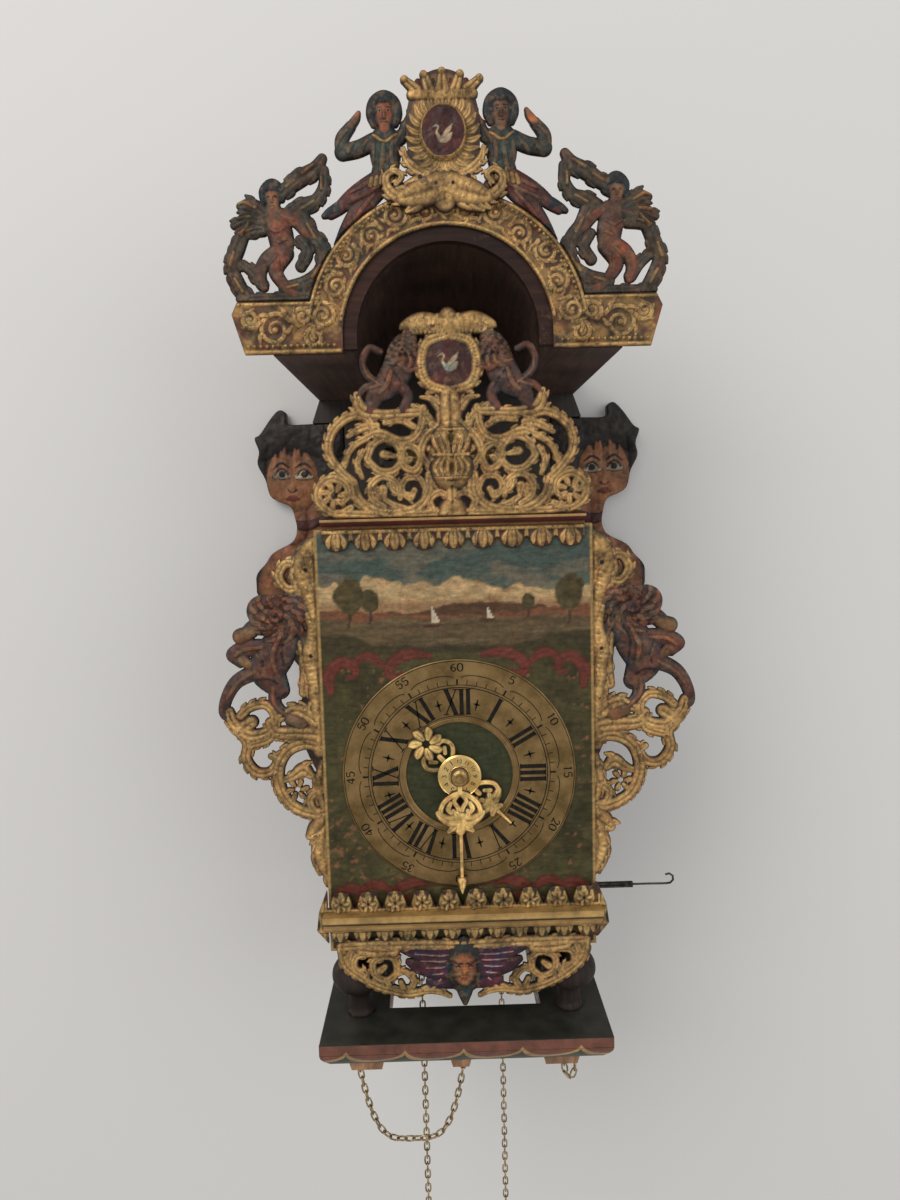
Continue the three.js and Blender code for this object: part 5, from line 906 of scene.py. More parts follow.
# %% Strokes of the apron
apron_scrolls = read_strokes("""
    0 -3 14.9, 92.4 0 17.9, 190.7 0 14.9;
    190.7 -3 14.9, 184.8 -30.2 14.9, 160.9 -52.9 13.4, 131.1 -69.5 13.4, 92.4 -80 14.9, 59.6 -77 11.9,
    38.7 -80 10.4, 23.8 -87.6 7.5;
    122.2 -15.1 14.9, 141.6 -27.2 11.9, 140.1 -48.3 11.9, 122.2 -57.4 10.4, 105.8 -45.3 11.9,
    108.8 -24.2 11.9, 122.2 -15.1 14.9;
    146 -12.1 13.4, 168.4 -18.1 11.9, 171.3 -36.2 11.9, 155 -48.3 10.4;
    105.8 -48.3 10.4, 92.4 -45.3 10.4, 79 -60.4 11.9, 87.9 -77 10.4;
    160.9 -6 17.9, 134.1 -9.1 23.8, 110.3 -9.1 20.9""")
apron_head = read_strokes("""
    0 -9.1 38.7, 0 -21.1 59.6, 0 -36.2 65.6, 0 -51.3 59.6, 0 -69.5 32.8, 0 -84.6 20.9, 0 -99.7 8.9;
    6 -18.1 35.8, 32.8 -21.1 38.7, 65.6 -15.1 29.8, 98.3 -6 14.9;
    8.9 -42.3 35.8, 38.7 -42.3 35.8, 68.5 -39.3 23.8, 86.4 -30.2 11.9;
    8.9 -63.4 26.8, 35.8 -64.9 20.9, 53.6 -63.4 14.9""")

# %% The apron with its winged head
apron = Field((-101, 15), (101, 75), 0.62)
on_apron = partial(lay_strokes, apron, height=50, foot=(0, 69))
on_apron(apron_scrolls, swell=1.1, leaf=1.4, paint=gold, ribs=0.14, rib_pitch=3.4, vein=0.4)
apron_filling = read_strokes("""
    176 -8 12, 180 -22 12, 172 -30 9;
    150 -62 10, 156 -44 12, 164 -40 9;
    118 -66 10, 122 -58 12;
    100 -62 10, 96 -72 12;
    124 -36 10, 132 -42 14;
    60 -72 10, 72 -78 12""")
on_apron(apron_filling, leaf=1.2, paint=gold, ribs=0.1, vein=0.35)
on_apron(apron_head[1:], **plain((0.045, 0.014, 0.030)), rise=0.45)
feathers = [[(16 + 3 * k, -9 - 10 * k, 8.5), (50 - k, -10 - 10.5 * k, 9), (92 - 9 * k, -5 - 11.5 * k, 6)]
            for k in range(6)]
on_apron(feathers, **plain((0.11, 0.035, 0.060), (0.025, 0.010, 0.018)), rise=0.5)
# Pale strokes along the upper edge of each feather: painted highlights.
on_apron([[(x + 6, z + 1.5, 1.5), (0.6 * x + 0.4 * u, z + 0.5, 2.6), (u - 6, w + 1, 1.5)] for (x, z, _), _,
          (u, w, _) in feathers], **plain((0.36, 0.22, 0.22), (0.2, 0.1, 0.1)), rise=0.7, on=True)
on_apron(apron_head[:1], mirror=(1,), **plain((0.018, 0.030, 0.028)), ribs=0.2, rib_pitch=2.2, rise=0.55)
on_apron("0 -33 37, 0 -46 35, 0 -58 22", mirror=(1,), **plain((0.21, 0.105, 0.046), (0.10, 0.042, 0.020)),
         rise=0.2, on=True)
on_apron("""
    3 -29 2.5, 9 -31.5 3, 16 -29 2; 6 -35.5 2, 9 -34.5 2.6, 13 -35.5 2; 2 -44 1.5, 3.2 -46 2.4;
    19 -22 5, 21 -36 5, 20 -52 5, 12 -64 5""", **plain((0.014, 0.010, 0.009)), rise=0.25, on=True)
on_apron("0 -32 3, 0 -45 6", mirror=(1,), **plain((0.23, 0.12, 0.055), (0.16, 0.075, 0.035)), rise=0.35,
         on=True)
on_apron("-8 -53 2, 0 -55.5 4, 8 -53 2", mirror=(1,), paint=(0.20, 0.03, 0.02), ground=dark_paint, gilt=0,
         vein=0.3, rise=0.3, on=True)
casting("carved_apron", apron, back_y=-245.6, edge=1.6, finish=carved, replaces=["apron_fret"])

# %% [markdown]
# ## The carvings on the hood
# The shield with its crown, the two seated figures and the winged children on their dolphins are
# cast in the same way and painted. The shield stands before the frieze. The figures and children
# stand on it, so their fields are cut off along the line of the arch and the shoulder.

# %% Strokes of the shield
shield_strokes = read_strokes("""
    0 30 30, 0 42 48, 0 56 52, 0 68 50, 0 76 44;
    0 10 16, 0 20 22, 18 15 20, 30 12 10;
    20 15 8, 32 13 9, 40 19 8, 41 27 6, 35 31 5, 30 27 4.5, 34 22 4;
    10 27 7, 19 31 8, 26 38 6, 28 46 3;
    0 80 8, 21 81 8;
    0 84 12, 0 95 6;
    9 84 9, 12 93.5 6;
    18 84 9, 25.5 90.5 6""")

# %% The shield and its crown
shield = Field((-44, 611), (44, 712), 0.5)
on_shield = partial(lay_strokes, shield, height=100, foot=(0, 611))
on_shield(shield_strokes[:1], mirror=(1,), rise=0.12, paint=gold, vein=0.1)
on_shield(shield_strokes[1:4], leaf=1.8, rise=0.7, paint=gold, ribs=0.2, rib_pitch=4, vein=0.4)
for a in np.linspace(-0.05, np.pi + 0.05, 13):
    leaf = [(k * math.sin(a + bend), 55 - (k + 2.5) * math.cos(a + bend), w)
            for k, bend, w in ((16.5, 0, 4.2), (21, 0.06, 5.6), (25.6, 0.2, 2))]
    on_shield([leaf], rise=1.0, paint=gold, vein=0.45)
oval_z = 666
oval = np.sqrt((shield.x / 15.8) ** 2 + ((shield.z - oval_z) / 18) ** 2)
shield.lay(np.s_[:, :], np.where(oval < 1, 1.0, -99.0), np.where(oval < 1, 5.6 - 0.8 * oval**2, -1),
           np.broadcast_to(maroon, shield.paint.shape), np.zeros(shield.x.shape))
beads = [(15.9 * math.sin(a), oval_z - 18.1 * math.cos(a), 2.6) for a in np.linspace(0, 2 * np.pi, 70)]
shield.stroke(beads, paint=gold, ribs=0.6, rib_pitch=3.2, vein=0, rise=1.1, on=True)
lay_strokes(shield, swan_strokes, 92, (0, 659), swell=0.75, rise=0.25, **swan)
on_shield(shield_strokes[5:], rise=0.9, paint=gold, vein=0.5)
on_shield("5.5 85 4, 6 90 5; 14 85 4, 16.5 89.5 5", **plain(maroon, maroon), rise=0.5)
on_shield(shield_strokes[4:5], rise=1.3, paint=gold, ribs=0.45, rib_pitch=4.4, vein=0)
knobs = [dot(x, z, 6) for x, z in ((0, 96), (12.5, 94), (26, 91))]
on_shield(knobs, rise=1.6, paint=gold, vein=0)
on_shield([dot(17, 26, 3.6), dot(6, 21, 2.4)], **plain(dark_paint), rise=0.1, on=True)
shield.height = np.minimum(shield.height, 7.5)
shield.inside = np.minimum(shield.inside, 710.4 - shield.z)
casting("carved_shield", shield, back_y=-255.0, edge=1.6, finish=carved, replaces=["hood_cartouche"],
        patches=0.4)


# %% Painted figures from tables
tones = {
    "robe": ((0.030, 0.040, 0.034), 0.1), "fold": ((0.085, 0.065, 0.040), 0.25),
    "cloth": ((0.095, 0.026, 0.022), 0.05), "crease": ((0.15, 0.060, 0.035), 0.15),
    "flesh": (flesh, 0), "hair": ((0.016, 0.021, 0.024), 0), "trim": ((0.30, 0.18, 0.06), 0.7),
    "shoe": ((0.022, 0.024, 0.028), 0), "ink": (dark_paint, 0), "white": ((0.34, 0.24, 0.15), 0),
    "leaf": ((0.055, 0.040, 0.026), 0.2), "tip": ((0.22, 0.125, 0.05), 0.5),
    "body": ((0.125, 0.047, 0.026), 0),
}


def lay_figure(field, parts, foot, side):
    """Each part: its tone, how high it is domed, whether it lies on what is there, and its strokes in
    millimetres from the foot."""
    for tone, rise, on, strokes in parts:
        paint, gilt = tones[tone]
        leafy = tone == "leaf"
        lay_strokes(field, strokes, 100, foot, side, swell=1.22 if leafy else 1, leaf=1.5 if leafy else 0,
                    paint=paint, ground=dark_paint, gilt=gilt, vein=0.25 if leafy else 0, rise=rise, on=on)


arch_z, arch_radius, shoulder_z, clearance = 530, 102, 556, 0.35


def clear_of_frieze(field):
    """Keeps only what stands clear of the arch and of the shoulder's top."""
    arch = np.hypot(field.x, field.z - arch_z) - (arch_radius + clearance)
    field.inside = np.minimum(field.inside, np.minimum(arch, field.z - (shoulder_z + clearance)))


# %% Strokes of a seated figure
figure_parts = [
    ("robe", 0.55, False, "41 73 21, 41 64 22, 41 56 19, 43 47 19"),
    ("cloth", 0.6, False, "39 47 14, 33 41 11, 29 36 8; 46 43 16, 55 33 14, 65 22 11, 72 11 9, 76 4 6"),
    ("cloth", 0.75, False, "44 46 18, 56 40 16, 66 35 12, 75 28 9, 81 24 7"),
    ("robe", 0.8, False, """
        49 73 12, 60 68 12, 71 66 12; 71 66 11, 71 75 10, 65 83 8; 34 73 11, 28 77 10, 26 83 8"""),
    ("fold", 0.5, True, """
        35 73 3, 37 63 4, 35 53 2.6; 42 71 3, 43 61 4.4, 45 51 3; 49 70 2.6, 50 61 4, 51 53 2.4;
        53 73 2.6, 58 66 4, 60 62 2.4; 63 72 2.6, 67 65 4; 67 80 2.4, 73 74 3.4, 75 69 2.4;
        29 79 3, 34 70 3"""),
    ("crease", 0.5, True, """
        48 47 3, 58 42 4, 66 38 2.6; 45 42 3, 56 36 3.6, 68 31 2.4; 50 36 2.6, 60 25 4, 67 15 2.6;
        36 45 2.6, 31 39 3"""),
    ("shoe", 0.9, False, "76 28 9, 82 25 7, 86 23 4; 72 11 9, 76 4 7, 79 1 4"),
    ("trim", 0.7, True, [[(33 + 3.6 * k, 50.5 - 0.7 * k, 3.4), (33.4 + 3.8 * k, 45.5 - 0.8 * k, 3.8)]
                         for k in range(6)] + read_strokes("33 76 2.6, 41 71.5 3, 49 76 2.6")),
    ("flesh", 1.0, False, "65 83 7, 61 88 6, 59 92 3.4; 26 83 7, 23.5 89 5, 24 93 3; 41 78 8, 41 83 10"),
    ("hair", 0.85, False, "33.4 84 5, 31.6 91 7, 34 99 8, 41 102.6 9, 48 99 8, 50.4 91 7, 48.6 84 5"),
    ("flesh", 0.75, False, "41 84 10, 41 89 14.5, 41 94 14"),
    ("hair", 0.5, True, """
        34.6 97.5 3, 38 99.5 4, 41 98 3; 41 98 3, 45 99.5 4, 47.6 97 3; 34.4 96 2, 34.8 91 2.4;
        47.6 96 2, 47.2 91 2.4"""),
    ("white", 0.25, True, "37.4 91.6 2, 38.6 91.6 2; 43.4 91.6 2, 44.6 91.6 2"),
    ("ink", 0.25, True, """
        37.9 91.6 1.3, 38.2 91.6 1.3; 43.8 91.6 1.3, 44.1 91.6 1.3; 36.4 94 0.8, 39.4 94.4 1;
        42.6 94.4 1, 45.6 94 0.8; 39.2 84.4 0.9, 42.8 84.4 0.9"""),
    ("flesh", 0.7, True, "41 91.5 1.8, 41 87.4 3"),
]

# %% Strokes of a child on a dolphin
child_parts = [
    ("leaf", 0.7, False, """
        -6 97 6, -1 90 9, 8 85 10, 17 79 9, 24 74 8; -7 89 6, -6.5 78 7, -1 69 8, 8 65 10, 16 60 10;
        10 58 10, 5 48 9, -2 39 9, -4 30 8; -5 28 8, 0 19 8, 10 12 9, 24 9 8; 3 3 6, 28 2.5 6, 56 2.5 6;
        42 56 8, 51 48 8, 57 36 9, 61 25 8, 58 14 9, 52 4 8; 40 12 8, 46 20 7, 53 26 6;
        12 24 7, 7 33 7, 12 42 6"""),
    ("leaf", 0.9, False, """
        36 60 9, 45 66 9, 53 66 5; 38 55 8, 49 57 8, 58 53 5; 38 49 7, 48 48 7, 57 43 4"""),
    ("tip", 0.8, True, """
        42 64 2.6, 50 68 3, 54 67 2; 46 58 2.4, 54 57 3; 45 50 2.4, 54 47 3; 0 92 2.4, 8 87 3;
        14 82 2.4, 20 78 3; -5 84 2.2, -5 76 2.6; 1 68 2.4, 9 63 3; 6 52 2.4, 1 43 3; -2 24 2.4, 4 16 3;
        14 11 2.4, 22 9 3; 59 34 2.4, 62 25 3; 59 16 2.4, 54 7 3; 47 54 2, 53 46 3"""),
    ("body", 0.7, False, "30 62 13, 27 52 18, 25 42 18, 25 34 15"),
    ("body", 0.85, False, """
        26 35 13, 36 29 11, 41 20 9, 39 10 7; 23 33 13, 30 22 11, 26 13 9, 19 6 8, 13 4 5"""),
    ("body", 0.95, False, "24 60 9, 14 54 8, 7 46 7, 3 44 4.4; 34 59 8, 41 54 7, 46 58 5"),
    ("crease", 0.4, True, """
        22 50 2.6, 28 47 3, 33 50 2; 21 42 2.4, 27 40 3; 29 31 2.6, 35 25 3; 25 27 2.6, 25 18 3"""),
    ("hair", 0.9, False, "23.6 70 5, 24.4 76 7, 30 80 9, 36 76 7, 36.6 69 5"),
    ("flesh", 0.9, False, "30 66 10, 30 71 12"),
    ("hair", 0.6, True, "25.4 75.6 2.4, 28 77 3.4, 30 75.8 2.4; 31 76 2.4, 34 76.6 3, 35.4 74 2"),
    ("ink", 0.25, True, """
        27.2 70.8 1.5, 28 70.8 1.5; 32 70.8 1.5, 32.8 70.8 1.5; 28.8 65 0.9, 31.4 65 0.9"""),
    ("flesh", 0.7, True, "30 70.6 1.6, 30 67.6 2.4"),
]

# %% Figures and children, left and right
for side, sign in sides:
    lot = field_beside(sign, 19, 91, 589, 703, 0.5)
    lay_figure(lot, figure_parts, (0, 591), (sign,))
    clear_of_frieze(lot)
    casting(f"seated_figure_{side}", lot, back_y=-250.5, edge=1.6, finish=carved,
            replaces=[f"figure_{side}"], lumps=0.9)
    lot = field_beside(sign, 79, 160, 555, 659, 0.5)
    lay_figure(lot, child_parts, (91.8, 556), (sign,))
    clear_of_frieze(lot)
    casting(f"child_on_dolphin_{side}", lot, back_y=-250.5, edge=1.6, finish=carved,
            replaces=[f"putto_{side}"], lumps=0.9)

# %% [markdown]
# ## The frieze round the arch
# A vine runs along each half of the frieze and curls off in turn to either side. Its scrolls are
# placed by an angle and a radius round the middle of the arch, and on the shoulders by a point each.

# %% Vine scrolls
def volute(field, centre, radius, start, turn, width=3.4, **look):
    """A stem that winds inwards one turn and a half, with a flower in its middle and five leaves:
    at share k of its length the angle is start + turn 3 pi k and the radius is radius (1 - 0.75 k)."""
    k = np.linspace(0, 1, 30)
    angle = start + turn * 3 * np.pi * k
    away = radius * (1 - 0.75 * k)
    stem = np.stack([centre[0] + away * np.cos(angle), centre[1] + away * np.sin(angle),
                     width * (1 - 0.35 * k)], 1)
    field.stroke(stem, **look)
    field.stroke(dot(*centre, radius * 0.42), **(look | dict(vein=0, rise=1.1)))
    for j in (0.04, 0.16, 0.3, 0.44, 0.58):
        a = start + turn * 3 * np.pi * j
        r = radius * (1 - 0.75 * j)
        leaf = [(centre[0] + (r + out * radius) * np.cos(a + turn * bend),
                 centre[1] + (r + out * radius) * np.sin(a + turn * bend), w * radius)
                for out, bend, w in ((0, 0, 0.2), (0.2, 0.18, 0.34), (0.42, 0.5, 0.08))]
        field.stroke(smooth_line(leaf, 4), **look)


def arc_line(centre, radius, start, end, width, steps=60):
    """Points with a width along an arc, from one angle to another."""
    a = np.linspace(start, end, steps)
    return np.stack([centre[0] + radius * np.cos(a), centre[1] + radius * np.sin(a), 0 * a + width], 1)


def hood_outline(half, bottom, shoulder, outer, inner, rounded):
    """The arch with its two shoulders: two arcs round (0, arch_z), and a rounded corner each side."""
    foot_angle = math.asin((shoulder - arch_z) / outer)
    right_half = [(inner, bottom), (half - rounded, bottom), (half, shoulder - rounded),
                  (half - rounded / 2, shoulder)]
    arch = arc_line((0, arch_z), outer, foot_angle, np.pi - foot_angle, 0, 90)[:, :2].tolist()
    hollow = arc_line((0, arch_z), inner, np.pi, 0, 0, 80)[:, :2].tolist()
    return right_half + arch + [(-x, z) for x, z in right_half[::-1]] + hollow


# %% The frieze
frieze = Field((-156, 518), (156, 633), 0.72)
outline = hood_outline(half=155, bottom=519, shoulder=shoulder_z, outer=arch_radius, inner=76, rounded=8.5)
border = within(outline, frieze.x, frieze.z)
tarnish = soft_step(layered(frieze.x, frieze.z, 9, 81), 0.47, 0.2)
frieze.plate(border, 0.2, over(np.broadcast_to((0.30, 0.175, 0.060), frieze.paint.shape),
                               (0.10, 0.045, 0.022), tarnish), 0.7 - 0.5 * tarnish)
scroll = dict(paint=gold, ribs=0.12, rib_pitch=3, on=True, rise=0.8)
for sign in (1, -1):
    for i in range(6):
        angle = math.radians(81 - 14.2 * i)
        middle = 89 + (2.2 if i % 2 else -2.2)
        centre = (sign * middle * math.cos(angle), arch_z + middle * math.sin(angle))
        volute(frieze, centre, 9.0, angle * sign + (0 if sign > 0 else np.pi) + (np.pi / 2) * sign,
               sign * (1 if i % 2 else -1), 3.9, **scroll)
    for x, z, r, start, turn in ((124, 536, 12.5, 2.6, -1), (141.5, 544, 7, 3.6, 1), (104, 545, 7, 5.2, 1),
                                 (96, 530, 7.5, 2.0, -1)):
        volute(frieze, (sign * x, z), r, start if sign > 0 else np.pi - start, turn * sign, 4.4, **scroll)
    for i in range(13):
        a = math.radians(84 - 6.6 * i)
        r = 82 if i % 2 else 96
        sprig = [(sign * (r + out) * math.cos(a - lean), arch_z + (r + out) * math.sin(a - lean), w)
                 for out, lean, w in ((0, 0, 2.4), (1, 0.05, 3.6), (-1, 0.09, 1.2))]
        frieze.stroke(smooth_line(sprig, 4), **scroll)

# %% Beads and roped edges of the frieze
bead = dict(paint=(0.52, 0.33, 0.125), vein=0, rise=2.6, on=True)
bead_width, bead_radius, bead_row_z = 2.7, 97.2, 524.6
for a in np.linspace(0.24, np.pi - 0.24, 66):
    frieze.stroke(dot(bead_radius * math.cos(a), arch_z + bead_radius * math.sin(a), bead_width), **bead)
for x in np.arange(82, 148, 4.4):
    for sign in (1, -1):
        frieze.stroke(dot(sign * x, bead_row_z, bead_width), **bead)
rope = dict(paint=gold, ribs=0.5, rib_pitch=3.2, on=True, vein=0, rise=0.9)
rope_width = 2.6
for radius in (77.7, 100.3):
    frieze.stroke(arc_line((0, arch_z), radius, 0.16, np.pi - 0.16, rope_width, 120), **rope)
for sign in (1, -1):
    for near, far, z in ((78, 146, 520.8), (99, 150, 554.2)):
        frieze.stroke([(sign * near, z, rope_width), (sign * far, z, rope_width)], **rope)
volute(frieze, (0, 619), 7.5, 1.5, 1, 2.6, **scroll)
casting("gilded_frieze", frieze, back_y=-250.5, edge=1.6, finish=carved, replaces=["hood_frieze"])
print("tallest relief of the frieze:", round(float(frieze.height.max()), 1), "mm")

# %% [markdown]
# ## Fringe, leaf strip and mouldings
# The fringe under the dial's cornice and the leaf strip at its foot are one motif each, repeated:
# a lobe with a rib down its middle and two side ribs. They are stamped strips on the real clock, so
# a loop lays them out. The plain mouldings are profiles drawn along a line, as a plane cuts them.

# %% Lobes and ribs
def lobed_edge(half, count, depth, sign, base):
    """Points of an edge with lobes: each has a valley at its start and a flat top over its middle."""
    step = 2 * half / count
    return [(-half + (i + along) * step, base + sign * out * depth)
            for i in range(count) for along, out in ((0, 0.1), (0.25, 0.85), (0.5, 0.92), (0.75, 0.85))]


def ribbed_lobe(field, x, foot_z, tip_z, width, **look):
    """Three ribs that fan out from the foot of a lobe, the middle one longest."""
    rise = tip_z - foot_z
    for lean, reach, w in ((-0.34, 0.8, 0.3), (0.34, 0.8, 0.3), (0, 0.97, 0.42)):
        line = [(x + lean * width * 0.35, foot_z, width * w * 0.7),
                (x + lean * width * 0.8, foot_z + rise * reach * 0.55, width * w),
                (x + lean * width * 0.9, foot_z + rise * reach, width * w * 0.45)]
        field.stroke(smooth_line(line, 5), **look)


# %% The fringe
fringe = Field((-99, 374), (99, 393), 0.6)
fringe.plate(within(lobed_edge(98, 9, 10.2, -1, 385.2) + [(98, 383.5), (98, 392), (-98, 392)],
                    fringe.x, fringe.z), 0.3, brown_ground)
fringe_look = dict(paint=gold, on=True, ribs=0.1, rib_pitch=2.5, rise=0.7)
for i in range(9):
    x = -98 + (i + 0.5) * 196 / 9
    ribbed_lobe(fringe, x, 388, 376.5, 20, **fringe_look)
    fringe.stroke([(x + 10.9, 384.5, 4), (x + 10.9, 388, 3)], **fringe_look)
fringe.stroke([(-97, 390.2, 3.2), (97, 390.2, 3.2)], paint=gold, on=True, ribs=0.6, rib_pitch=4, vein=0)
casting("gilded_fringe", fringe, back_y=-245.6, edge=1.4, finish=carved, replaces=["dial_fringe"])

# %% The leaf strip
leaves = Field((-114, 71), (114, 118), 0.68)
leaf_edge = (lobed_edge(104, 12, 12, -1, 85) + [(104, 73), (113, 84), (111, 99), (104, 117)]
             + lobed_edge(104, 10, 18, 1, 98)[::-1] + [(-104, 117), (-111, 99), (-113, 84), (-104, 73)])
leaves.plate(within(leaf_edge, leaves.x, leaves.z), 0.2, brown_ground)
leaf_look = dict(paint=(0.43, 0.29, 0.105), on=True, ribs=0.15, rib_pitch=2.6, rise=0.62)
leaf_places = [-104 + (i + 0.5) * 20.8 for i in range(10)]
for x in leaf_places:
    ribbed_lobe(leaves, x, 96, 113.5, 20, **leaf_look)
for i in range(12):
    ribbed_lobe(leaves, -104 + (i + 0.5) * 208 / 12, 87, 75.5, 16.5, **leaf_look)
for sign in (1, -1):
    ribbed_lobe(leaves, sign * 108, 88, 112, 9, **leaf_look)
    ribbed_lobe(leaves, sign * 107, 94, 76, 9, **leaf_look)
for x in leaf_places:
    rosette(leaves, x, 105, 6.4, 6, 2.4, paint=(0.50, 0.33, 0.12), rise=1.3, vein=0.2, on=True)
for half, z in ((110, 99.5), (111, 83.8)):
    leaves.stroke([(-half, z, 2.6), (half, z, 2.6)], paint=gold, on=True, ribs=0.6, rib_pitch=3.4, vein=0)
casting("leaf_strip", leaves, back_y=-250.1, edge=1.4, finish=carved, replaces=["base_cornice"])


# %% Mouldings
def straight_moulding(name, profile, half, replaces, finish):
    """A closed profile of (y, z) is drawn along X. Its ends close to the profile's middle."""
    profile = np.asarray(profile, float)
    x = np.concatenate([[-half], np.linspace(-half, half, 40), [half]])
    size = np.ones(len(x))
    size[[0, -1]] = 0
    middle = profile.mean(0)
    points = np.stack([np.broadcast_to(x[:, None], (len(x), len(profile))),
                       middle[0] + size[:, None] * (profile[:, 0] - middle[0])[None],
                       middle[1] + size[:, None] * (profile[:, 1] - middle[1])[None]], -1)
    piece = new_piece(name, points * mm, sheet_faces(len(x), len(profile)), "clock", replaces,
                      smooth=False)
    dress(finish, piece)


def banded(name, low, high, *stops, gilt=0.0):
    """Paint in bands that change with height, over the same worn surface."""
    n = Finish(name)
    split = n.tree.nodes.new("ShaderNodeSeparateXYZ")
    n.join(split.inputs[0], n.place)
    level = n.math("DIVIDE", n.math("SUBTRACT", split.outputs[2], low * mm), (high - low) * mm)
    bands = n.ramp(n.math("ADD", level, n.math("MULTIPLY", n.math("SUBTRACT", n.noise(160, 3), 0.5), 0.08)),
                   *stops)
    dirt = n.ramp(n.noise(60, 6, 0.7), (0.3, grey(0.45)), (0.65, grey(1.15)))
    n.set(Base_Color=n.mix(1.0, bands, dirt, "MULTIPLY"), Roughness=0.5, Metallic=gilt,
          Normal=n.bump(n.noise(420, 4), 0.25, 0.0006))
    return n


ogee_shares = [(0, 0), (-0.55, 0), (-0.57, 0.08), (-0.62, 0.25), (-0.72, 0.38), (-0.85, 0.5), (-0.95, 0.6),
               (-1, 0.7), (-1, 1), (0, 1)]
green_bands = banded("gilt_moulding", 84, 99, (0.0, (0.20, 0.115, 0.040)), (0.2, (0.42, 0.25, 0.085)),
                     (0.42, (0.50, 0.31, 0.11)), (0.5, (0.030, 0.026, 0.014)), (0.6, (0.030, 0.026, 0.014)),
                     (0.68, (0.48, 0.30, 0.105)), (1.0, (0.40, 0.24, 0.08)), gilt=0.3)
moulding_y, moulding_z, moulding_depth, moulding_height = -245.4, 84.1, 17.0, 14.8
ogee = [(moulding_y + y * moulding_depth, moulding_z + z * moulding_height) for y, z in ogee_shares]
straight_moulding("base_moulding", ogee, 106.9, ["base_cornice"], green_bands)
red_bands = banded("red_cornice", 392.6, 399.4, (0.0, (0.32, 0.19, 0.06)), (0.25, (0.10, 0.02, 0.015)),
                   (0.7, (0.11, 0.022, 0.016)), (0.8, (0.34, 0.20, 0.06)))
dress(red_bands, "dial_cornice")

# %% [markdown]
# ## The painted dial
# The plate's paint is worked out point by point on a grid of 1.2 mm: a quiet river landscape above
# the ring, dark green below it with small flowers, and a spray of red leaves in each corner.
# Clouds and hills come from value noise: random numbers on a coarse grid, blended smoothly.

# %% Sky, hills and water
dial_z, plate_half, plate_low, plate_high, centre_hole = 203, 104, 64, 392.3, 6.2
plate = Field((-105, 63), (105, 393.4), 1.2)
x, z = plate.x, plate.z
away = np.hypot(x, z - dial_z)
to_edge = np.minimum(plate_half - abs(x), np.minimum(z - plate_low, plate_high - z))
plate.plate(np.minimum(to_edge, away - centre_hole), 0, (0, 0, 0))
sky = over(np.broadcast_to((0.048, 0.066, 0.054), (*x.shape, 3)), (0.085, 0.095, 0.070),
           1 - soft_step(z, 350, 22))
sky = over(sky, (0.15, 0.115, 0.075), soft_step(layered(x * 0.4, z * 1.5, 13, 7), 0.55, 0.12) * 0.5)
cloud_top = 348 + 15 * (layered(x, 0 * x, 15, 3) - 0.5) - 0.035 * x + 3 * layered(x, z, 6, 13)
billow = 0.72 + 0.56 * layered(x * 0.6, z * 1.3, 8, 5)
sky = over(sky, np.array((0.36, 0.24, 0.115)) * billow[..., None], soft_step(cloud_top, z, 1.8))
sky = over(sky, (0.20, 0.105, 0.050), soft_step(334 + 6 * layered(x, 0 * x, 15, 19), z, 6) * 0.75)
hills = 328.5 + 3.5 * np.sin(x / 26 + 0.6) + 6 * layered(x, 0 * x, 12, 9)
view = over(sky, (0.070, 0.034, 0.017), soft_step(hills, z, 1.6))
bank = 326.5 + 4.5 * layered(x, 0 * x, 9, 15) - 3 * np.cos(x / 40)
view = over(view, (0.14, 0.056, 0.027), soft_step(bank, z, 1.4))
water = soft_step(324 + 1.5 * np.sin(x / 9), z, 1.5)
ripple = layered(x * 0.25, z * 2.2, 5, 21)
view = over(view, np.array((0.085, 0.058, 0.028)) * (0.6 + 0.9 * ripple[..., None]), water)
near = 300 + 10 * soft_step(abs(x), 66, 40) + 5 * layered(x, 0 * x, 13, 33)
view = over(view, (0.038, 0.030, 0.012), soft_step(near, z, 2))

# %% Trees and boats
for tree_x, foot_z, height, seed in ((-80, 321, 34, 41), (-64, 324, 22, 44), (86, 320, 35, 47),
                                     (55, 326, 15, 50)):
    crown = 1 - np.hypot((x - tree_x) / (0.36 * height), (z - foot_z - 0.62 * height) / (0.42 * height))
    crown += 0.55 * (layered(x, z, 7, seed) - 0.5)
    trunk = ((abs(x - tree_x - 0.8 * np.sin((z - foot_z) / 5)) < 1.1) & (z > foot_z - 3)
             & (z < foot_z + 0.5 * height))
    leafy = np.array((0.055, 0.042, 0.016)) * (0.5 + 1.1 * layered(x - 2, z - 2, 4, seed + 3)[..., None])
    view = over(view, (0.05, 0.028, 0.018), trunk * 1.0)
    view = over(view, leafy, soft_step(crown, 0.05, 0.12))
for boat_x, boat_z, size in ((-18, 319, 1.0), (24, 322, 0.7)):
    hull = ((x - boat_x) / (8 * size)) ** 2 + ((z - boat_z) / (2.2 * size)) ** 2 < 1
    sail = ((z > boat_z + 1) & (z < boat_z + 15 * size) & (x > boat_x)
            & (x - boat_x < (15 * size - z + boat_z) * 0.5))
    view = over(view, (0.06, 0.025, 0.015), hull & (z < boat_z + 0.4))
    view = over(view, (0.50, 0.44, 0.33), sail * 0.9)

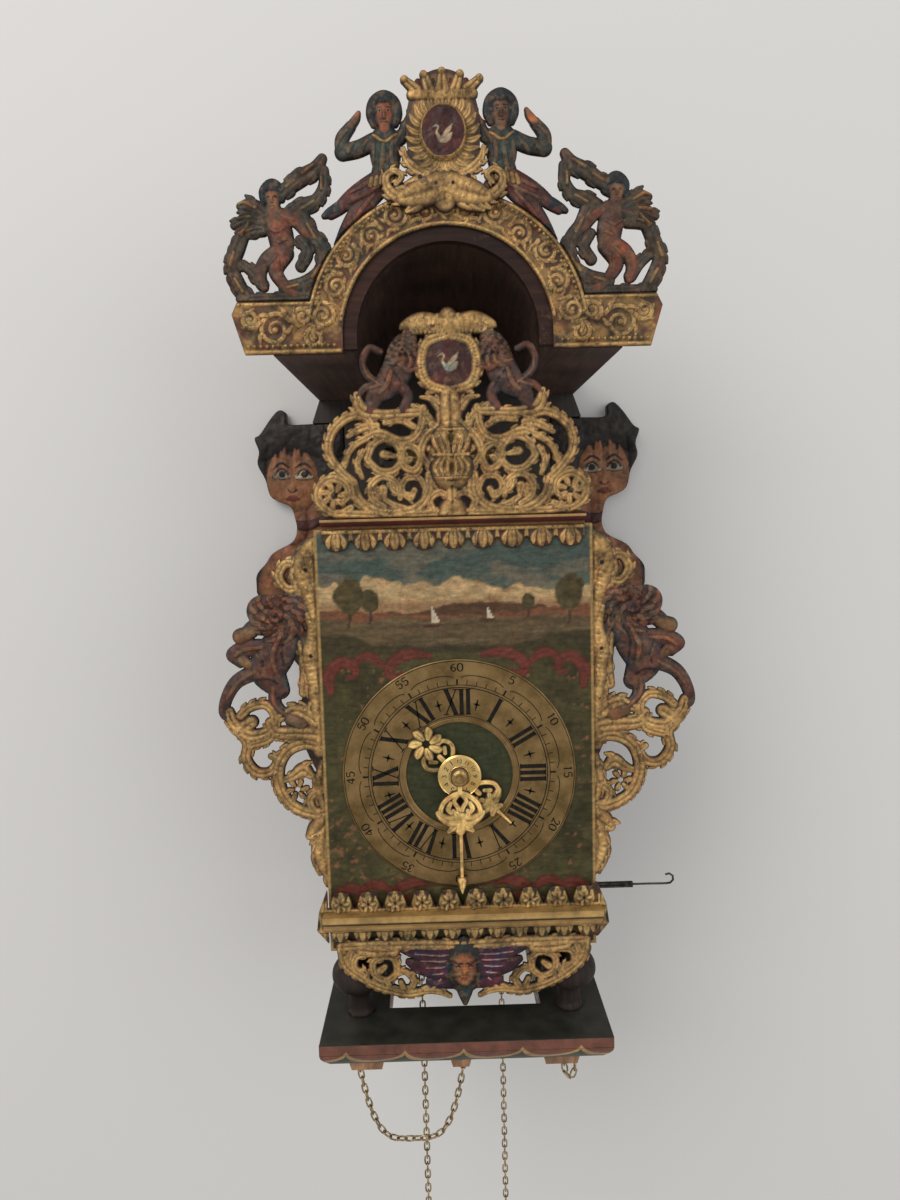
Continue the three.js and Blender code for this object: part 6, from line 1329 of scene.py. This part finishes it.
# %% Green ground, flowers and corner sprays
ground = np.array((0.050, 0.043, 0.015)) * (0.35 + 1.2 * layered(x, z, 14, 61)[..., None])
paint = over(ground, view, soft_step(z, 297, 3))
petal = layered(x, z, 3.4, 71) * soft_step(layered(x, z, 12, 75), 0.52, 0.1)
paint = over(paint, (0.24, 0.10, 0.05), soft_step(petal, 0.66, 0.06) * (z < 296) * 0.5)
paint = over(paint, (0.030, 0.034, 0.013), soft_step(41.5, away, 1.5))
plate.paint[:] = paint
for sign in (1, -1):
    for low, size in ((292, 1.0), (114, 0.8)):
        sprays = read_strokes("""
            20 3 2, 34 5 3.6, 46 1 4, 52 -7 3.4, 47 -13 2.6, 41 -9 1.6;
            96 -22 2.6, 97 -10 4, 88 0 4, 78 -3 3.2, 77 -10 2.2, 83 -12 1.4;
            56 -3 2, 64 3 3.6, 72 3 3, 78 -2 1.6""")
        for line in sprays:
            line = [(sign * a, low + b * size, 2.5 * w) for a, b, w in line]
            plate.stroke(smooth_line(line, 6), paint=(0.120, 0.028, 0.018), ground=(0.06, 0.020, 0.012),
                         gilt=0, rise=0.02, vein=0.4, on=True)
plate.paint[:] = over(plate.paint, (0.30, 0.19, 0.07), soft_step(1.8, to_edge, 0.8))

# %% Finish of the dial's paint
painted = Finish("dial_paint")
painted_attribute = painted.tree.nodes.new("ShaderNodeAttribute")
painted_attribute.attribute_name = "paint"
cracks = painted.add("TexVoronoi", {"Vector": painted.place, "Scale": 150.0}, feature="DISTANCE_TO_EDGE")
crackle = painted.ramp(cracks, (0.0, grey(0.55)), (0.05, grey(1)))
brushing = painted.noise(90, 5, 0.6, painted.stretched(1, 1, 3.5))
uneven = painted.ramp(brushing, (0.3, grey(0.7)), (0.7, grey(1.3)))
tone = painted.mix(1.0, painted_attribute.outputs["Color"], uneven, "MULTIPLY")
crackled = painted.mix(1.0, tone, crackle, "MULTIPLY")
painted.set(Base_Color=painted.mix(0.55, tone, crackled), Roughness=0.5, Specular_IOR_Level=0.22,
            Normal=painted.bump(brushing, 0.12, 0.0006))
casting("painted_plate", plate, back_y=-243.5, edge=1.5, finish=painted, replaces=["dial_plate"],
        patches=0.15)

# %% [markdown]
# ## The chapter ring
# The ring is turned brass with a groove near its inner edge. Numerals, minutes and circles are black
# lines laid on the brass: each line is a thin slab that follows a run of points and has a width.

# %% The ring
def turned_piece(name, profile, sides, centre, along, finish, replaces, body="clock", smooth=True):
    """A closed turned form from a closed profile of (radius, height) in millimetres."""
    points = lathe(profile, sides, centre, along)
    faces = sheet_faces(len(profile), sides, wrap_rows=True)
    dress(finish, new_piece(name, points * mm, faces, body, replaces, smooth))


ring_profile = [(40.8, 0), (40.8, 0.9), (41.4, 1.2), (43.6, 1.2), (43.9, 1.0), (44.4, 1.0), (44.7, 1.2),
                (65, 1.2), (85.6, 1.2), (88.6, 1.2), (89.2, 0.8), (89.2, 0)]
ring_brass = metal("ring_brass", (0.155, 0.100, 0.040), (0.30, 0.195, 0.085), (0.4, 0.56), 45)
forwards, upwards = (0, -1, 0), (0, 0, 1)
turned_piece("dial_ring", ring_profile, 180, (0, -245.3, dial_z), forwards, ring_brass, ["chapter_ring"],
             smooth=False)


# %% Lines laid on a surface
def ribbons(lines, back_y, front_y, closed=()):
    """Slabs between two depths that follow lines of (x, z, width): four points for each station."""
    points, faces, first = [], [], 0
    for index, line in enumerate(lines):
        line = np.asarray(line, float)
        round_trip = index in closed
        ahead = np.roll(line, -1, 0) - np.roll(line, 1, 0) if round_trip else np.gradient(line, axis=0)
        step = ahead[:, :2] / (np.linalg.norm(ahead[:, :2], axis=1, keepdims=True) + 1e-9)
        side = np.stack([-step[:, 1], step[:, 0]], 1) * line[:, 2:] / 2
        left, right = line[:, :2] + side, line[:, :2] - side
        corners = np.stack([np.insert(left, 1, front_y, 1), np.insert(right, 1, front_y, 1),
                            np.insert(right, 1, back_y, 1), np.insert(left, 1, back_y, 1)], 1)
        points.append(corners.reshape(-1, 3))
        grid = sheet_faces(len(line), 4, wrap_rows=round_trip, first=first)
        faces.extend(grid[:, ::-1].tolist())
        if not round_trip:
            last = first + 4 * (len(line) - 1)
            faces.extend([[first, first + 1, first + 2, first + 3], [last + 3, last + 2, last + 1, last]])
        first += 4 * len(line)
    return np.concatenate(points), faces


def on_dial(radius, turns, lines):
    """Moves lines drawn upright round (0, 0) to a place on the dial, their top pointing outwards."""
    a = 2 * np.pi * turns
    out = []
    for line in lines:
        u, v, w = np.asarray(line, float).T
        r = radius + v
        out.append(np.stack([r * np.sin(a) + u * np.cos(a), dial_z + r * np.cos(a) - u * np.sin(a), w], 1))
    return out


# %% Roman numerals
tall = 9.6
roman_strokes = {
    "I": (5.0, [[(0, -tall, 3.1), (0, tall, 3.1)]]),
    "V": (10.6, [[(-3.6, tall, 3.4), (0, -tall, 2.6)], [(3.6, tall, 0.9), (0.4, -tall, 0.8)]]),
    "X": (11.0, [[(-3.8, tall, 3.3), (3.8, -tall, 3.3)], [(3.8, tall, 0.9), (-3.8, -tall, 0.9)]]),
}
serif_ends = {"I": [(0, 1), (0, -1)], "V": [(-3.6, 1), (3.6, 1), (0, -1)],
              "X": [(-3.8, 1), (3.8, 1), (-3.8, -1), (3.8, -1)]}


def roman(text):
    """Strokes of a Roman number, centred, with short bars at the ends of its strokes."""
    u = -sum(roman_strokes[c][0] for c in text) / 2
    lines = []
    for c in text:
        width, strokes = roman_strokes[c]
        u += width / 2
        lines += [[(u + a, v, w) for a, v, w in stroke] for stroke in strokes]
        lines += [[(u + a - 2.1, s * tall, 0.8), (u + a + 2.1, s * tall, 0.8)] for a, s in serif_ends[c]]
        u += width / 2
    return lines


# %% Figures of the minutes
digit_strokes = {
    "0": """
        0 1 0.2, -0.55 0.6 0.34, -0.62 0 0.36, -0.55 -0.6 0.34, 0 -1 0.2, 0.55 -0.6 0.34, 0.62 0 0.36,
        0.55 0.6 0.34, 0 1 0.2""",
    "1": "-0.35 0.65 0.18, 0.05 1 0.3; 0.05 1 0.34, 0.05 -1 0.34",
    "2": """
        -0.55 0.55 0.3, -0.1 1 0.22, 0.5 0.6 0.36, 0.1 -0.3 0.26, -0.6 -0.95 0.2;
        -0.62 -0.92 0.3, 0.62 -0.92 0.3""",
    "3": """
        -0.5 0.7 0.26, 0.05 1 0.22, 0.5 0.55 0.34, 0 0.1 0.2;
        0 0.1 0.2, 0.6 -0.4 0.36, 0.05 -1 0.24, -0.58 -0.66 0.28""",
    "4": "0.25 1 0.26, -0.65 -0.35 0.2, 0.65 -0.35 0.26; 0.25 0.7 0.34, 0.25 -1 0.34",
    "5": """
        0.55 0.94 0.3, -0.4 0.94 0.26, -0.48 0.15 0.22, 0.15 0.25 0.24, 0.6 -0.3 0.36, 0.1 -0.98 0.24,
        -0.55 -0.72 0.28""",
    "6": """
        0.45 0.9 0.2, -0.35 0.4 0.32, -0.58 -0.3 0.36, 0 -1 0.22, 0.55 -0.45 0.34, 0.05 0.05 0.2,
        -0.5 -0.3 0.2""",
    "7": "-0.6 0.92 0.3, 0.6 0.92 0.26, 0 -1 0.34",
    "8": """
        0 0.1 0.22, -0.5 0.55 0.3, 0 1 0.22, 0.5 0.55 0.3, 0 0.1 0.22, -0.6 -0.45 0.34, 0 -1 0.22,
        0.6 -0.45 0.34, 0 0.1 0.22""",
    "9": "0.5 0.3 0.2, 0 -0.05 0.2, -0.5 0.45 0.34, 0 1 0.22, 0.58 0.3 0.36, -0.4 -0.9 0.22",
}


def digits(text, size):
    """Strokes of a number in figures of half height size."""
    u = -0.82 * size * (len(text) - 1)
    lines = []
    for c in text:
        lines += [smooth_line([(u + a * size, v * size, w * size) for a, v, w in stroke], 4)
                  for stroke in read_strokes(digit_strokes[c])]
        u += 1.64 * size
    return lines


# %% Numbers and marks on the ring
hours = ("I", "II", "III", "IIII", "V", "VI", "VII", "VIII", "IX", "X", "XI", "XII")
marks = []
for i, text in enumerate(hours, 1):
    marks += on_dial(56.5, i / 12, roman(text))
    marks += on_dial(83.2, i / 12, digits(str(5 * i), 3.1))
    star = read_strokes("0 4.2 0.5, 0 0 1.9, 0 -5 0.5; -2.8 0 0.5, 0 0 1.7, 2.8 0 0.5")
    marks += on_dial(56, (i + 0.5) / 12, star)
    arch_t = np.linspace(-1, 1, 15)
    arch = np.stack([16.6 * arch_t, 5.6 * np.sqrt(1 - 0.94 * arch_t**2), 0 * arch_t + 0.6], 1)
    marks += on_dial(72, (i + 0.5) / 12, [arch])
for i in range(60):
    top, width = (1.8, 0.6) if i % 5 else (2.4, 1.4)
    marks += on_dial(71.6, i / 60, [[(0, -1.8, width), (0, top, width)]])
circles = []
for radius, width in ((45.9, 0.5), (67.6, 0.7), (69.6, 0.5), (88.0, 0.5)):
    circles.append(len(marks))
    marks.append(arc_line((0, dial_z), radius, 0, 2 * np.pi * 149 / 150, width, 150))
points, faces = ribbons(marks, -246.3, -246.62, closed=circles)
black = Finish("engraved_black")
ink = black.ramp(black.noise(500, 4), (0.35, (0.004, 0.0035, 0.003)), (0.7, (0.016, 0.013, 0.009)))
black.set(Base_Color=ink, Roughness=0.7, Specular_IOR_Level=0.15)
dress(black, new_piece("ring_marks", points * mm, faces, "clock", ["chapter_ring"], smooth=False))
print("ring marks:", len(marks), "lines")

# %% [markdown]
# ## Hands and the alarm disc
# The hands are pierced brass castings, turned as they stand in the photograph. Each rides on the
# body that carries it, so that it goes round with its arbor.

# %% Strokes of the hands
minute_strokes = read_strokes("""
    0 0 15, 0 1 15;
    0 8 5, 0 14 4.4;
    0 13 4.4, -7 16 4.6, -14 22 4.6, -16.4 30 4.6, -12 36 4.4, -6.5 34 4, -6 28.5 4;
    0 13 4, 5 20 4, 2 26 4.4, 0 33 5;
    8 22 4, 10 27 5, 7.4 31 3;
    0 36 15, 9 37 11, 16 33 7, 19 30 4;
    6 42 8, 10 46 4;
    0 40 13, 0 47 6;
    0 46 3.2, 0 90 3;
    0 89 8, 0 93 6, 0 99.5 1""")
hour_strokes = read_strokes("""
    0 0 26, 0 1 26;
    0 8 9, 0 38 8;
    0 24 7, 14 30 7, 24 42 7, 22 54 7, 13 60 6, 7 52 6;
    8 40 6, 14 46 7;
    0 58 20, 12 58 15, 22 54 9;
    0 66 16, 9 72 7;
    0 62 16, 0 76 6, 0 99 3.2;
    0 -8 9, 0 -38 8;
    0 -20 7, 14 -26 7, 24 -38 7, 20 -50 7, 10 -52 6;
    9 -36 6, 14 -42 7""")
minute_flowers = [(0, 38, 11, 5)]
hour_flowers = [(0, 57, 15, 5), (0, -64, 24, 7)]
hand_finish = carved_finish("gilt_hand", 1.2, 0.15)


def about_y(turns):
    """The matrix that turns points clockwise, seen from the front, about the dial's middle."""
    a = 2 * math.pi * turns
    return [(math.cos(a), 0, math.sin(a)), (0, 1, 0), (-math.sin(a), 0, math.cos(a))]


# %% Hands on their arbors
for name, table, flowers, length, bore, back, turns, body, node in (
        ("long_hand", minute_strokes, minute_flowers, 92, 2.7, -252.5, 0.5, "minute_arbor", "minute_hand"),
        ("short_hand", hour_strokes, hour_flowers, 55, 4.6, -247.7, 0.375, "hour_wheel", "hour_hand")):
    hand = Field((-22, -0.95 * length if name == "short_hand" else -12), (22, length + 1), 0.34)
    look = dict(paint=(0.80, 0.53, 0.19), ground=(0.13, 0.065, 0.025), gilt=1.0)
    lay_strokes(hand, table, length, (0, 0), vein=0.3, rise=0.16, **look)
    for x, z, radius, petals in flowers:
        rosette(hand, x, z * length / 100, radius * length / 100, petals, 0, vein=0.4, rise=0.26, **look)
    hand.inside = np.minimum(hand.inside, np.hypot(hand.x, hand.z) - bore)
    hand.height = np.minimum(hand.height, 0.49)
    casting(name, hand, np.array((0, back, dial_z)), 0.7, hand_finish, [node], body,
            about_y(turns), lumps=0.1)

# %% Alarm disc
disc_profile = [(4.9, 0), (4.9, 1.1), (7.5, 1.2), (7.8, 1.0), (8.2, 1.2), (15.2, 1.2), (15.6, 1.0),
                (16.0, 1.2), (16.5, 0.9), (16.5, 0)]
turned_piece("alarm_dial", disc_profile, 72, (0, -250.1, dial_z), forwards, bright_brass, ["alarm_disc"],
             "alarm_disc", smooth=False)
marks = []
for i in range(1, 13):
    marks += on_dial(11.7, -i / 12, digits(str(i), 1.7 if i < 10 else 1.35))
points, faces = ribbons(marks, -251.2, -251.36)
dress(black, new_piece("alarm_marks", points * mm, faces, "alarm_disc", ["alarm_disc"],
                       smooth=False))

# %% [markdown]
# ## Chains
# Each chain is one mesh of open oval links. A link is a thin ring pulled long, and every second link
# is turned a quarter turn about the chain's line, so that neighbours hook through each other.

# %% Open links along a line
def evenly(path, pitch):
    """Points at equal distances along a line, and the direction of the line at each."""
    path = np.asarray(path, float)
    run = np.concatenate([[0], np.cumsum(np.linalg.norm(np.diff(path, axis=0), axis=1))])
    at = (np.arange(int(run[-1] // pitch)) + 0.5) * pitch
    place = np.stack([np.interp(at, run, path[:, k]) for k in range(3)], 1)
    ahead = np.stack([np.interp(at + 0.5, run, path[:, k]) - np.interp(at - 0.5, run, path[:, k])
                      for k in range(3)], 1)
    return place, ahead / np.linalg.norm(ahead, axis=1, keepdims=True)


def chain(name, path, side, extra=()):
    """Links 9.3 mm long and 5.6 mm wide of 1.4 mm wire: an oval whose ends are pushed apart each way,
    with a round section."""
    pitch, half_width, end_shift, wire_radius = 6.3, 2.1, 1.85, 0.7
    steps, wire_sides = 12, 6
    place, ahead = evenly(path, pitch)
    side = np.broadcast_to(np.asarray(side, float), ahead.shape)
    side = side - ahead * (side * ahead).sum(1, keepdims=True)
    side /= np.linalg.norm(side, axis=1, keepdims=True)
    third = np.cross(ahead, side)
    turned = (np.arange(len(place)) % 2 == 1)[:, None]
    across, normal = np.where(turned, third, side), np.where(turned, side, third)
    a = np.linspace(0, 2 * np.pi, steps, endpoint=False)[:, None]
    b = np.linspace(0, 2 * np.pi, wire_sides, endpoint=False)[None, :]
    out = half_width + wire_radius * np.cos(b)
    along = out * np.sin(a) + end_shift * np.clip(np.sin(a) * 2.4, -1, 1)
    wide, deep = out * np.cos(a), wire_radius * np.sin(b) + 0 * a
    shape = [v.reshape(-1) for v in (along, wide, deep)]
    points = (place[:, None] + ahead[:, None] * shape[0][None, :, None]
              + across[:, None] * shape[1][None, :, None] + normal[:, None] * shape[2][None, :, None])
    one, each = sheet_faces(steps, wire_sides, wrap_rows=True), steps * wire_sides
    faces = (one[None] + each * np.arange(len(place))[:, None, None]).reshape(-1, 4)
    points, count = points.reshape(-1, 3), each * len(place)
    for tube_points in extra:
        faces = np.concatenate([faces, sheet_faces(*tube_points.shape[:2], first=count)])
        points = np.concatenate([points, tube_points.reshape(-1, 3)])
        count += tube_points.shape[0] * tube_points.shape[1]
    dress(chain_brass, new_piece(name, points * mm, faces, "clock", [name.replace("_links", "_chain")]))
    print(name, len(place), "links")


# %% The two falls with their hooks
def over_wheel(y, fall, bottom):
    """Up the falling side, over the wheel and down the short side, with a hook of bent wire."""
    wheel, arbor_z, short_end_z = 35, 203, 110
    a = np.linspace(np.pi, 0, 40)
    path = [(fall, y, bottom + 16), (fall, y, arbor_z)]
    path += [(math.copysign(wheel, fall) * -math.cos(v), y, arbor_z + wheel * math.sin(v)) for v in a[1:]]
    path.append((-fall, y, short_end_z))
    hook_radius, wire_radius = 5, 1.05
    swing = np.linspace(np.pi / 2, 2.0 * np.pi, 16)
    hook = [(fall, y, bottom + 17), (fall, y, bottom + 13)] + [
        (fall - hook_radius * math.cos(v) * 0.9, y, bottom + 5.6 + hook_radius * math.sin(v)) for v in swing]
    return path, tube(smooth_line(hook, 3), wire_radius, 8)


for name, y, fall, bottom in (("going_links", -211, -35, -212), ("strike_links", -141, 35, -268)):
    path, hook = over_wheel(y, fall, bottom)
    chain(name, path, (1, 0, 0), [hook])

# %% The spare chain and the short bunch
block_y, eye_z = -240.0, -33.3
for name, from_x, to_x, drop in (("spare_links", -86.2, -2, 66), ("alarm_links", 77.5, 87.5, 16)):
    share = np.linspace(0, 1, 120)
    sag = 1 - (2 * share - 1) ** 4
    path = np.stack([from_x + (to_x - from_x) * share, 0 * share + block_y, eye_z - drop * sag], 1)
    chain(name, path, (0, 1, 0))

# %% [markdown]
# ## Feet
# The four feet are turned: a small pad, a hollow, a wide bun and a neck. A profile spun about an
# axis is the same thing that the lathe does, so it is the shortest way to the same form.

# %% Turned feet
foot_radius, foot_height = 22.3, 61.4
foot_profile = smooth_line([(0.48, 0.0), (0.49, 0.03), (0.43, 0.09), (0.41, 0.2), (0.44, 0.3), (0.62, 0.34),
                            (0.80, 0.385), (0.94, 0.45), (0.985, 0.53), (0.94, 0.62), (0.79, 0.70),
                            (0.58, 0.755), (0.43, 0.82), (0.42, 0.88), (0.47, 0.94), (0.49, 1.0)], 4)
foot_profile = np.vstack([[(0, 0)], foot_profile, [(0, 1)]]) * (foot_radius, foot_height)
for end, y in (("front", -222.4), ("rear", -118)):
    for side, sign in sides:
        turned_piece(f"turned_foot_{end}_{side}", foot_profile, 48, (sign * 85, y, 0.3), upwards, foot_wood,
                     [f"foot_{end}_{side}"])

# %% [markdown]
# ## The bell
# The bell on the top of the case is a turned cup, mouth down: a thick lip, a hollow side and a round
# shoulder. The same profile, one wall inwards, makes its inside.

# %% Turned bell
bell_shares = [(0.995, 0.01), (0.98, 0.04), (0.925, 0.12), (0.85, 0.26), (0.8, 0.4), (0.765, 0.55),
               (0.735, 0.70), (0.685, 0.82), (0.59, 0.92), (0.46, 0.965), (0.3, 0.99), (0.09, 0.995)]
bell_radius, bell_height, bell_wall, bell_bore = 46, 36, 2.6, 3
bell_outside = smooth_line([(r * bell_radius, h * bell_height, 0) for r, h in bell_shares], 4)[:, :2]
bell_inside = smooth_line([(max(r * bell_radius - bell_wall, bell_bore),
                            h * (bell_height - bell_wall) + 0.4, 0) for r, h in bell_shares], 4)[::-1, :2]
turned_piece("turned_bell", np.vstack([bell_outside, bell_inside]), 96, (0, -120, 450), upwards, brass,
             ["bell"])

# %% [markdown]
# ## The mermaids
# Each mermaid is sawn from a board and painted. The board's outline is a table of (across, up), in
# hundredths of its height. Hair, face, arms and tail are laid on it as low relief.

# %% Outline of a mermaid
mermaid_outline = [[0, 100], [7, 100], [11.8, 100.1], [12.2, 102.3], [13.7, 103], [15.6, 101.2],
                   [17.9, 98.1], [19.1, 97.2], [18.3, 94.5], [18.7, 91.8], [17.2, 88.6], [16.4, 85.3],
                   [14.7, 83.9], [12.1, 82.7], [11.2, 79.9], [11, 77.6], [12.1, 75.2], [16.2, 73],
                   [17.9, 70.8], [20, 68.3], [20.2, 64.6], [17.8, 60], [16.4, 55], [12.4, 49], [9.6, 45],
                   [12, 40], [12.4, 34], [10, 27], [6.4, 20], [4, 13], [5.4, 7], [4.4, 2], [0, 0]]
board_x, board_z, unit, outer_edge = 104.3, 17.3, 4.8, 201.2
corners = [(board_x + a * unit, board_z + u * unit, 0) for a, u in mermaid_outline]
half_outline = smooth_line(corners, 4)

# %% Paints of a mermaid
skin = plain((0.235, 0.092, 0.040), (0.14, 0.052, 0.024), on=True)
black_hair = plain((0.017, 0.012, 0.009), rise=0.35, on=True)
tail = dict(paint=(0.045, 0.05, 0.03), ground=dark_paint, gilt=0.1, vein=0.2, ribs=0.3, rib_pitch=7,
            rise=0.3, on=True)
flat = dict(gilt=0, vein=0, rise=0.16, on=True, ground=dark_paint)
cheek, cheek_shade = np.array((0.265, 0.112, 0.046)), np.array((0.185, 0.072, 0.030))

# %% Mermaid boards
for side, sign in sides:
    board = field_beside(sign, 103, 203, 16, 513, 0.92)
    outline = [(sign * a, u) for a, u, _ in half_outline]
    board.plate(np.minimum(within(outline, board.x, board.z), outer_edge - sign * board.x), 0.1,
                (0.035, 0.018, 0.013))
    on_board = partial(lay_strokes, board, height=480, foot=(board_x, board_z), mirror=(sign,))
    on_board("5 80 9, 8 73 11, 9 67 12, 8 60 11", rise=0.2, **skin)
    on_board("11 74 6, 16 69 6, 16.5 63 5, 11 59 4.4; 12.5 84 7, 12 78 7", rise=0.36, **skin)
    on_board("5 58 9, 5.5 48 9, 6 38 9, 4.5 28 7.5, 3 18 5, 2.6 8 4, 2 2 2", **tail)
    on_board("""
        3 97 9, 10 99 9, 15 98 8, 17.6 95 5; 2 80 5, 3 88 7, 3 97 8; 17.8 96 3, 18.2 90 2.4, 16.8 86 1.6""",
             **black_hair)
    face = 1 - np.hypot((sign * board.x - board_x - 11.4 * unit) / 26, (board.z - board_z - 88.4 * unit) / 34)
    fringe_edge = 94.2 + 0.8 * np.sin(sign * board.x * 0.5) + 0.4 * np.sin(sign * board.x * 1.3)
    face = np.minimum(face * 30, (fringe_edge * unit + board_z - board.z) * 0.6)
    shown = (face > 0) & (board.inside > 0.5)
    glow = np.clip(face / 9, 0, 1)[..., None]
    board.paint[:] = np.where(shown[..., None], cheek_shade * (1 - glow) + cheek * glow, board.paint)
    board.height[:] = np.where(shown, 1.1 + 1.6 * np.clip(face / 14, 0, 1) ** 0.6, board.height)
    on_board("""
        7.4 89 1.2, 8.9 89.4 2.4, 10.4 89 1.2; 12.1 89.2 1.2, 13.6 89.6 2.4, 15.1 89.2 1.2""",
             paint=(0.36, 0.27, 0.18), **flat)
    on_board("""
        8.7 89.4 1.3, 8.9 89.4 1.3; 13.4 89.6 1.3, 13.6 89.6 1.3;
        7.2 90.8 0.3, 8.9 91.8 0.6, 10.6 90.9 0.4; 12 91 0.4, 13.7 92 0.6, 15.3 90.8 0.3;
        7.4 89.2 0.3, 8.9 90.6 0.4, 10.4 89.2 0.3; 12.1 89.4 0.3, 13.6 90.8 0.4, 15.1 89.4 0.3;
        10.6 86.2 0.5, 11.4 85.9 0.6, 12.2 86.2 0.5""", paint=(0.012, 0.009, 0.008), **flat)
    on_board("11.5 90 0.5, 11.5 87.6 0.9, 11.5 86.6 1.5", **plain((0.27, 0.115, 0.052), (0.22, 0.09, 0.04)),
             rise=0.22, on=True)
    on_board("10.2 84.3 0.5, 11.5 84.5 1.4, 12.8 84.3 0.5", paint=(0.115, 0.028, 0.018),
             ground=(0.1, 0.02, 0.015), gilt=0, vein=0.2, rise=0.2, on=True)
    on_board("5 80 1.6, 9 78.6 2.2, 13 79.6 1.6", **plain(maroon), rise=0.4, on=True)
    casting(f"painted_mermaid_{side}", board, back_y=-0.2, edge=7.4, finish=carved,
            replaces=[f"mermaid_{side}"], patches=0.15)

# %% [markdown]
# ## The seat's edge
# The hollow edge of the seat is maroon with a row of painted scallops: in each, a red field over
# green with a pale line between. Height and distance along the edge give the pattern.

# %% Scalloped paint
def scalloped(name, pitch, low, high):
    """Bands by height plus 0.6 sqrt(1 - (1.9 phase)^2), where phase runs from -0.5 to 0.5 over each
    scallop: that bends the bands into lobes."""
    n = Finish(name)
    split = n.tree.nodes.new("ShaderNodeSeparateXYZ")
    n.join(split.inputs[0], n.place)
    along = n.math("ADD", split.outputs[0], split.outputs[1])
    phase = n.math("SUBTRACT", n.math("FRACT", n.math("DIVIDE", along, pitch * mm)), 0.5)
    level = n.math("DIVIDE", n.math("SUBTRACT", split.outputs[2], low * mm), (high - low) * mm)
    wide = n.math("MULTIPLY", n.math("ABSOLUTE", phase), 1.9)
    lobe = n.math("SQRT", n.math("MAXIMUM", n.math("SUBTRACT", 1.0, n.math("POWER", wide, 2.0)), 0.0))
    depth = n.math("ADD", level, n.math("MULTIPLY", lobe, 0.6))
    bands = n.ramp(depth, (0.0, (0.034, 0.040, 0.020)), (0.78, (0.034, 0.040, 0.020)),
                   (0.81, (0.36, 0.22, 0.09)), (0.94, (0.36, 0.22, 0.09)), (0.97, (0.15, 0.050, 0.028)),
                   (1.0, (0.15, 0.050, 0.028)))
    dirt = n.ramp(n.noise(70, 6, 0.7), (0.3, grey(0.4)), (0.66, grey(1.15)))
    worn_top = n.ramp(n.noise(60, 5), (0.3, (0.010, 0.012, 0.009)), (0.7, (0.035, 0.032, 0.022)))
    colour = n.mix(n.ramp(level, (0.975, grey(0)), (0.99, grey(1))), n.mix(1.0, bands, dirt, "MULTIPLY"),
                   worn_top)
    n.set(Base_Color=colour, Roughness=0.5, Normal=n.bump(n.noise(400, 4), 0.2, 0.0006))
    return n


dress(scalloped("scalloped_paint", 45, -22, 0), "seat_moulding", "seat_board")
print("finishes:", len(bpy.data.materials))
